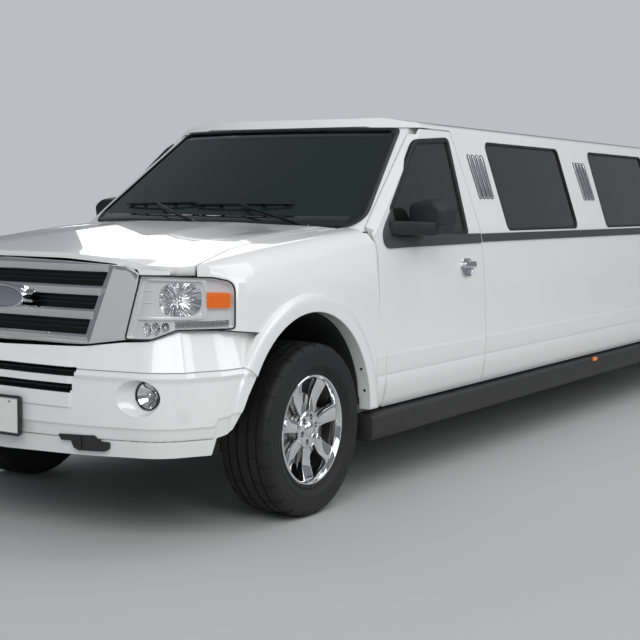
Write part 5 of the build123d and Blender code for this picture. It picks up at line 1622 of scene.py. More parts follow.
        frame = Bench.ring("plate_frame", rows, -0.012, 0.0, -0.010, 0.002)
        Bench.bevel(frame, 0.002, 2)
        back = Bench.plate("plate_back", rounded(offset(rows, -0.004)), -0.020, -0.006)
        frame = Bench.join("plate_frame", [frame, back])
        Bench.smooth(Bench.carry(frame, upright))
        mount(frame, "root", Slot.BLACK_PLASTIC, GLOSS_BLACK, ("front_plate",))
        blank = Bench.plate("plate_blank", rounded(offset(rows, -0.010)), -0.007, -0.0035)
        rim = Bench.ring("plate_rim", offset(rows, -0.014), -0.003, 0.0, -0.006, -0.0018)
        Bench.bevel(rim, 0.0008, 1)
        blank = Bench.join("plate_blank", [blank, rim])
        mount(Bench.smooth(Bench.carry(blank, upright)), "root", Slot.PAINT, PLATE_WHITE)
        screws = []
        for u in (-0.09, 0.09):
            screw = Bench.lathe("plate_screw", [(0.0, 0.003), (0.004, 0.0025), (0.006, 0.0), (0.0, -0.003)], 16)
            screw.data.transform(Matrix.Translation((u, 0.590, -0.003)))
            screws.append(screw)
        piece = Bench.join("plate_screws", screws)
        mount(Bench.smooth(Bench.carry(piece, upright)), "root", Slot.STEEL, STEEL)


def wheel_place(side: Side, x: float, y: float, z: float = AXLE_HEIGHT) -> Matrix:
    """Matrix that stands a turned piece on a wheel's axis, its w axis outwards.

    Args:
        side: The side of the car.
        x: Distance of the wheel's middle from the middle plane.
        y: Y of the axle.
        z: Height of the axle.

    Returns:
        The matrix.
    """
    turn = Matrix(((0.0, 0.0, side.value), (side.value, 0.0, 0.0), (0.0, 1.0, 0.0))).to_4x4()
    return Matrix.Translation((side.value * x, y, z)) @ turn


@dataclass
class Wheels:
    """Tyres with a grooved tread, seven-spoke bright rims, nuts, caps and brakes."""

    front: Pair = (0.8515, FRONT_AXLE_Y)
    rear: Pair = (0.8535, REAR_AXLE_Y)
    spokes: int = 7
    nuts: int = 6

    def build(self) -> None:
        """Build one of each piece and copy it to the four corners."""
        shapes = ((self.tyre(), TYRE_RUBBER, Slot.TYRE, "tyre"), (self.rim(), CHROME, Slot.CHROME, "rim"),
                  (self.barrel(), SATIN_SILVER, Slot.CHROME, ""), (self.nut_set(), GLOSS_BLACK, Slot.STEEL, ""),
                  (self.valve(), BLACK_PLASTIC, Slot.BLACK_PLASTIC, ""))
        disc, caliper = self.brake_shape(), self.caliper_shape()
        for end, (x, y) in (("front", self.front), ("rear", self.rear)):
            for side in Side:
                place = wheel_place(side, x, y)
                for shape, finish, slot, node in shapes:
                    piece = Bench.copy(shape, f"{shape.name}_{end}_{side.word}", place)
                    nodes = (f"{node}_{end}_{side.word}",) if node else ()
                    mount(piece, f"wheel_{end}_{side.word}", slot, finish, nodes)
                brake_body = f"knuckle_{side.word}" if end == "front" else "root"
                mount(Bench.copy(disc, f"brake_disc_{end}_{side.word}", place), f"wheel_{end}_{side.word}",
                      Slot.STEEL, STEEL)
                mount(Bench.copy(caliper, f"caliper_{end}_{side.word}", place), brake_body, Slot.CAST_IRON, CAST_IRON)
        for shape in (*(row[0] for row in shapes), disc, caliper):
            bpy.data.objects.remove(shape, do_unlink=True)

    def tyre(self) -> Piece:
        """Tyre with shaped sidewalls, four grooves and notched shoulders."""
        half = [(0.262, 0.108), (0.2585, 0.116), (0.266, 0.121), (0.272, 0.1215), (0.276, 0.1185), (0.290, 0.1285),
                (0.304, 0.1345), (0.306, 0.1362), (0.312, 0.1364), (0.314, 0.1350), (0.330, 0.1368), (0.348, 0.1370),
                (0.362, 0.1352), (0.364, 0.1362), (0.371, 0.1352), (0.373, 0.1330), (0.384, 0.1295), (0.3935, 0.1235),
                (0.3990, 0.1150), (0.4018, 0.1040), (0.4028, 0.0860)]
        tread = [(0.4030, 0.0800), (0.3955, 0.0785), (0.3955, 0.0715), (0.4032, 0.0700), (0.4045, 0.0330),
                 (0.3960, 0.0318), (0.3960, 0.0232), (0.4048, 0.0220)]
        outer = half + tread
        profile = outer + [(radius, -w) for radius, w in reversed(outer)]
        piece = Bench.lathe("tyre", profile, 120)
        with Bench.editing(piece, "DESELECT"):
            shape = bmesh.from_edit_mesh(piece.data)
            for face in shape.faces:
                middle = face.calc_center_median()
                radius = sqrt(middle.x ** 2 + middle.y ** 2)
                turn = int(round((atan2(middle.y, middle.x) % (2 * pi)) / (2 * pi) * 120 - 0.5))
                shoulder = 0.378 < radius and 0.084 < abs(middle.z) < 0.130
                rib = radius > 0.4035 and 0.035 < abs(middle.z) < 0.07
                face.select_set((shoulder and turn % 5 == (0 if middle.z > 0 else 2)) or (rib and turn % 6 == 3))
            bmesh.update_edit_mesh(piece.data)
            bpy.ops.mesh.extrude_region_move()
            bpy.ops.transform.resize(value=(0.991, 0.991, 0.985), center_override=(0.0, 0.0, 0.0))
            bpy.ops.mesh.select_all(action="SELECT")
            bpy.ops.mesh.normals_make_consistent(inside=False)
        return Bench.smooth(piece, 28)

    def rim(self) -> Piece:
        """Bright face: lip, hub, seven flat spokes with bevelled edges and the domed cap."""
        lip = Bench.lathe("lip", [(0.2380, 0.050), (0.2360, 0.088), (0.2400, 0.098), (0.2435, 0.112),
                                  (0.2480, 0.1185), (0.2540, 0.1195), (0.2576, 0.1165), (0.2576, 0.100),
                                  (0.2450, 0.092), (0.2440, 0.050)], 112)
        hub = Bench.lathe("hub", [(0.0, 0.040), (0.080, 0.040), (0.090, 0.060), (0.092, 0.086), (0.089, 0.0935),
                                  (0.0845, 0.0960), (0.0825, 0.0925), (0.0800, 0.0925), (0.0780, 0.0975),
                                  (0.045, 0.0985), (0.0, 0.0985)], 84)
        for number in range(self.nuts):
            angle = 2 * pi * (number + 0.25) / self.nuts
            Bench.clear()
            bpy.ops.mesh.primitive_cylinder_add(vertices=20, radius=0.0145, depth=0.05,
                                                location=(0.060 * cos(angle), 0.060 * sin(angle), 0.096))
            Bench.cut(hub, Bench.named("nut_well"))
        Bench.bevel(hub, 0.0015, 2, 40)
        spoke_rows = [(-0.0250, 0.070, 0.0), (0.0250, 0.070, 0.0), (0.0415, 0.2400, 0.0), (-0.0415, 0.2400, 0.0)]
        spoke = Bench.plate("spoke", rounded(spoke_rows), 0.058, 0.094)
        Bench.bevel(spoke, 0.0055, 2, 50)
        Bench.slices(spoke, 1, [0.085, 0.10, 0.12, 0.14, 0.16, 0.18, 0.20, 0.22])
        for vertex in spoke.data.vertices:
            reach = vertex.co.y
            hollow = sin(pi * min(max((reach - 0.07) / 0.17, 0.0), 1.0))
            vertex.co.z += -0.012 * hollow + 0.008 * eased(reach, 0.15, 0.24)
            if vertex.co.z > 0.07:
                vertex.co.z -= 0.0022 * (1 - min(abs(vertex.co.x) / 0.03, 1.0))
        arms = [Bench.copy(spoke, f"spoke_{number}", Matrix.Rotation(2 * pi * number / self.spokes + pi, 4, "Z"))
                for number in range(self.spokes)]
        bpy.data.objects.remove(spoke, do_unlink=True)
        cap = Bench.lathe("cap", [(0.0, 0.094), (0.037, 0.094), (0.0385, 0.099), (0.0375, 0.1035), (0.0345, 0.1050),
                                  (0.0325, 0.1040), (0.0310, 0.1055), (0.022, 0.1095), (0.0, 0.1115)], 56)
        return Bench.smooth(Bench.join("rim", [lip, hub, *arms, cap]), 32)

    def barrel(self) -> Piece:
        """Inner barrel of the rim."""
        profile = [(0.2430, 0.096), (0.2400, 0.050), (0.2320, 0.010), (0.2320, -0.070), (0.2460, -0.100),
                   (0.2560, -0.118), (0.2576, -0.114), (0.2576, -0.100), (0.2480, -0.060), (0.2480, 0.096)]
        return Bench.smooth(Bench.lathe("rim_barrel", profile, 96), 30)

    def nut_set(self) -> Piece:
        """The dark nuts in their wells."""
        pieces = []
        for number in range(self.nuts):
            angle = 2 * pi * (number + 0.25) / self.nuts
            Bench.clear()
            bpy.ops.mesh.primitive_cylinder_add(vertices=6, radius=0.0105, depth=0.020,
                                                location=(0.060 * cos(angle), 0.060 * sin(angle), 0.0825))
            nut = Bench.named("nut")
            Bench.focus(nut)
            bpy.ops.object.transform_apply(location=True, rotation=True, scale=True)
            pieces.append(Bench.bevel(nut, 0.002, 2))
        return Bench.smooth(Bench.join("wheel_nuts", pieces), 30)

    def valve(self) -> Piece:
        """The valve stem near the lip."""
        line = [(0.0, -0.228, 0.085), (0.0, -0.223, 0.100), (0.0, -0.219, 0.112)]
        return Bench.smooth(Bench.tube("valve", line, 0.0042))

    def brake_shape(self) -> Piece:
        """Brake disc with its hat."""
        profile = [(0.040, 0.050), (0.086, 0.050), (0.090, 0.0440), (0.165, 0.0440), (0.166, 0.0432), (0.166, 0.0366),
                   (0.165, 0.0358), (0.040, 0.0358)]
        return Bench.smooth(Bench.lathe("brake_disc", profile, 64))

    def caliper_shape(self) -> Piece:
        """Brake caliper over the disc's front edge."""
        return Bench.smooth(Bench.block("caliper", (0.120, -0.075, -0.045), (0.195, 0.075, 0.045), 0.010))


@dataclass
class SideTrim:
    """Trim along both sides: window seals, belt strips, vents, handles, running boards and marker lamps."""

    window_low: float = 1.296
    window_high: float = 1.815
    window_lean: float = 0.095
    window_length: float = 1.131
    handle_height: float = 1.098
    handle_places: tuple[tuple[str, float], ...] = (("door_front", 1.570), ("door_rear", 6.146))

    def build(self) -> None:
        """Build each trim on both sides."""
        for side in Side:
            self.seals(side)
            self.belts(side)
            self.vents(side)
            self.handles(side)
            self.running_board(side)

    def fixed_windows(self) -> list[list[Corner]]:
        """Outlines of the fixed windows as (distance behind the front axle, height, radius)."""
        rows = []
        for number in range(2):
            low = FRONT_DOOR_END + 0.360 + number * (self.window_length + 0.530)
            rows.append([(low, self.window_low, 0.045), (low - self.window_lean, self.window_high, 0.045),
                         (low + self.window_length - self.window_lean, self.window_high, 0.045),
                         (low + self.window_length, self.window_low, 0.045)])
        rows.append([(WHEELBASE - 0.165, self.window_low, 0.040), (WHEELBASE - 0.225, self.window_high, 0.040),
                     (WHEELBASE + 0.560, self.window_high, 0.090), (WHEELBASE + 0.760, self.window_low, 0.060)])
        return rows

    def door_windows(self) -> dict[str, list[Corner]]:
        """Outlines of the door windows."""
        back = REAR_DOOR_START
        return {
            "door_front": [(0.790, 1.300, 0.020), (0.790, 1.420, 0.030), (1.180, 1.752, 0.110), (1.235, 1.782, 0.060),
                           (1.602, 1.806, 0.022), (1.612, 1.290, 0.022)],
            "door_rear": [(back + 0.055, 1.290, 0.022), (back - 0.022, 1.806, 0.022), (WHEELBASE - 0.392, 1.806, 0.040),
                          (WHEELBASE - 0.315, 1.290, 0.030)],
        }

    def leaned(self, piece: Piece, side: Side, angle: float = 30.0) -> Piece:
        """Divide a flat-made piece by height and lean it onto the body side."""
        Bench.sliced_evenly(piece, 1, 0.1)
        return Bench.smooth(Bench.carry(piece, on_side(side)), angle)

    def seals(self, side: Side) -> None:
        """Dark seals round every window of one side."""
        for number, rows in enumerate(self.fixed_windows()):
            ring = Bench.ring(f"window_seal_{number}_{side.word}", rows, -0.013, 0.002, -0.020, 0.0012)
            Bench.bevel(ring, 0.0022, 2)
            mount(self.leaned(ring, side), "root", Slot.BLACK_PLASTIC, RUBBER)
        for door, rows in self.door_windows().items():
            wide = 0.016 if door == "door_front" else 0.012
            ring = Bench.ring(f"{door}_seal_{side.word}", rows, -0.012, wide, -0.020, 0.0015)
            Bench.bevel(ring, 0.002, 2)
            mount(self.leaned(ring, side), f"{door}_{side.word}", Slot.BLACK_PLASTIC, RUBBER)

    def belts(self, side: Side) -> None:
        """Dark belt strip from the front door's corner to the rear door."""
        back = REAR_DOOR_START
        runs = (
            ("door_front", "belt_front", [(0.672, 1.226, 0.060), (1.776, 1.232, 0.004), (1.768, 1.286, 0.004),
                                          (0.806, 1.286, 0.012), (0.794, 1.300, 0.012), (0.794, 1.428, 0.004),
                                          (0.700, 1.352, 0.080), (0.640, 1.292, 0.060)]),
            ("root", "belt_middle", [(1.800, 1.236, 0.004), (back - 0.02, 1.236, 0.004), (back - 0.028, 1.284, 0.004),
                                     (1.792, 1.284, 0.004)]),
            ("door_rear", "belt_rear", [(back + 0.000, 1.236, 0.004), (WHEELBASE - 0.262, 1.236, 0.004),
                                        (WHEELBASE - 0.258, 1.284, 0.004), (back - 0.008, 1.284, 0.004)]),
        )
        for door, name, rows in runs:
            strip = Bench.plate(f"{name}_{side.word}", rounded(rows, 3), -0.003, 0.008)
            Bench.bevel(strip, 0.004, 3)
            body = door if door == "root" else f"{door}_{side.word}"
            mount(self.leaned(strip, side), body, Slot.GREY_PLASTIC, TRIM_GREY)

    def vents(self, side: Side) -> None:
        """Four slanted bright slats on each pillar, each over a dark plate that paints the shadow along its edges."""
        places = ((1.808, 2.015, 1.863, 2.049), (3.431, 3.632, 3.505, 3.694))
        for number, (top_low, top_high, low_low, low_high) in enumerate(places):
            slats, shadows = [], []
            for slat in range(4):
                top = top_low + (top_high - top_low) * slat / 3.6
                low = low_low + (low_high - low_low) * slat / 3.6
                rows = [(low, 1.485, 0.008), (top, 1.730, 0.008), (top + 0.030, 1.730, 0.008),
                        (low + 0.030, 1.485, 0.008)]
                plate = Bench.plate("slat", rounded(rows, 3), -0.004, 0.009)
                Bench.bevel(plate, 0.004, 3)
                slats.append(plate)
                # Black plate a little larger than the slat: painted shadow along the slat's edges
                shadow = Bench.plate("shadow", rounded(offset(rows, 0.005), 3), -0.004, 0.0015)
                shadows.append(shadow)
            for name, pieces, slot, finish in (("vent_slats", slats, Slot.CHROME, CHROME),
                                               ("vent_painted_shadow", shadows, Slot.BLACK_PLASTIC, RUBBER)):
                mount(self.leaned(Bench.join(f"{name}_{number}_{side.word}", pieces), side), "root", slot, finish)

    def handles(self, side: Side) -> None:
        """Bright oval cup with its paddle on each door."""
        z = self.handle_height
        for door, middle in self.handle_places:
            cup_rows = [(middle - 0.074, z - 0.052, 0.045), (middle + 0.074, z - 0.052, 0.045),
                        (middle + 0.070, z + 0.052, 0.045), (middle - 0.066, z + 0.052, 0.045)]
            cup = Bench.ring(f"{door}_handle_ring_{side.word}", cup_rows, -0.012, 0.0, -0.003, 0.009)
            Bench.bevel(cup, 0.005, 3)
            dish = Bench.plate("dish", rounded(offset(cup_rows, -0.008)), -0.003, 0.0010)
            bar_rows = [(middle - 0.066, z + 0.002, 0.012), (middle - 0.066, z + 0.032, 0.012),
                        (middle + 0.078, z + 0.036, 0.016), (middle + 0.078, z - 0.002, 0.016)]
            bar = Bench.plate("paddle", rounded(bar_rows, 5), 0.016, 0.032)
            Bench.bevel(bar, 0.008, 3)
            post_rows = [(middle + 0.035, z + 0.004, 0.006), (middle + 0.068, z + 0.004, 0.006),
                         (middle + 0.068, z + 0.030, 0.006), (middle + 0.035, z + 0.030, 0.006)]
            post = Bench.plate("post", rounded(post_rows, 3), -0.002, 0.02)
            stay_rows = [(middle - 0.060, z + 0.006, 0.006), (middle - 0.038, z + 0.006, 0.006),
                         (middle - 0.038, z + 0.028, 0.006), (middle - 0.060, z + 0.028, 0.006)]
            stay = Bench.plate("stay", rounded(stay_rows, 3), -0.002, 0.02)
            lock = Bench.plate("lock", rounded(ellipse(0.012, 0.012, middle + 0.045, z - 0.022, 20)), -0.002, 0.005)
            piece = Bench.join(f"{door}_handle_{side.word}", [cup, dish, bar, post, stay, lock])
            Bench.sliced_evenly(piece, 1, 0.05)
            Bench.smooth(Bench.carry(piece, on_side(side)))
            mount(piece, f"{door}_{side.word}", Slot.CHROME, CHROME)

    def running_board(self, side: Side) -> None:
        """Running board with a ribbed tread and two marker lamps."""
        start, end = 0.470, WHEELBASE - 0.560

        def outboard(point: Vector) -> Vector:
            """Stand a flat-made section up beside the sill: u outwards, v up, w back along the car."""
            return Vector((side.value * point.x, station(point.z), point.y))

        rows = [(0.905, 0.285, 0.004), (1.000, 0.283, 0.016), (1.017, 0.312, 0.012), (1.014, 0.404, 0.014),
                (0.985, 0.414, 0.008), (0.905, 0.411, 0.0)]
        board = Bench.plate(f"running_board_{side.word}", rounded(rows, 4), start, end)
        Bench.bevel(board, 0.004, 2, 50)
        Bench.slices(board, 2, [start + (end - start) * i / 12 for i in range(1, 12)])
        Bench.smooth(Bench.carry(board, outboard))
        mount(board, "root", Slot.BLACK_PLASTIC, BLACK_PLASTIC, ("running_boards",) if side is Side.LEFT else ())
        ribs = []
        for number in range(5):
            x = 0.918 + number * 0.014
            ribs.append(Bench.block("rib", (x, 0.409, start + 0.06), (x + 0.007, 0.4165, end - 0.06), 0.002, 1))
        tread = Bench.join(f"board_ribs_{side.word}", ribs)
        mount(Bench.smooth(Bench.carry(tread, outboard)), "root", Slot.BLACK_PLASTIC, RUBBER)
        for number, place in enumerate((3.50, 5.05)):
            lens = Bench.block(f"side_marker_{number}_{side.word}", (1.010, 0.392, place - 0.035),
                               (1.0225, 0.416, place + 0.035), 0.004)
            mount(Bench.smooth(Bench.carry(lens, outboard)), "root", Slot.RED_GLASS, AMBER)


@dataclass
class Mirrors:
    """Door mirrors: textured housing with a seam, glass and an arm."""

    def build(self) -> None:
        """Build the left mirror and its mirror image."""
        y = station(0.888)

        def standing(point: Vector) -> Vector:
            """Stand a flat-made section up across the car: u outwards, v up, w back."""
            return Vector((point.x, y + point.z, point.y))

        rows = [(0.962, 1.287, 0.030), (1.145, 1.287, 0.045), (1.168, 1.435, 0.045), (1.110, 1.476, 0.055),
                (0.965, 1.476, 0.045)]
        deep = 0.190
        shell = Bench.plate("mirror_shell", rounded(rows, 6), 0.0, deep)
        Bench.bevel(shell, 0.018, 4, 50)
        Bench.slices(shell, 2, [deep * step / 5 for step in range(1, 5)])
        Bench.slices(shell, 1, [1.345, 1.349])
        for vertex in shell.data.vertices:
            share = vertex.co.z / deep
            squeeze = 1.0 - 0.09 * (1 - share) ** 2
            vertex.co.x = 1.060 + (vertex.co.x - 1.060) * squeeze
            if vertex.co.y > 1.35:
                vertex.co.y = 1.35 + (vertex.co.y - 1.35) * (1.0 - 0.16 * (1 - share) ** 2)
        with Bench.editing(shell, "DESELECT"):
            Bench.pick_faces(shell, lambda middle, normal: normal.z > 0.9 and middle.z > deep - 0.005)
            bpy.ops.mesh.inset(thickness=0.010)
            bpy.ops.mesh.extrude_region_move(TRANSFORM_OT_translate={"value": (0.0, 0.0, -0.012)})
        Bench.smooth(Bench.carry(shell, standing), 40)
        glass = Bench.plate("mirror_glass", rounded(offset(rows, -0.020), 6), deep - 0.011, deep - 0.008)
        Bench.smooth(Bench.carry(glass, standing))
        arm_rows = [(0.930, station(0.715), 0.02), (0.930, station(0.800), 0.02), (0.985, station(0.905), 0.02),
                    (1.120, station(0.905), 0.010), (1.138, station(0.882), 0.010), (1.060, station(0.850), 0.05),
                    (0.990, station(0.745), 0.04)]
        arm = Bench.plate("mirror_arm", rounded(arm_rows, 4), 1.292, 1.362)
        Bench.bevel(arm, 0.012, 3, 50)
        Bench.smooth(Bench.settle(arm), 40)
        seam = Bench.ring("mirror_seam", [(0.964, 0.006, 0.006), (1.150, 0.006, 0.006), (1.150, deep - 0.006, 0.006),
                                          (0.964, deep - 0.006, 0.006)], -0.004, 0.0008, 0.0, 0.003)
        for vertex in seam.data.vertices:
            vertex.co = (vertex.co.x, 1.346 + vertex.co.z, vertex.co.y)
        Bench.smooth(Bench.carry(seam, standing), 40)
        dark = Slot.BLACK_PLASTIC
        for piece, finish, slot in ((shell, BLACK_PLASTIC, dark), (arm, BLACK_PLASTIC, dark),
                                    (seam, GLOSS_BLACK, dark), (glass, CHROME, Slot.CHROME)):
            mount_both(piece, slot, finish, ("door_front_left", "door_front_right"),
                       ("mirror_left", "mirror_right") if piece is shell else ())


@dataclass
class Arches:
    """Raised bands round the wheel openings, black liners and the bolts on their rear flanges."""

    radius: float = ARCH_RADIUS
    height: float = ARCH_HEIGHT
    middles: tuple[tuple[str, float], ...] = (("front", FRONT_ARCH_SHIFT), ("rear", WHEELBASE))

    def build(self) -> None:
        """Build bands and liners at all four wheels."""
        for end, middle in self.middles:
            for side in Side:
                mount(self.band(end, middle, side), "root", Slot.PAINT, PAINT)
                mount(self.liner(end, middle, side), "root", Slot.BLACK_PLASTIC, LINER_BLACK)
        for side in Side:
            mount(self.bolts(side), "root", Slot.BLACK_PLASTIC, GLOSS_BLACK)

    def arc(self, name: str, profile: Sequence[Pair], middle: float, start: float, sweep: float,
            side: Side) -> Piece:
        """Closed section of (radius, x) swept round an opening's centre.

        Args:
            name: The piece's name.
            profile: The section.
            middle: The centre's distance behind the front axle.
            start: First angle, from straight back towards up.
            sweep: How far it turns.
            side: The side of the car.

        Returns:
            The new piece.
        """
        Bench.clear()
        bpy.ops.mesh.primitive_circle_add(vertices=len(profile), radius=1.0, fill_type="NGON")
        piece = Bench.named(name)
        for vertex, (radius, x) in zip(piece.data.vertices, profile):
            vertex.co = (radius * cos(start), radius * sin(start), x)
        with Bench.editing(piece):
            bpy.ops.mesh.spin(steps=72, angle=-sweep, center=(0.0, 0.0, 0.0), axis=(0.0, 0.0, 1.0))

        def standing(point: Vector) -> Vector:
            """World place of one point."""
            return Vector((side.value * point.z, station(middle + point.x), self.height + point.y))

        return Bench.smooth(Bench.carry(piece, standing), 35)

    def band(self, end: str, middle: float, side: Side) -> Piece:
        """Painted band with a crisp outer edge."""
        r = self.radius
        profile = [(r - 0.001, 0.945), (r - 0.001, 1.0035), (r + 0.002, 1.0065), (r + 0.040, 1.0095),
                   (r + 0.066, 1.0075), (r + 0.078, 1.0015), (r + 0.084, 0.990), (r + 0.086, 0.972), (r + 0.060, 0.960)]
        sweep = pi - (0.59 if end == "front" else 0.07)
        return self.arc(f"arch_band_{end}_{side.word}", profile, middle, 0.035, sweep, side)

    def liner(self, end: str, middle: float, side: Side) -> Piece:
        """Black liner over the wheel."""
        r = self.radius
        inner = 0.56 if end == "front" else 0.66
        profile = [(r - 0.012, inner), (r - 0.012, 0.93), (r - 0.006, 0.940), (r - 0.002, 0.930), (r - 0.006, inner)]
        return self.arc(f"arch_liner_{end}_{side.word}", profile, middle, 0.06, pi - 0.30, side)

    def bolts(self, side: Side) -> Piece:
        """Two dark bolts on the front opening's rear flange."""
        pieces = []
        for angle in (0.20, 0.42):
            bolt = Bench.lathe("bolt", [(0.0, 0.004), (0.005, 0.003), (0.008, 0.0), (0.0, -0.003)], 16)
            reach = self.radius - 0.001
            spot = Vector((side.value * 0.975, station(FRONT_ARCH_SHIFT + reach * cos(angle)),
                           self.height + reach * sin(angle)))
            inwards = Vector((0.0, -cos(angle), -sin(angle)))
            bolt.data.transform(Matrix.Translation(spot) @ inwards.to_track_quat("Z", "Y").to_matrix().to_4x4())
            pieces.append(bolt)
        return Bench.smooth(Bench.settle(Bench.join(f"arch_bolts_{side.word}", pieces)))


@dataclass
class LowerSides:
    """Lower side panels: a ledge at the crease, a flat, and the round rocker under it."""

    profile: tuple[Pair, ...] = (
        (0.432, -0.004), (0.436, 0.003), (0.450, 0.0065), (0.475, 0.0088), (0.510, 0.0095), (0.545, 0.0090),
        (0.572, 0.0070), (0.586, 0.0035), (0.592, 0.0012), (0.598, 0.0032), (0.606, 0.0042), (0.640, 0.0045),
        (0.684, 0.0050), (0.6925, 0.0048), (0.697, 0.0030), (0.700, -0.002))

    def build(self) -> None:
        """Build the panels of both sides."""
        back = REAR_DOOR_START
        gap_rows = [(0.622, 0.70), (0.640, 0.70), (0.640, 1.285), (0.622, 1.285)]
        edge_rows = [(0.574, 0.70), (0.6375, 0.70), (0.6375, 1.27), (0.600, 1.27)]
        for side in Side:
            gap = Bench.plate(f"door_gap_{side.word}", gap_rows, -0.040, -0.012)
            edge = Bench.plate(f"fender_edge_{side.word}", edge_rows, -0.012, -0.0006)
            for piece, slot, finish in ((gap, Slot.BLACK_PLASTIC, RUBBER), (edge, Slot.PAINT, PAINT)):
                Bench.sliced_evenly(piece, 1, 0.06)
                mount(Bench.smooth(Bench.carry(piece, on_side(side))), "root", slot, finish)
        runs = (
            ("root", "foot", ((0.555, 0.560), (0.630, 0.640))),
            ("door_front", "door_front", ((0.653, 0.650), (1.781, 1.803))),
            ("root", "stretch", ((1.795, 1.817), (back - 0.002, back - 0.011))),
            ("door_rear", "door_rear", ((back + 0.009, back + 0.003), (WHEELBASE - 0.632, WHEELBASE - 0.600))),
        )
        for side in Side:
            for body, name, (low_ends, high_ends) in runs:
                lows = (low_ends[0], high_ends[0])
                highs = (low_ends[1], high_ends[1])
                piece = self.panel(f"lower_{name}_{side.word}", lows, highs, side)
                mount(piece, body if body == "root" else f"{body}_{side.word}", Slot.PAINT, PAINT)

    def panel(self, name: str, lows: Pair, highs: Pair, side: Side) -> Piece:
        """One panel between two ends, its section from the profile.

        Args:
            name: The piece's name.
            lows: Its front and rear ends at the bottom.
            highs: Its front and rear ends at the top.
            side: The side of the car.

        Returns:
            The new piece.
        """
        low, top = self.profile[0][0], self.profile[-1][0]
        outline = [*self.profile, (top, -0.006), (low, -0.008)]
        Bench.clear()
        bpy.ops.mesh.primitive_circle_add(vertices=len(outline), radius=1.0, fill_type="NGON")
        piece = Bench.named(name)
        for vertex, (z, w) in zip(piece.data.vertices, outline):
            vertex.co = (0.0, z, w)
        with Bench.editing(piece):
            bpy.ops.mesh.extrude_region_move(TRANSFORM_OT_translate={"value": (1.0, 0.0, 0.0)})
        for vertex in piece.data.vertices:
            share = (vertex.co.y - low) / (top - low)
            front = lows[0] + (highs[0] - lows[0]) * share
            rear = lows[1] + (highs[1] - lows[1]) * share
            vertex.co.x = front + (rear - front) * vertex.co.x
        Bench.sliced_evenly(piece, 0, 0.4)
        return Bench.smooth(Bench.carry(piece, on_side(side)), 22)


def screen_line(distance_up: float, x: float, lift: float) -> Vector:
    """Point on the windshield's bent sheet.

    Args:
        distance_up: Distance up the sheet's middle line from its lower reference point.
        x: Distance from the middle plane.
        lift: Height above the glass.

    Returns:
        The point.
    """
    rake = atan2(SCREEN_TOP[1] - SCREEN_FOOT[1], SCREEN_TOP[0] - SCREEN_FOOT[0])
    radius = (SCREEN_HALF ** 2 + SCREEN_BOW ** 2) / (2 * SCREEN_BOW)
    drop = radius - sqrt(radius ** 2 - x ** 2)
    along = (SCREEN_FOOT[0] + distance_up * cos(rake), SCREEN_FOOT[1] + distance_up * sin(rake))
    out = (-sin(rake), cos(rake))
    return Vector((x, station(along[0] + out[0] * (lift - drop)), along[1] + out[1] * (lift - drop)))


def screen_at(x: float, z: float, lift: float) -> Vector:
    """Point on the windshield at a place across the car and a height."""
    low, high = -1.2, 1.2
    for _ in range(40):
        middle = (low + high) / 2
        if screen_line(middle, x, lift).z < z:
            low = middle
        else:
            high = middle
    return screen_line(low, x, lift)


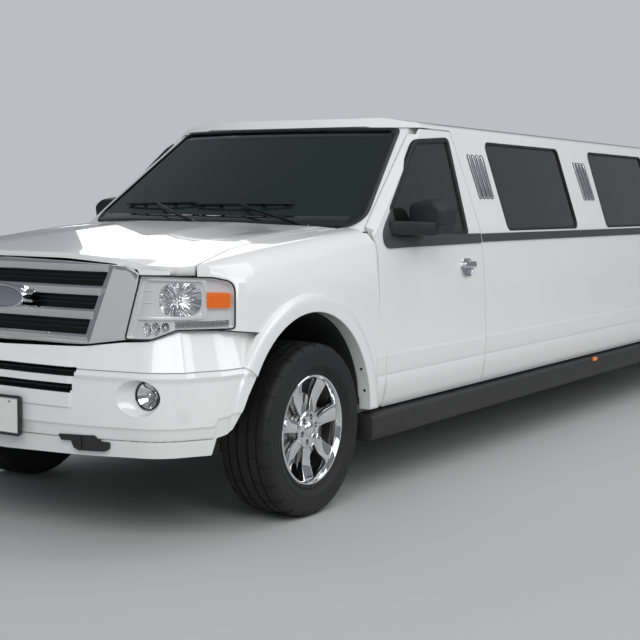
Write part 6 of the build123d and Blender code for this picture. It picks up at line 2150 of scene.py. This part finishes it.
@dataclass
class Screen:
    """Windshield surround, inner mirror, wipers and the cowl panel below them."""

    def build(self) -> None:
        """Build every piece round the windshield."""
        mount(self.border(), "root", Slot.BLACK_PLASTIC, GLOSS_BLACK)
        mount(self.mouldings(), "root", Slot.BLACK_PLASTIC, RUBBER)
        mount(self.cowl_cover(), "root", Slot.BLACK_PLASTIC, BLACK_PLASTIC)
        mount(self.inner_mirror(), "root", Slot.BLACK_PLASTIC, BLACK_PLASTIC)
        self.wipers()

    def laid(self, piece: Piece) -> Piece:
        """Lay a flat-made piece (x across, v up, w out) on the windshield."""
        Bench.sliced_evenly(piece, 0, 0.06)
        Bench.sliced_evenly(piece, 1, 0.10)
        return Bench.smooth(Bench.carry(piece, lambda point: screen_at(point.x, point.y, point.z)), 40)

    def border(self) -> Piece:
        """Dark printed border inside the glass's edge."""
        rows = [(0.862, 1.350, 0.05), (0.698, 1.842, 0.04), (-0.698, 1.842, 0.04), (-0.862, 1.350, 0.05)]
        return self.laid(Bench.ring("screen_border", rows, -0.034, 0.0, 0.0004, 0.0010))

    def mouldings(self) -> Piece:
        """Rubber mouldings up both sides and over the top of the glass."""
        rows = [(0.868, 1.346, 0.05), (0.704, 1.850, 0.035), (-0.704, 1.850, 0.035), (-0.868, 1.346, 0.05)]
        ring = Bench.ring("screen_moulding", rows, -0.004, 0.012, -0.010, 0.008)
        Bench.bevel(ring, 0.002, 2)
        return self.laid(ring)

    def cowl_cover(self) -> Piece:
        """Textured cover between hood and glass, with a slotted air intake."""
        Bench.clear()
        bpy.ops.mesh.primitive_grid_add(x_subdivisions=48, y_subdivisions=10, size=2.0)
        piece = Bench.named("cowl_cover")
        for vertex in piece.data.vertices:
            across, depth = vertex.co.x, (vertex.co.y + 1) / 2
            x = across * 0.80
            hood_edge = 0.300 + 0.150 * (abs(across) ** 2.2)
            foot = screen_at(x, 1.358, 0.012)
            rear = foot.y - FRONT_AXLE_Y
            s = hood_edge - 0.02 + (rear - hood_edge + 0.02) * depth
            z = 1.300 + (foot.z - 1.300) * depth ** 1.6 - 0.01 * abs(across) ** 4
            vertex.co = (x, station(s), z)
        Bench.settle(piece)
        if piece.data.polygons[0].normal.z < 0:
            piece.data.flip_normals()
        Bench.modify(piece, "SOLIDIFY", thickness=0.004, offset=-1.0)
        bars = []
        for number in range(16):
            x = -0.62 + number * 0.036
            foot = screen_at(x, 1.345, 0.018)
            bars.append(Bench.block("bar", (x, foot.y - 0.075, foot.z - 0.040),
                                    (x + 0.018, foot.y - 0.025, foot.z - 0.018), 0.003, 1))
        return Bench.smooth(Bench.join("cowl_cover", [piece, *bars]))

    def inner_mirror(self) -> Piece:
        """Rear-view mirror on its stalk behind the glass."""
        spot = screen_at(0.0, 1.755, -0.020)
        head = Bench.block("mirror_head", (-0.125, spot.y + 0.055, spot.z - 0.085),
                           (0.125, spot.y + 0.085, spot.z - 0.015), 0.014, 4)
        stalk = Bench.tube("stalk", [tuple(spot), (0.0, spot.y + 0.03, spot.z - 0.02),
                                     (0.0, spot.y + 0.06, spot.z - 0.045)], 0.009)
        return Bench.smooth(Bench.join("inner_mirror", [head, stalk]))

    def wipers(self) -> None:
        """Two arms with their pivots, hooks, blades and rubber."""
        arms, blades = [], []
        for pivot in (0.640, 0.070):
            tip = pivot - 0.440
            line = []
            for number in range(9):
                share = number / 8
                x = pivot + (tip - pivot) * share
                z = 1.330 + (1.441 - 1.330) * share ** 0.85
                line.append(tuple(screen_at(x, z, 0.016 + 0.016 * sin(pi * share))))
            arm = Bench.tube("wiper_arm", line, 0.0075, 3)
            base = Vector(line[0])
            hub = Bench.lathe("wiper_hub", [(0.0, 0.022), (0.013, 0.021), (0.019, 0.014), (0.021, -0.02),
                                            (0.0, -0.02)], 24)
            hub.data.transform(Matrix.Translation(base + Vector((0.006, -0.004, -0.006))))
            arms += [arm, hub]
            spine = []
            for number in range(15):
                share = number / 14
                x = tip + 0.28 - 0.56 * share
                spine.append(tuple(screen_at(x, 1.441 - 0.010 * (share - 0.5), 0.013 + 0.007 * sin(pi * share))))
            blades.append(Bench.tube("blade_spine", spine, 0.0058, 3))
            edge = [tuple(screen_at(tip + 0.28 - 0.56 * n / 14, 1.441 - 0.010 * (n / 14 - 0.5), 0.0045))
                    for n in range(15)]
            blades.append(Bench.tube("blade_rubber", edge, 0.0036, 2))
            for share in (0.06, 0.28, 0.72, 0.94):
                x = tip + 0.28 - 0.56 * share
                spot = screen_at(x, 1.441 - 0.010 * (share - 0.5), 0.010)
                half = Vector((0.012, 0.006, 0.008))
                blades.append(Bench.block("claw", tuple(spot - half), tuple(spot + half), 0.003, 1))
        mount(Bench.smooth(Bench.join("wiper_arms", arms)), "root", Slot.BLACK_PLASTIC, GLOSS_BLACK, ("wipers",))
        mount(Bench.smooth(Bench.join("wiper_blades", blades)), "root", Slot.BLACK_PLASTIC, RUBBER)


@dataclass
class Cabin:
    """Seats, benches, dashboard, steering wheel, headliner and carpet."""

    floor: float = 0.630

    def build(self) -> None:
        """Build and dress the cabin."""
        self.seating()
        self.steering()
        self.dashboard()
        self.linings()

    def cushion(self, name: str, rows: Sequence[Corner], low: float, high: float, crown: float,
                channels: int) -> Piece:
        """Crowned pad with sewn channels, from a side outline drawn across the car.

        Args:
            name: The piece's name.
            rows: Side outline as (y, z, radius).
            low: One end across the car.
            high: The other end.
            crown: How far the middle swells.
            channels: Number of sewn channels.

        Returns:
            The new piece.
        """
        piece = Bench.plate(name, rounded(rows, 5), low, high)
        Bench.sliced_evenly(piece, 2, 0.035)
        Bench.modify(piece, "REMESH", mode="VOXEL", voxel_size=0.016)
        Bench.modify(piece, "SMOOTH", factor=0.6, iterations=7)
        values = [v.co.copy() for v in piece.data.vertices]
        lows = [min(v[i] for v in values) for i in range(3)]
        highs = [max(v[i] for v in values) for i in range(3)]
        along = (highs[0] - lows[0]) > (highs[1] - lows[1])
        for vertex in piece.data.vertices:
            u = (vertex.co.x - lows[0]) / (highs[0] - lows[0])
            v = (vertex.co.y - lows[1]) / (highs[1] - lows[1])
            w = (vertex.co.z - lows[2]) / (highs[2] - lows[2])
            run = u if along else v
            swell = crown * sin(pi * min(max(w, 0.0), 1.0)) ** 0.6 * sin(pi * min(max(run, 0.02), 0.98)) ** 0.6
            phase = (w * channels) % 1.0
            sewn = -0.006 * max(1 - abs(phase - 0.5 - 0.5 * (1 if phase > 0.5 else -1)) / 0.12, 0.0)
            edge = 1.0 if 0.05 < w < 0.95 else 0.0
            vertex.co += vertex.normal * (swell + sewn * edge - crown * 0.6)
        Bench.carry(piece, lambda point: Vector((point.z, point.x, point.y)))
        return Bench.smooth(Bench.modify(piece, "SUBSURF", levels=1, render_levels=1), 70)

    def seating(self) -> None:
        """Front pair, long side bench and rear bench, in leather on dark plinths."""
        floor = self.floor
        pads: list[Piece] = []
        plinths = []
        for x in (0.400, -0.400):
            y = station(1.120)
            seat = self.cushion("seat_cushion", [(y, floor + 0.200, 0.03), (y - 0.010, floor + 0.335, 0.06),
                                                 (y + 0.50, floor + 0.305, 0.02), (y + 0.50, floor + 0.200, 0.02)],
                                x - 0.265, x + 0.265, 0.010, 3)
            back = self.cushion("seat_back", [(y + 0.435, floor + 0.260, 0.02), (y + 0.562, floor + 0.845, 0.05),
                                              (y + 0.676, floor + 0.845, 0.05), (y + 0.565, floor + 0.230, 0.02)],
                                x - 0.262, x + 0.262, 0.010, 3)
            head = self.cushion("head_rest", [(y + 0.585, floor + 0.858, 0.02), (y + 0.603, floor + 1.005, 0.035),
                                              (y + 0.685, floor + 1.005, 0.035), (y + 0.665, floor + 0.858, 0.02)],
                                x - 0.125, x + 0.125, 0.006, 1)
            pads += [seat, back, head]
            plinths.append(Bench.block("plinth", (x - 0.21, y + 0.06, floor),
                                       (x + 0.21, y + 0.42, floor + 0.205), 0.02))
            for post in (-0.05, 0.05):
                plinths.append(Bench.tube("post", [(x + post, y + 0.62, floor + 0.82),
                                                   (x + post, y + 0.635, floor + 0.90)], 0.006))
        s0, s1 = station(2.500), station(5.150)
        count = 5
        for number in range(count):
            a = s0 + (s1 - s0) * number / count
            b = s0 + (s1 - s0) * (number + 1) / count
            pads.append(self.turned_pad("bench_cushion", a, b, floor + 0.235, floor + 0.345, -0.845, -0.335))
            pads.append(self.turned_pad("bench_back", a, b, floor + 0.345, floor + 0.625, -0.848, -0.725))
        plinths.append(Bench.block("bench_plinth", (-0.845, s0, floor), (-0.36, s1, floor + 0.235), 0.015))
        ry = REAR_AXLE_Y
        pads.append(self.cushion("rear_cushion", [(ry - 0.135, 0.86, 0.03), (ry - 0.140, 0.990, 0.05),
                                                  (ry + 0.37, 0.955, 0.02), (ry + 0.37, 0.85, 0.02)],
                                 -0.555, 0.555, 0.010, 3))
        pads.append(self.cushion("rear_back", [(ry + 0.385, 0.93, 0.02), (ry + 0.522, 1.445, 0.05),
                                               (ry + 0.636, 1.445, 0.05), (ry + 0.56, 0.90, 0.02)],
                                 -0.555, 0.555, 0.010, 3))
        plinths.append(Bench.block("rear_plinth", (-0.54, ry - 0.12, 0.63), (0.54, ry + 0.53, 0.865), 0.015))
        for number, pad in enumerate(pads):
            pad.name = f"{pad.name.split('.')[0]}_{number}"
            mount(pad, "root", Slot.LEATHER, LEATHER, ("seats",) if number == 0 else ())
        mount(Bench.smooth(Bench.join("seat_plinths", plinths)), "root", Slot.BLACK_PLASTIC, BLACK_PLASTIC)

    def turned_pad(self, name: str, y_low: float, y_high: float, z_low: float, z_high: float, x_low: float,
                   x_high: float) -> Piece:
        """Crowned pad of the side bench between two corners."""
        piece = Bench.block(name, (x_low, y_low + 0.002, z_low), (x_high, y_high - 0.002, z_high), 0.02)
        Bench.modify(piece, "REMESH", mode="VOXEL", voxel_size=0.016)
        Bench.modify(piece, "SMOOTH", factor=0.6, iterations=6)
        for vertex in piece.data.vertices:
            u = (vertex.co.x - x_low) / (x_high - x_low)
            v = (vertex.co.y - y_low) / (y_high - y_low)
            w = (vertex.co.z - z_low) / (z_high - z_low)
            spans = sorted(((u, x_high - x_low), (v, y_high - y_low), (w, z_high - z_low)), key=lambda pair: -pair[1])
            swell = sin(pi * min(max(spans[0][0], 0.0), 1.0)) * sin(pi * min(max(spans[1][0], 0.0), 1.0))
            vertex.co += vertex.normal * (0.010 * swell - 0.007)
        Bench.settle(piece)
        return Bench.smooth(piece, 70)

    def steering(self) -> None:
        """Leather-covered wheel with a padded hub, spokes and its column."""
        tilt = radians(28.0)
        centre = Vector((0.400, station(0.940), 1.130))
        normal = Vector((0.0, cos(tilt), sin(tilt)))
        turn = Matrix.Translation(centre) @ normal.to_track_quat("Z", "Y").to_matrix().to_4x4()
        rim_profile = [(0.190 + 0.0148 * cos(2 * pi * i / 12), 0.0148 * sin(2 * pi * i / 12)) for i in range(12)]
        rim = Bench.lathe("wheel_rim", rim_profile, 56)
        hub = Bench.lathe("wheel_hub", [(0.0, 0.030), (0.040, 0.026), (0.060, 0.012), (0.064, -0.015),
                                        (0.0, -0.020)], 40)
        spokes = []
        for angle in (0.0, pi, 1.5 * pi):
            spoke = Bench.block("wheel_spoke", (0.045, -0.017, -0.008), (0.185, 0.017, 0.008), 0.006)
            spoke.data.transform(Matrix.Rotation(angle, 4, "Z"))
            spokes.append(spoke)
        shaft = Bench.lathe("wheel_shaft", [(0.0, -0.015), (0.0178, -0.015), (0.0178, -0.118), (0.0, -0.118)], 24)
        piece = Bench.join("steering_wheel_leather", [rim, hub, *spokes, shaft])
        piece.data.transform(turn)
        mount(Bench.smooth(Bench.settle(piece)), "steering_wheel", Slot.LEATHER, LEATHER, ("steering_wheel",))

    def dashboard(self) -> None:
        """Instrument hood, vents, centre stack and glove lid on the dashboard's rear face."""
        pieces = [
            Bench.block("cluster_hood", (0.225, station(0.640), 1.205), (0.575, station(0.800), 1.245), 0.018),
            Bench.block("centre_stack", (-0.140, station(0.800), 0.930), (0.140, station(0.852), 1.180), 0.014),
            Bench.block("glove_lid", (-0.640, station(0.815), 0.960), (-0.220, station(0.846), 1.110), 0.012),
        ]
        for x in (-0.72, -0.10, 0.10, 0.72):
            for number in range(4):
                z = 1.125 + number * 0.014
                pieces.append(Bench.block("vane", (x - 0.045, station(0.800), z),
                                          (x + 0.045, station(0.848), z + 0.005), 0.002, 1))
        mount(Bench.smooth(Bench.join("dashboard_trim", pieces)), "root", Slot.BLACK_PLASTIC, GREY_PLASTIC)
        skin = Bench.merged_copy("dashboard", "dashboard_skin", 30.0)
        mount(skin, "root", Slot.BLACK_PLASTIC, DASH_BLACK, ("dashboard",))

    def linings(self) -> None:
        """Carpet on the floor and a headliner under the roof."""
        carpet = Bench.block("carpet", (-0.845, station(0.55), 0.6302), (0.845, REAR_AXLE_Y - 0.53, 0.6380), 0.002, 1)
        mount(Bench.smooth(carpet), "root", Slot.BLACK_PLASTIC, CARPET)
        liner = Bench.block("headliner", (-0.640, station(1.40), 1.872), (0.640, REAR_AXLE_Y + 0.55, 1.880), 0.003, 1)
        mount(Bench.smooth(liner), "root", Slot.GREY_PLASTIC, HEADLINER)


def on_back(*targets: Piece) -> Place:
    """Place on the car's back: u runs across, v up, w backwards from the rearmost surface of the targets."""
    def place(point: Vector) -> Vector:
        """World place of one point."""
        found = -9.0
        for target in targets:
            hit, spot, _, _ = target.ray_cast(Vector((point.x, 12.0, point.y)), Vector((0.0, -1.0, 0.0)))
            if hit:
                found = max(found, spot.y)
        return Vector((point.x, found + point.z, point.y))
    return place


@dataclass
class Rear:
    """Tail lamps, plate recess, handle, wiper, stop lamp, step pad, reflectors and fuel lid."""

    plate: tuple[float, float, float, float] = (0.250, 0.850, 1.030, 0.020)

    def build(self) -> None:
        """Build every piece at the back."""
        self.lamps()
        self.plate_recess()
        self.handle()
        self.window()
        self.stop_lamp()
        self.bumper_trim()
        self.fuel_lid()

    @property
    def gate(self) -> Piece:
        """The liftgate's painted skin."""
        return bpy.data.objects["liftgate_skin"]

    @property
    def pane(self) -> Piece:
        """The liftgate's glass."""
        return bpy.data.objects["liftgate_glass_pane"]

    @property
    def bumper(self) -> Piece:
        """The rear bumper's painted skin."""
        return bpy.data.objects["bumper_rear_skin"]

    def draped(self, piece: Piece, *targets: Piece) -> Piece:
        """Divide a flat-made piece and lay it on the back."""
        Bench.sliced_evenly(piece, 0, 0.05)
        Bench.sliced_evenly(piece, 1, 0.06)
        return Bench.smooth(Bench.carry(piece, on_back(*targets)), 35)

    def lamps(self) -> None:
        """Red lamps with a clear reversing band and fine prism lines."""
        skin = Bench.merged_copy("tail_lamps", "tail_lamp_lenses", 35.0)
        mount(skin, "root", Slot.RED_GLASS, RED_LENS, ("tail_lamps",))
        for side in Side:
            rows = [(side.value * x, z, 0.01)
                    for x, z in ((0.842, 0.985), (0.935, 0.985), (0.925, 1.075), (0.842, 1.075))]
            band = Bench.plate(f"reverse_lamp_{side.word}", rounded(rows, 3), -0.004, 0.002)
            prisms = []
            for number in range(20):
                z = 0.835 + number * 0.024
                if 0.97 < z < 1.09:
                    continue
                prisms.append(Bench.block("prism", (side.value * 0.885 - 0.040, z - 0.003, -0.003),
                                          (side.value * 0.885 + 0.040, z + 0.003, 0.002), 0.001, 1))
            mount(self.draped(band, skin), "root", Slot.LAMP_GLASS, LAMP_BODY)
            mount(self.draped(Bench.join(f"tail_prisms_{side.word}", prisms), skin), "root", Slot.RED_GLASS, RED_LENS)

    def plate_recess(self) -> None:
        """Dark recess with a blank plate, two screws and two small lamps over it."""
        half, low, high, corner = self.plate
        rows = box(half, low, -half, high, corner)
        tray = Bench.plate("gate_recess", rounded(offset(rows, -0.006)), -0.004, 0.002)
        rim = Bench.ring("recess_rim", rows, -0.010, 0.008, -0.004, 0.012)
        Bench.bevel(rim, 0.004, 2)
        mount(self.draped(rim, self.gate), "liftgate", Slot.PAINT, PAINT)
        mount(self.draped(tray, self.gate), "liftgate", Slot.BLACK_PLASTIC, BLACK_PLASTIC)
        small = box(0.152, 0.862, -0.152, 1.012, 0.012)
        blank = Bench.plate("gate_plate", rounded(small), 0.002, 0.006)
        edge = Bench.ring("gate_plate_rim", small, -0.006, -0.002, 0.002, 0.0078)
        mount(self.draped(Bench.join("gate_plate", [blank, edge]), self.gate), "liftgate", Slot.PAINT, PLATE_WHITE)
        lamps = [Bench.block("plate_lamp", (u - 0.025, 1.016, 0.002), (u + 0.025, 1.026, 0.012), 0.003, 2)
                 for u in (-0.2, 0.2)]
        mount(self.draped(Bench.join("plate_lamps", lamps), self.gate), "liftgate", Slot.LAMP_GLASS, LAMP_BODY)

    def handle(self) -> None:
        """Bright bar over the plate and the handle under it."""
        bar = Bench.plate("gate_bar", rounded(box(0.330, 1.052, -0.330, 1.098, 0.016)), -0.002, 0.020)
        Bench.bevel(bar, 0.009, 3)
        mount(self.draped(bar, self.gate), "liftgate", Slot.CHROME, CHROME)
        pull = Bench.block("gate_pull", (-0.070, 1.038, 0.000), (0.070, 1.054, 0.014), 0.005)
        mount(self.draped(pull, self.gate), "liftgate", Slot.BLACK_PLASTIC, GLOSS_BLACK)

    def window(self) -> None:
        """Rubber round the rear window and the wiper on it."""
        rows = [(0.735, 1.270, 0.05), (0.646, 1.738, 0.05), (-0.646, 1.738, 0.05), (-0.735, 1.270, 0.05)]
        seal = Bench.ring("gate_window_seal", rows, -0.012, 0.010, -0.002, 0.005)
        Bench.bevel(seal, 0.002, 2)
        mount(self.draped(seal, self.gate, self.pane), "liftgate", Slot.BLACK_PLASTIC, RUBBER)
        place = on_back(self.pane, self.gate)
        arm = Bench.tube("rear_wiper", [tuple(place(Vector((x, z, w)))) for x, z, w in (
            (0.030, 1.262, 0.020), (-0.060, 1.287, 0.026), (-0.160, 1.312, 0.024), (-0.250, 1.330, 0.016))], 0.0065)
        blade = Bench.tube("rear_blade", [tuple(place(Vector((-0.45 + 0.4 * n / 8, 1.322 + 0.016 * n / 8, 0.010))))
                                          for n in range(9)], 0.005)
        hub = Bench.lathe("rear_hub", [(0.0, 0.034), (0.016, 0.032), (0.024, 0.020), (0.026, -0.004),
                                       (0.0, -0.004)], 28)
        spot = place(Vector((0.030, 1.250, 0.0)))
        outwards = Vector((0.0, 1.0, 0.25))
        hub.data.transform(Matrix.Translation(spot) @ outwards.to_track_quat("Z", "Y").to_matrix().to_4x4())
        mount(Bench.smooth(Bench.join("rear_wiper", [arm, blade, hub])), "liftgate", Slot.BLACK_PLASTIC, GLOSS_BLACK)

    def stop_lamp(self) -> None:
        """Red high-mounted lamp in the roof's rear edge."""
        roof = bpy.data.objects["roof_skin"]
        lens = Bench.plate("stop_lamp", rounded(box(0.165, 1.868, -0.165, 1.890, 0.006)), -0.010, 0.003)
        Bench.bevel(lens, 0.002, 2)
        mount(self.draped(lens, roof), "root", Slot.RED_GLASS, RED_LENS)

    def bumper_trim(self) -> None:
        """Ribbed step pad, lower grille and red reflectors of the rear bumper."""
        edge = REAR_AXLE_Y
        pieces = [Bench.block("step_pad", (-0.560, edge + 1.040, 0.736), (0.560, edge + 1.150, 0.741), 0.003, 2)]
        for number in range(11):
            y = edge + 1.046 + number * 0.0095
            pieces.append(Bench.block("rib", (-0.545, y, 0.740), (0.545, y + 0.004, 0.7435), 0.001, 1))
        mount(Bench.smooth(Bench.join("step_pad", pieces)), "root", Slot.BLACK_PLASTIC, BLACK_PLASTIC)
        rows = [(0.480, 0.462, 0.02), (0.500, 0.530, 0.02), (-0.500, 0.530, 0.02), (-0.480, 0.462, 0.02)]
        low = Bench.plate("rear_valance", rounded(rows), -0.004, 0.003)
        Bench.bevel(low, 0.002, 2)
        mount(self.draped(low, self.bumper), "root", Slot.BLACK_PLASTIC, BLACK_PLASTIC)
        for side in Side:
            rows = [(side.value * x, z, 0.006)
                    for x, z in ((0.640, 0.560), (0.780, 0.560), (0.780, 0.590), (0.640, 0.590))]
            lens = Bench.plate(f"rear_reflector_{side.word}", rounded(rows), -0.004, 0.004)
            Bench.bevel(lens, 0.002, 2)
            mount(self.draped(lens, self.bumper), "root", Slot.RED_GLASS, RED_LENS)

    def fuel_lid(self) -> None:
        """Fuel lid in the right quarter panel with its dark gap."""
        s, z = WHEELBASE + 0.500, 1.075
        rows = [(s - 0.085, z - 0.075, 0.02), (s + 0.085, z - 0.075, 0.02), (s + 0.085, z + 0.075, 0.02),
                (s - 0.085, z + 0.075, 0.02)]
        gap = Bench.ring("fuel_gap", rows, -0.002, 0.002, -0.004, 0.0008)
        lid = Bench.plate("fuel_lid", rounded(offset(rows, -0.002)), -0.004, 0.0016)
        Bench.bevel(lid, 0.001, 2)
        for piece, finish, slot in ((gap, RUBBER, Slot.BLACK_PLASTIC), (lid, PAINT, Slot.PAINT)):
            Bench.sliced_evenly(piece, 1, 0.03)
            mount(Bench.smooth(Bench.carry(piece, on_side(Side.RIGHT))), "root", slot, finish)


@dataclass
class Underbody:
    """Springs, dampers and the exhaust's end under the floor."""

    def build(self) -> None:
        """Build the pieces under the car."""
        coils, dampers = [], []
        for side in Side:
            coils.append(self.coil("coil", side.value * 0.590, station(0.0), 0.50, 0.80, 0.052, 7))
            coils.append(self.coil("coil", side.value * 0.520, REAR_AXLE_Y - 0.02, 0.455, 0.62, 0.055, 4))
            dampers.append(self.damper(side.value * 0.590, station(0.0), 0.36, 0.86))
            dampers.append(self.damper(side.value * 0.430, REAR_AXLE_Y + 0.12, 0.36, 0.66))
        mount(Bench.smooth(Bench.join("coil_springs", coils)), "root", Slot.BLACK_PLASTIC, GLOSS_BLACK)
        mount(Bench.smooth(Bench.join("dampers", dampers)), "root", Slot.STEEL, STEEL)
        tip = Bench.lathe("exhaust_tip", [(0.030, 0.0), (0.034, 0.003), (0.034, 0.14), (0.031, 0.143), (0.028, 0.14),
                                          (0.028, 0.0)], 36)
        line = [(x, REAR_AXLE_Y + y, z) for x, y, z in (
            (-0.300, -0.50, 0.410), (-0.420, -0.10, 0.575), (-0.560, 0.30, 0.550), (-0.680, 0.60, 0.400),
            (-0.700, 0.92, 0.370))]
        smooth_line = []
        for number in range(len(line) - 1):
            before, here = Vector(line[max(number - 1, 0)]), Vector(line[number])
            after, last = Vector(line[number + 1]), Vector(line[min(number + 2, len(line) - 1)])
            for step in range(8):
                t = step / 8
                smooth_line.append(tuple(0.5 * ((2 * here) + (after - before) * t
                                                + (2 * before - 5 * here + 4 * after - last) * t * t
                                                + (3 * here - before - 3 * after + last) * t * t * t)))
        smooth_line.append(line[-1])
        pipe = Bench.tube("tail_pipe", smooth_line, 0.027)
        tip.data.transform(Matrix.Translation(line[-1]) @ Matrix.Rotation(-pi / 2, 4, "X"))
        mount(Bench.smooth(pipe), "root", Slot.STEEL, STEEL)
        mount(Bench.smooth(Bench.settle(tip)), "root", Slot.CHROME, CHROME)

    def coil(self, name: str, x: float, y: float, low: float, high: float, radius: float, turns: int) -> Piece:
        """Upright coil spring.

        Args:
            name: The piece's name.
            x: Its middle, across.
            y: Its middle, along.
            low: Its lower end.
            high: Its upper end.
            radius: Radius of its middle line.
            turns: Number of turns.

        Returns:
            The new piece.
        """
        steps = turns * 20
        line = [(x + radius * cos(2 * pi * turns * i / steps), y + radius * sin(2 * pi * turns * i / steps),
                 low + (high - low) * i / steps) for i in range(steps + 1)]
        return Bench.tube(name, line, 0.0075, 2)

    def damper(self, x: float, y: float, low: float, high: float) -> Piece:
        """Upright telescopic damper."""
        tall = high - low
        profile = [(0.0, low), (0.022, low), (0.025, low + 0.01), (0.025, low + tall * 0.55),
                   (0.010, low + tall * 0.56), (0.010, high), (0.0, high)]
        piece = Bench.lathe("damper", profile, 28)
        piece.data.transform(Matrix.Translation((x, y, 0.0)))
        return Bench.settle(piece)


def main() -> None:
    """Build the car's looks in order and report each sub-assembly."""
    logging.basicConfig(level=logging.INFO, format="%(message)s")
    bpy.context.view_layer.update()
    dress_nodes(FRAME["record"])
    for part in PARTS:
        part.build()
        LOG.info("built %s", type(part).__name__)


with open("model.json") as file:
    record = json.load(file)
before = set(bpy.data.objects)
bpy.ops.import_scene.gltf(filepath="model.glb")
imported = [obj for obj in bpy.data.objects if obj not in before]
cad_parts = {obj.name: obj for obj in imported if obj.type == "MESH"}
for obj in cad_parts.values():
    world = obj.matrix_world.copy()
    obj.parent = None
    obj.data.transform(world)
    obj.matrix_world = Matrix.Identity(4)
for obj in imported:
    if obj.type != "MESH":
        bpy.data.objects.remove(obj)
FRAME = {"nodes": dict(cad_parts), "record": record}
NODES = FRAME["nodes"]
PARTS = (Studio(), Bodywork(), Grille(), Headlamps(), FrontBumper(), Wheels(), SideTrim(), Mirrors(), Arches(),
         LowerSides(), Screen(), Cabin(), Rear(), Underbody())

if __name__ == "__main__":
    main()
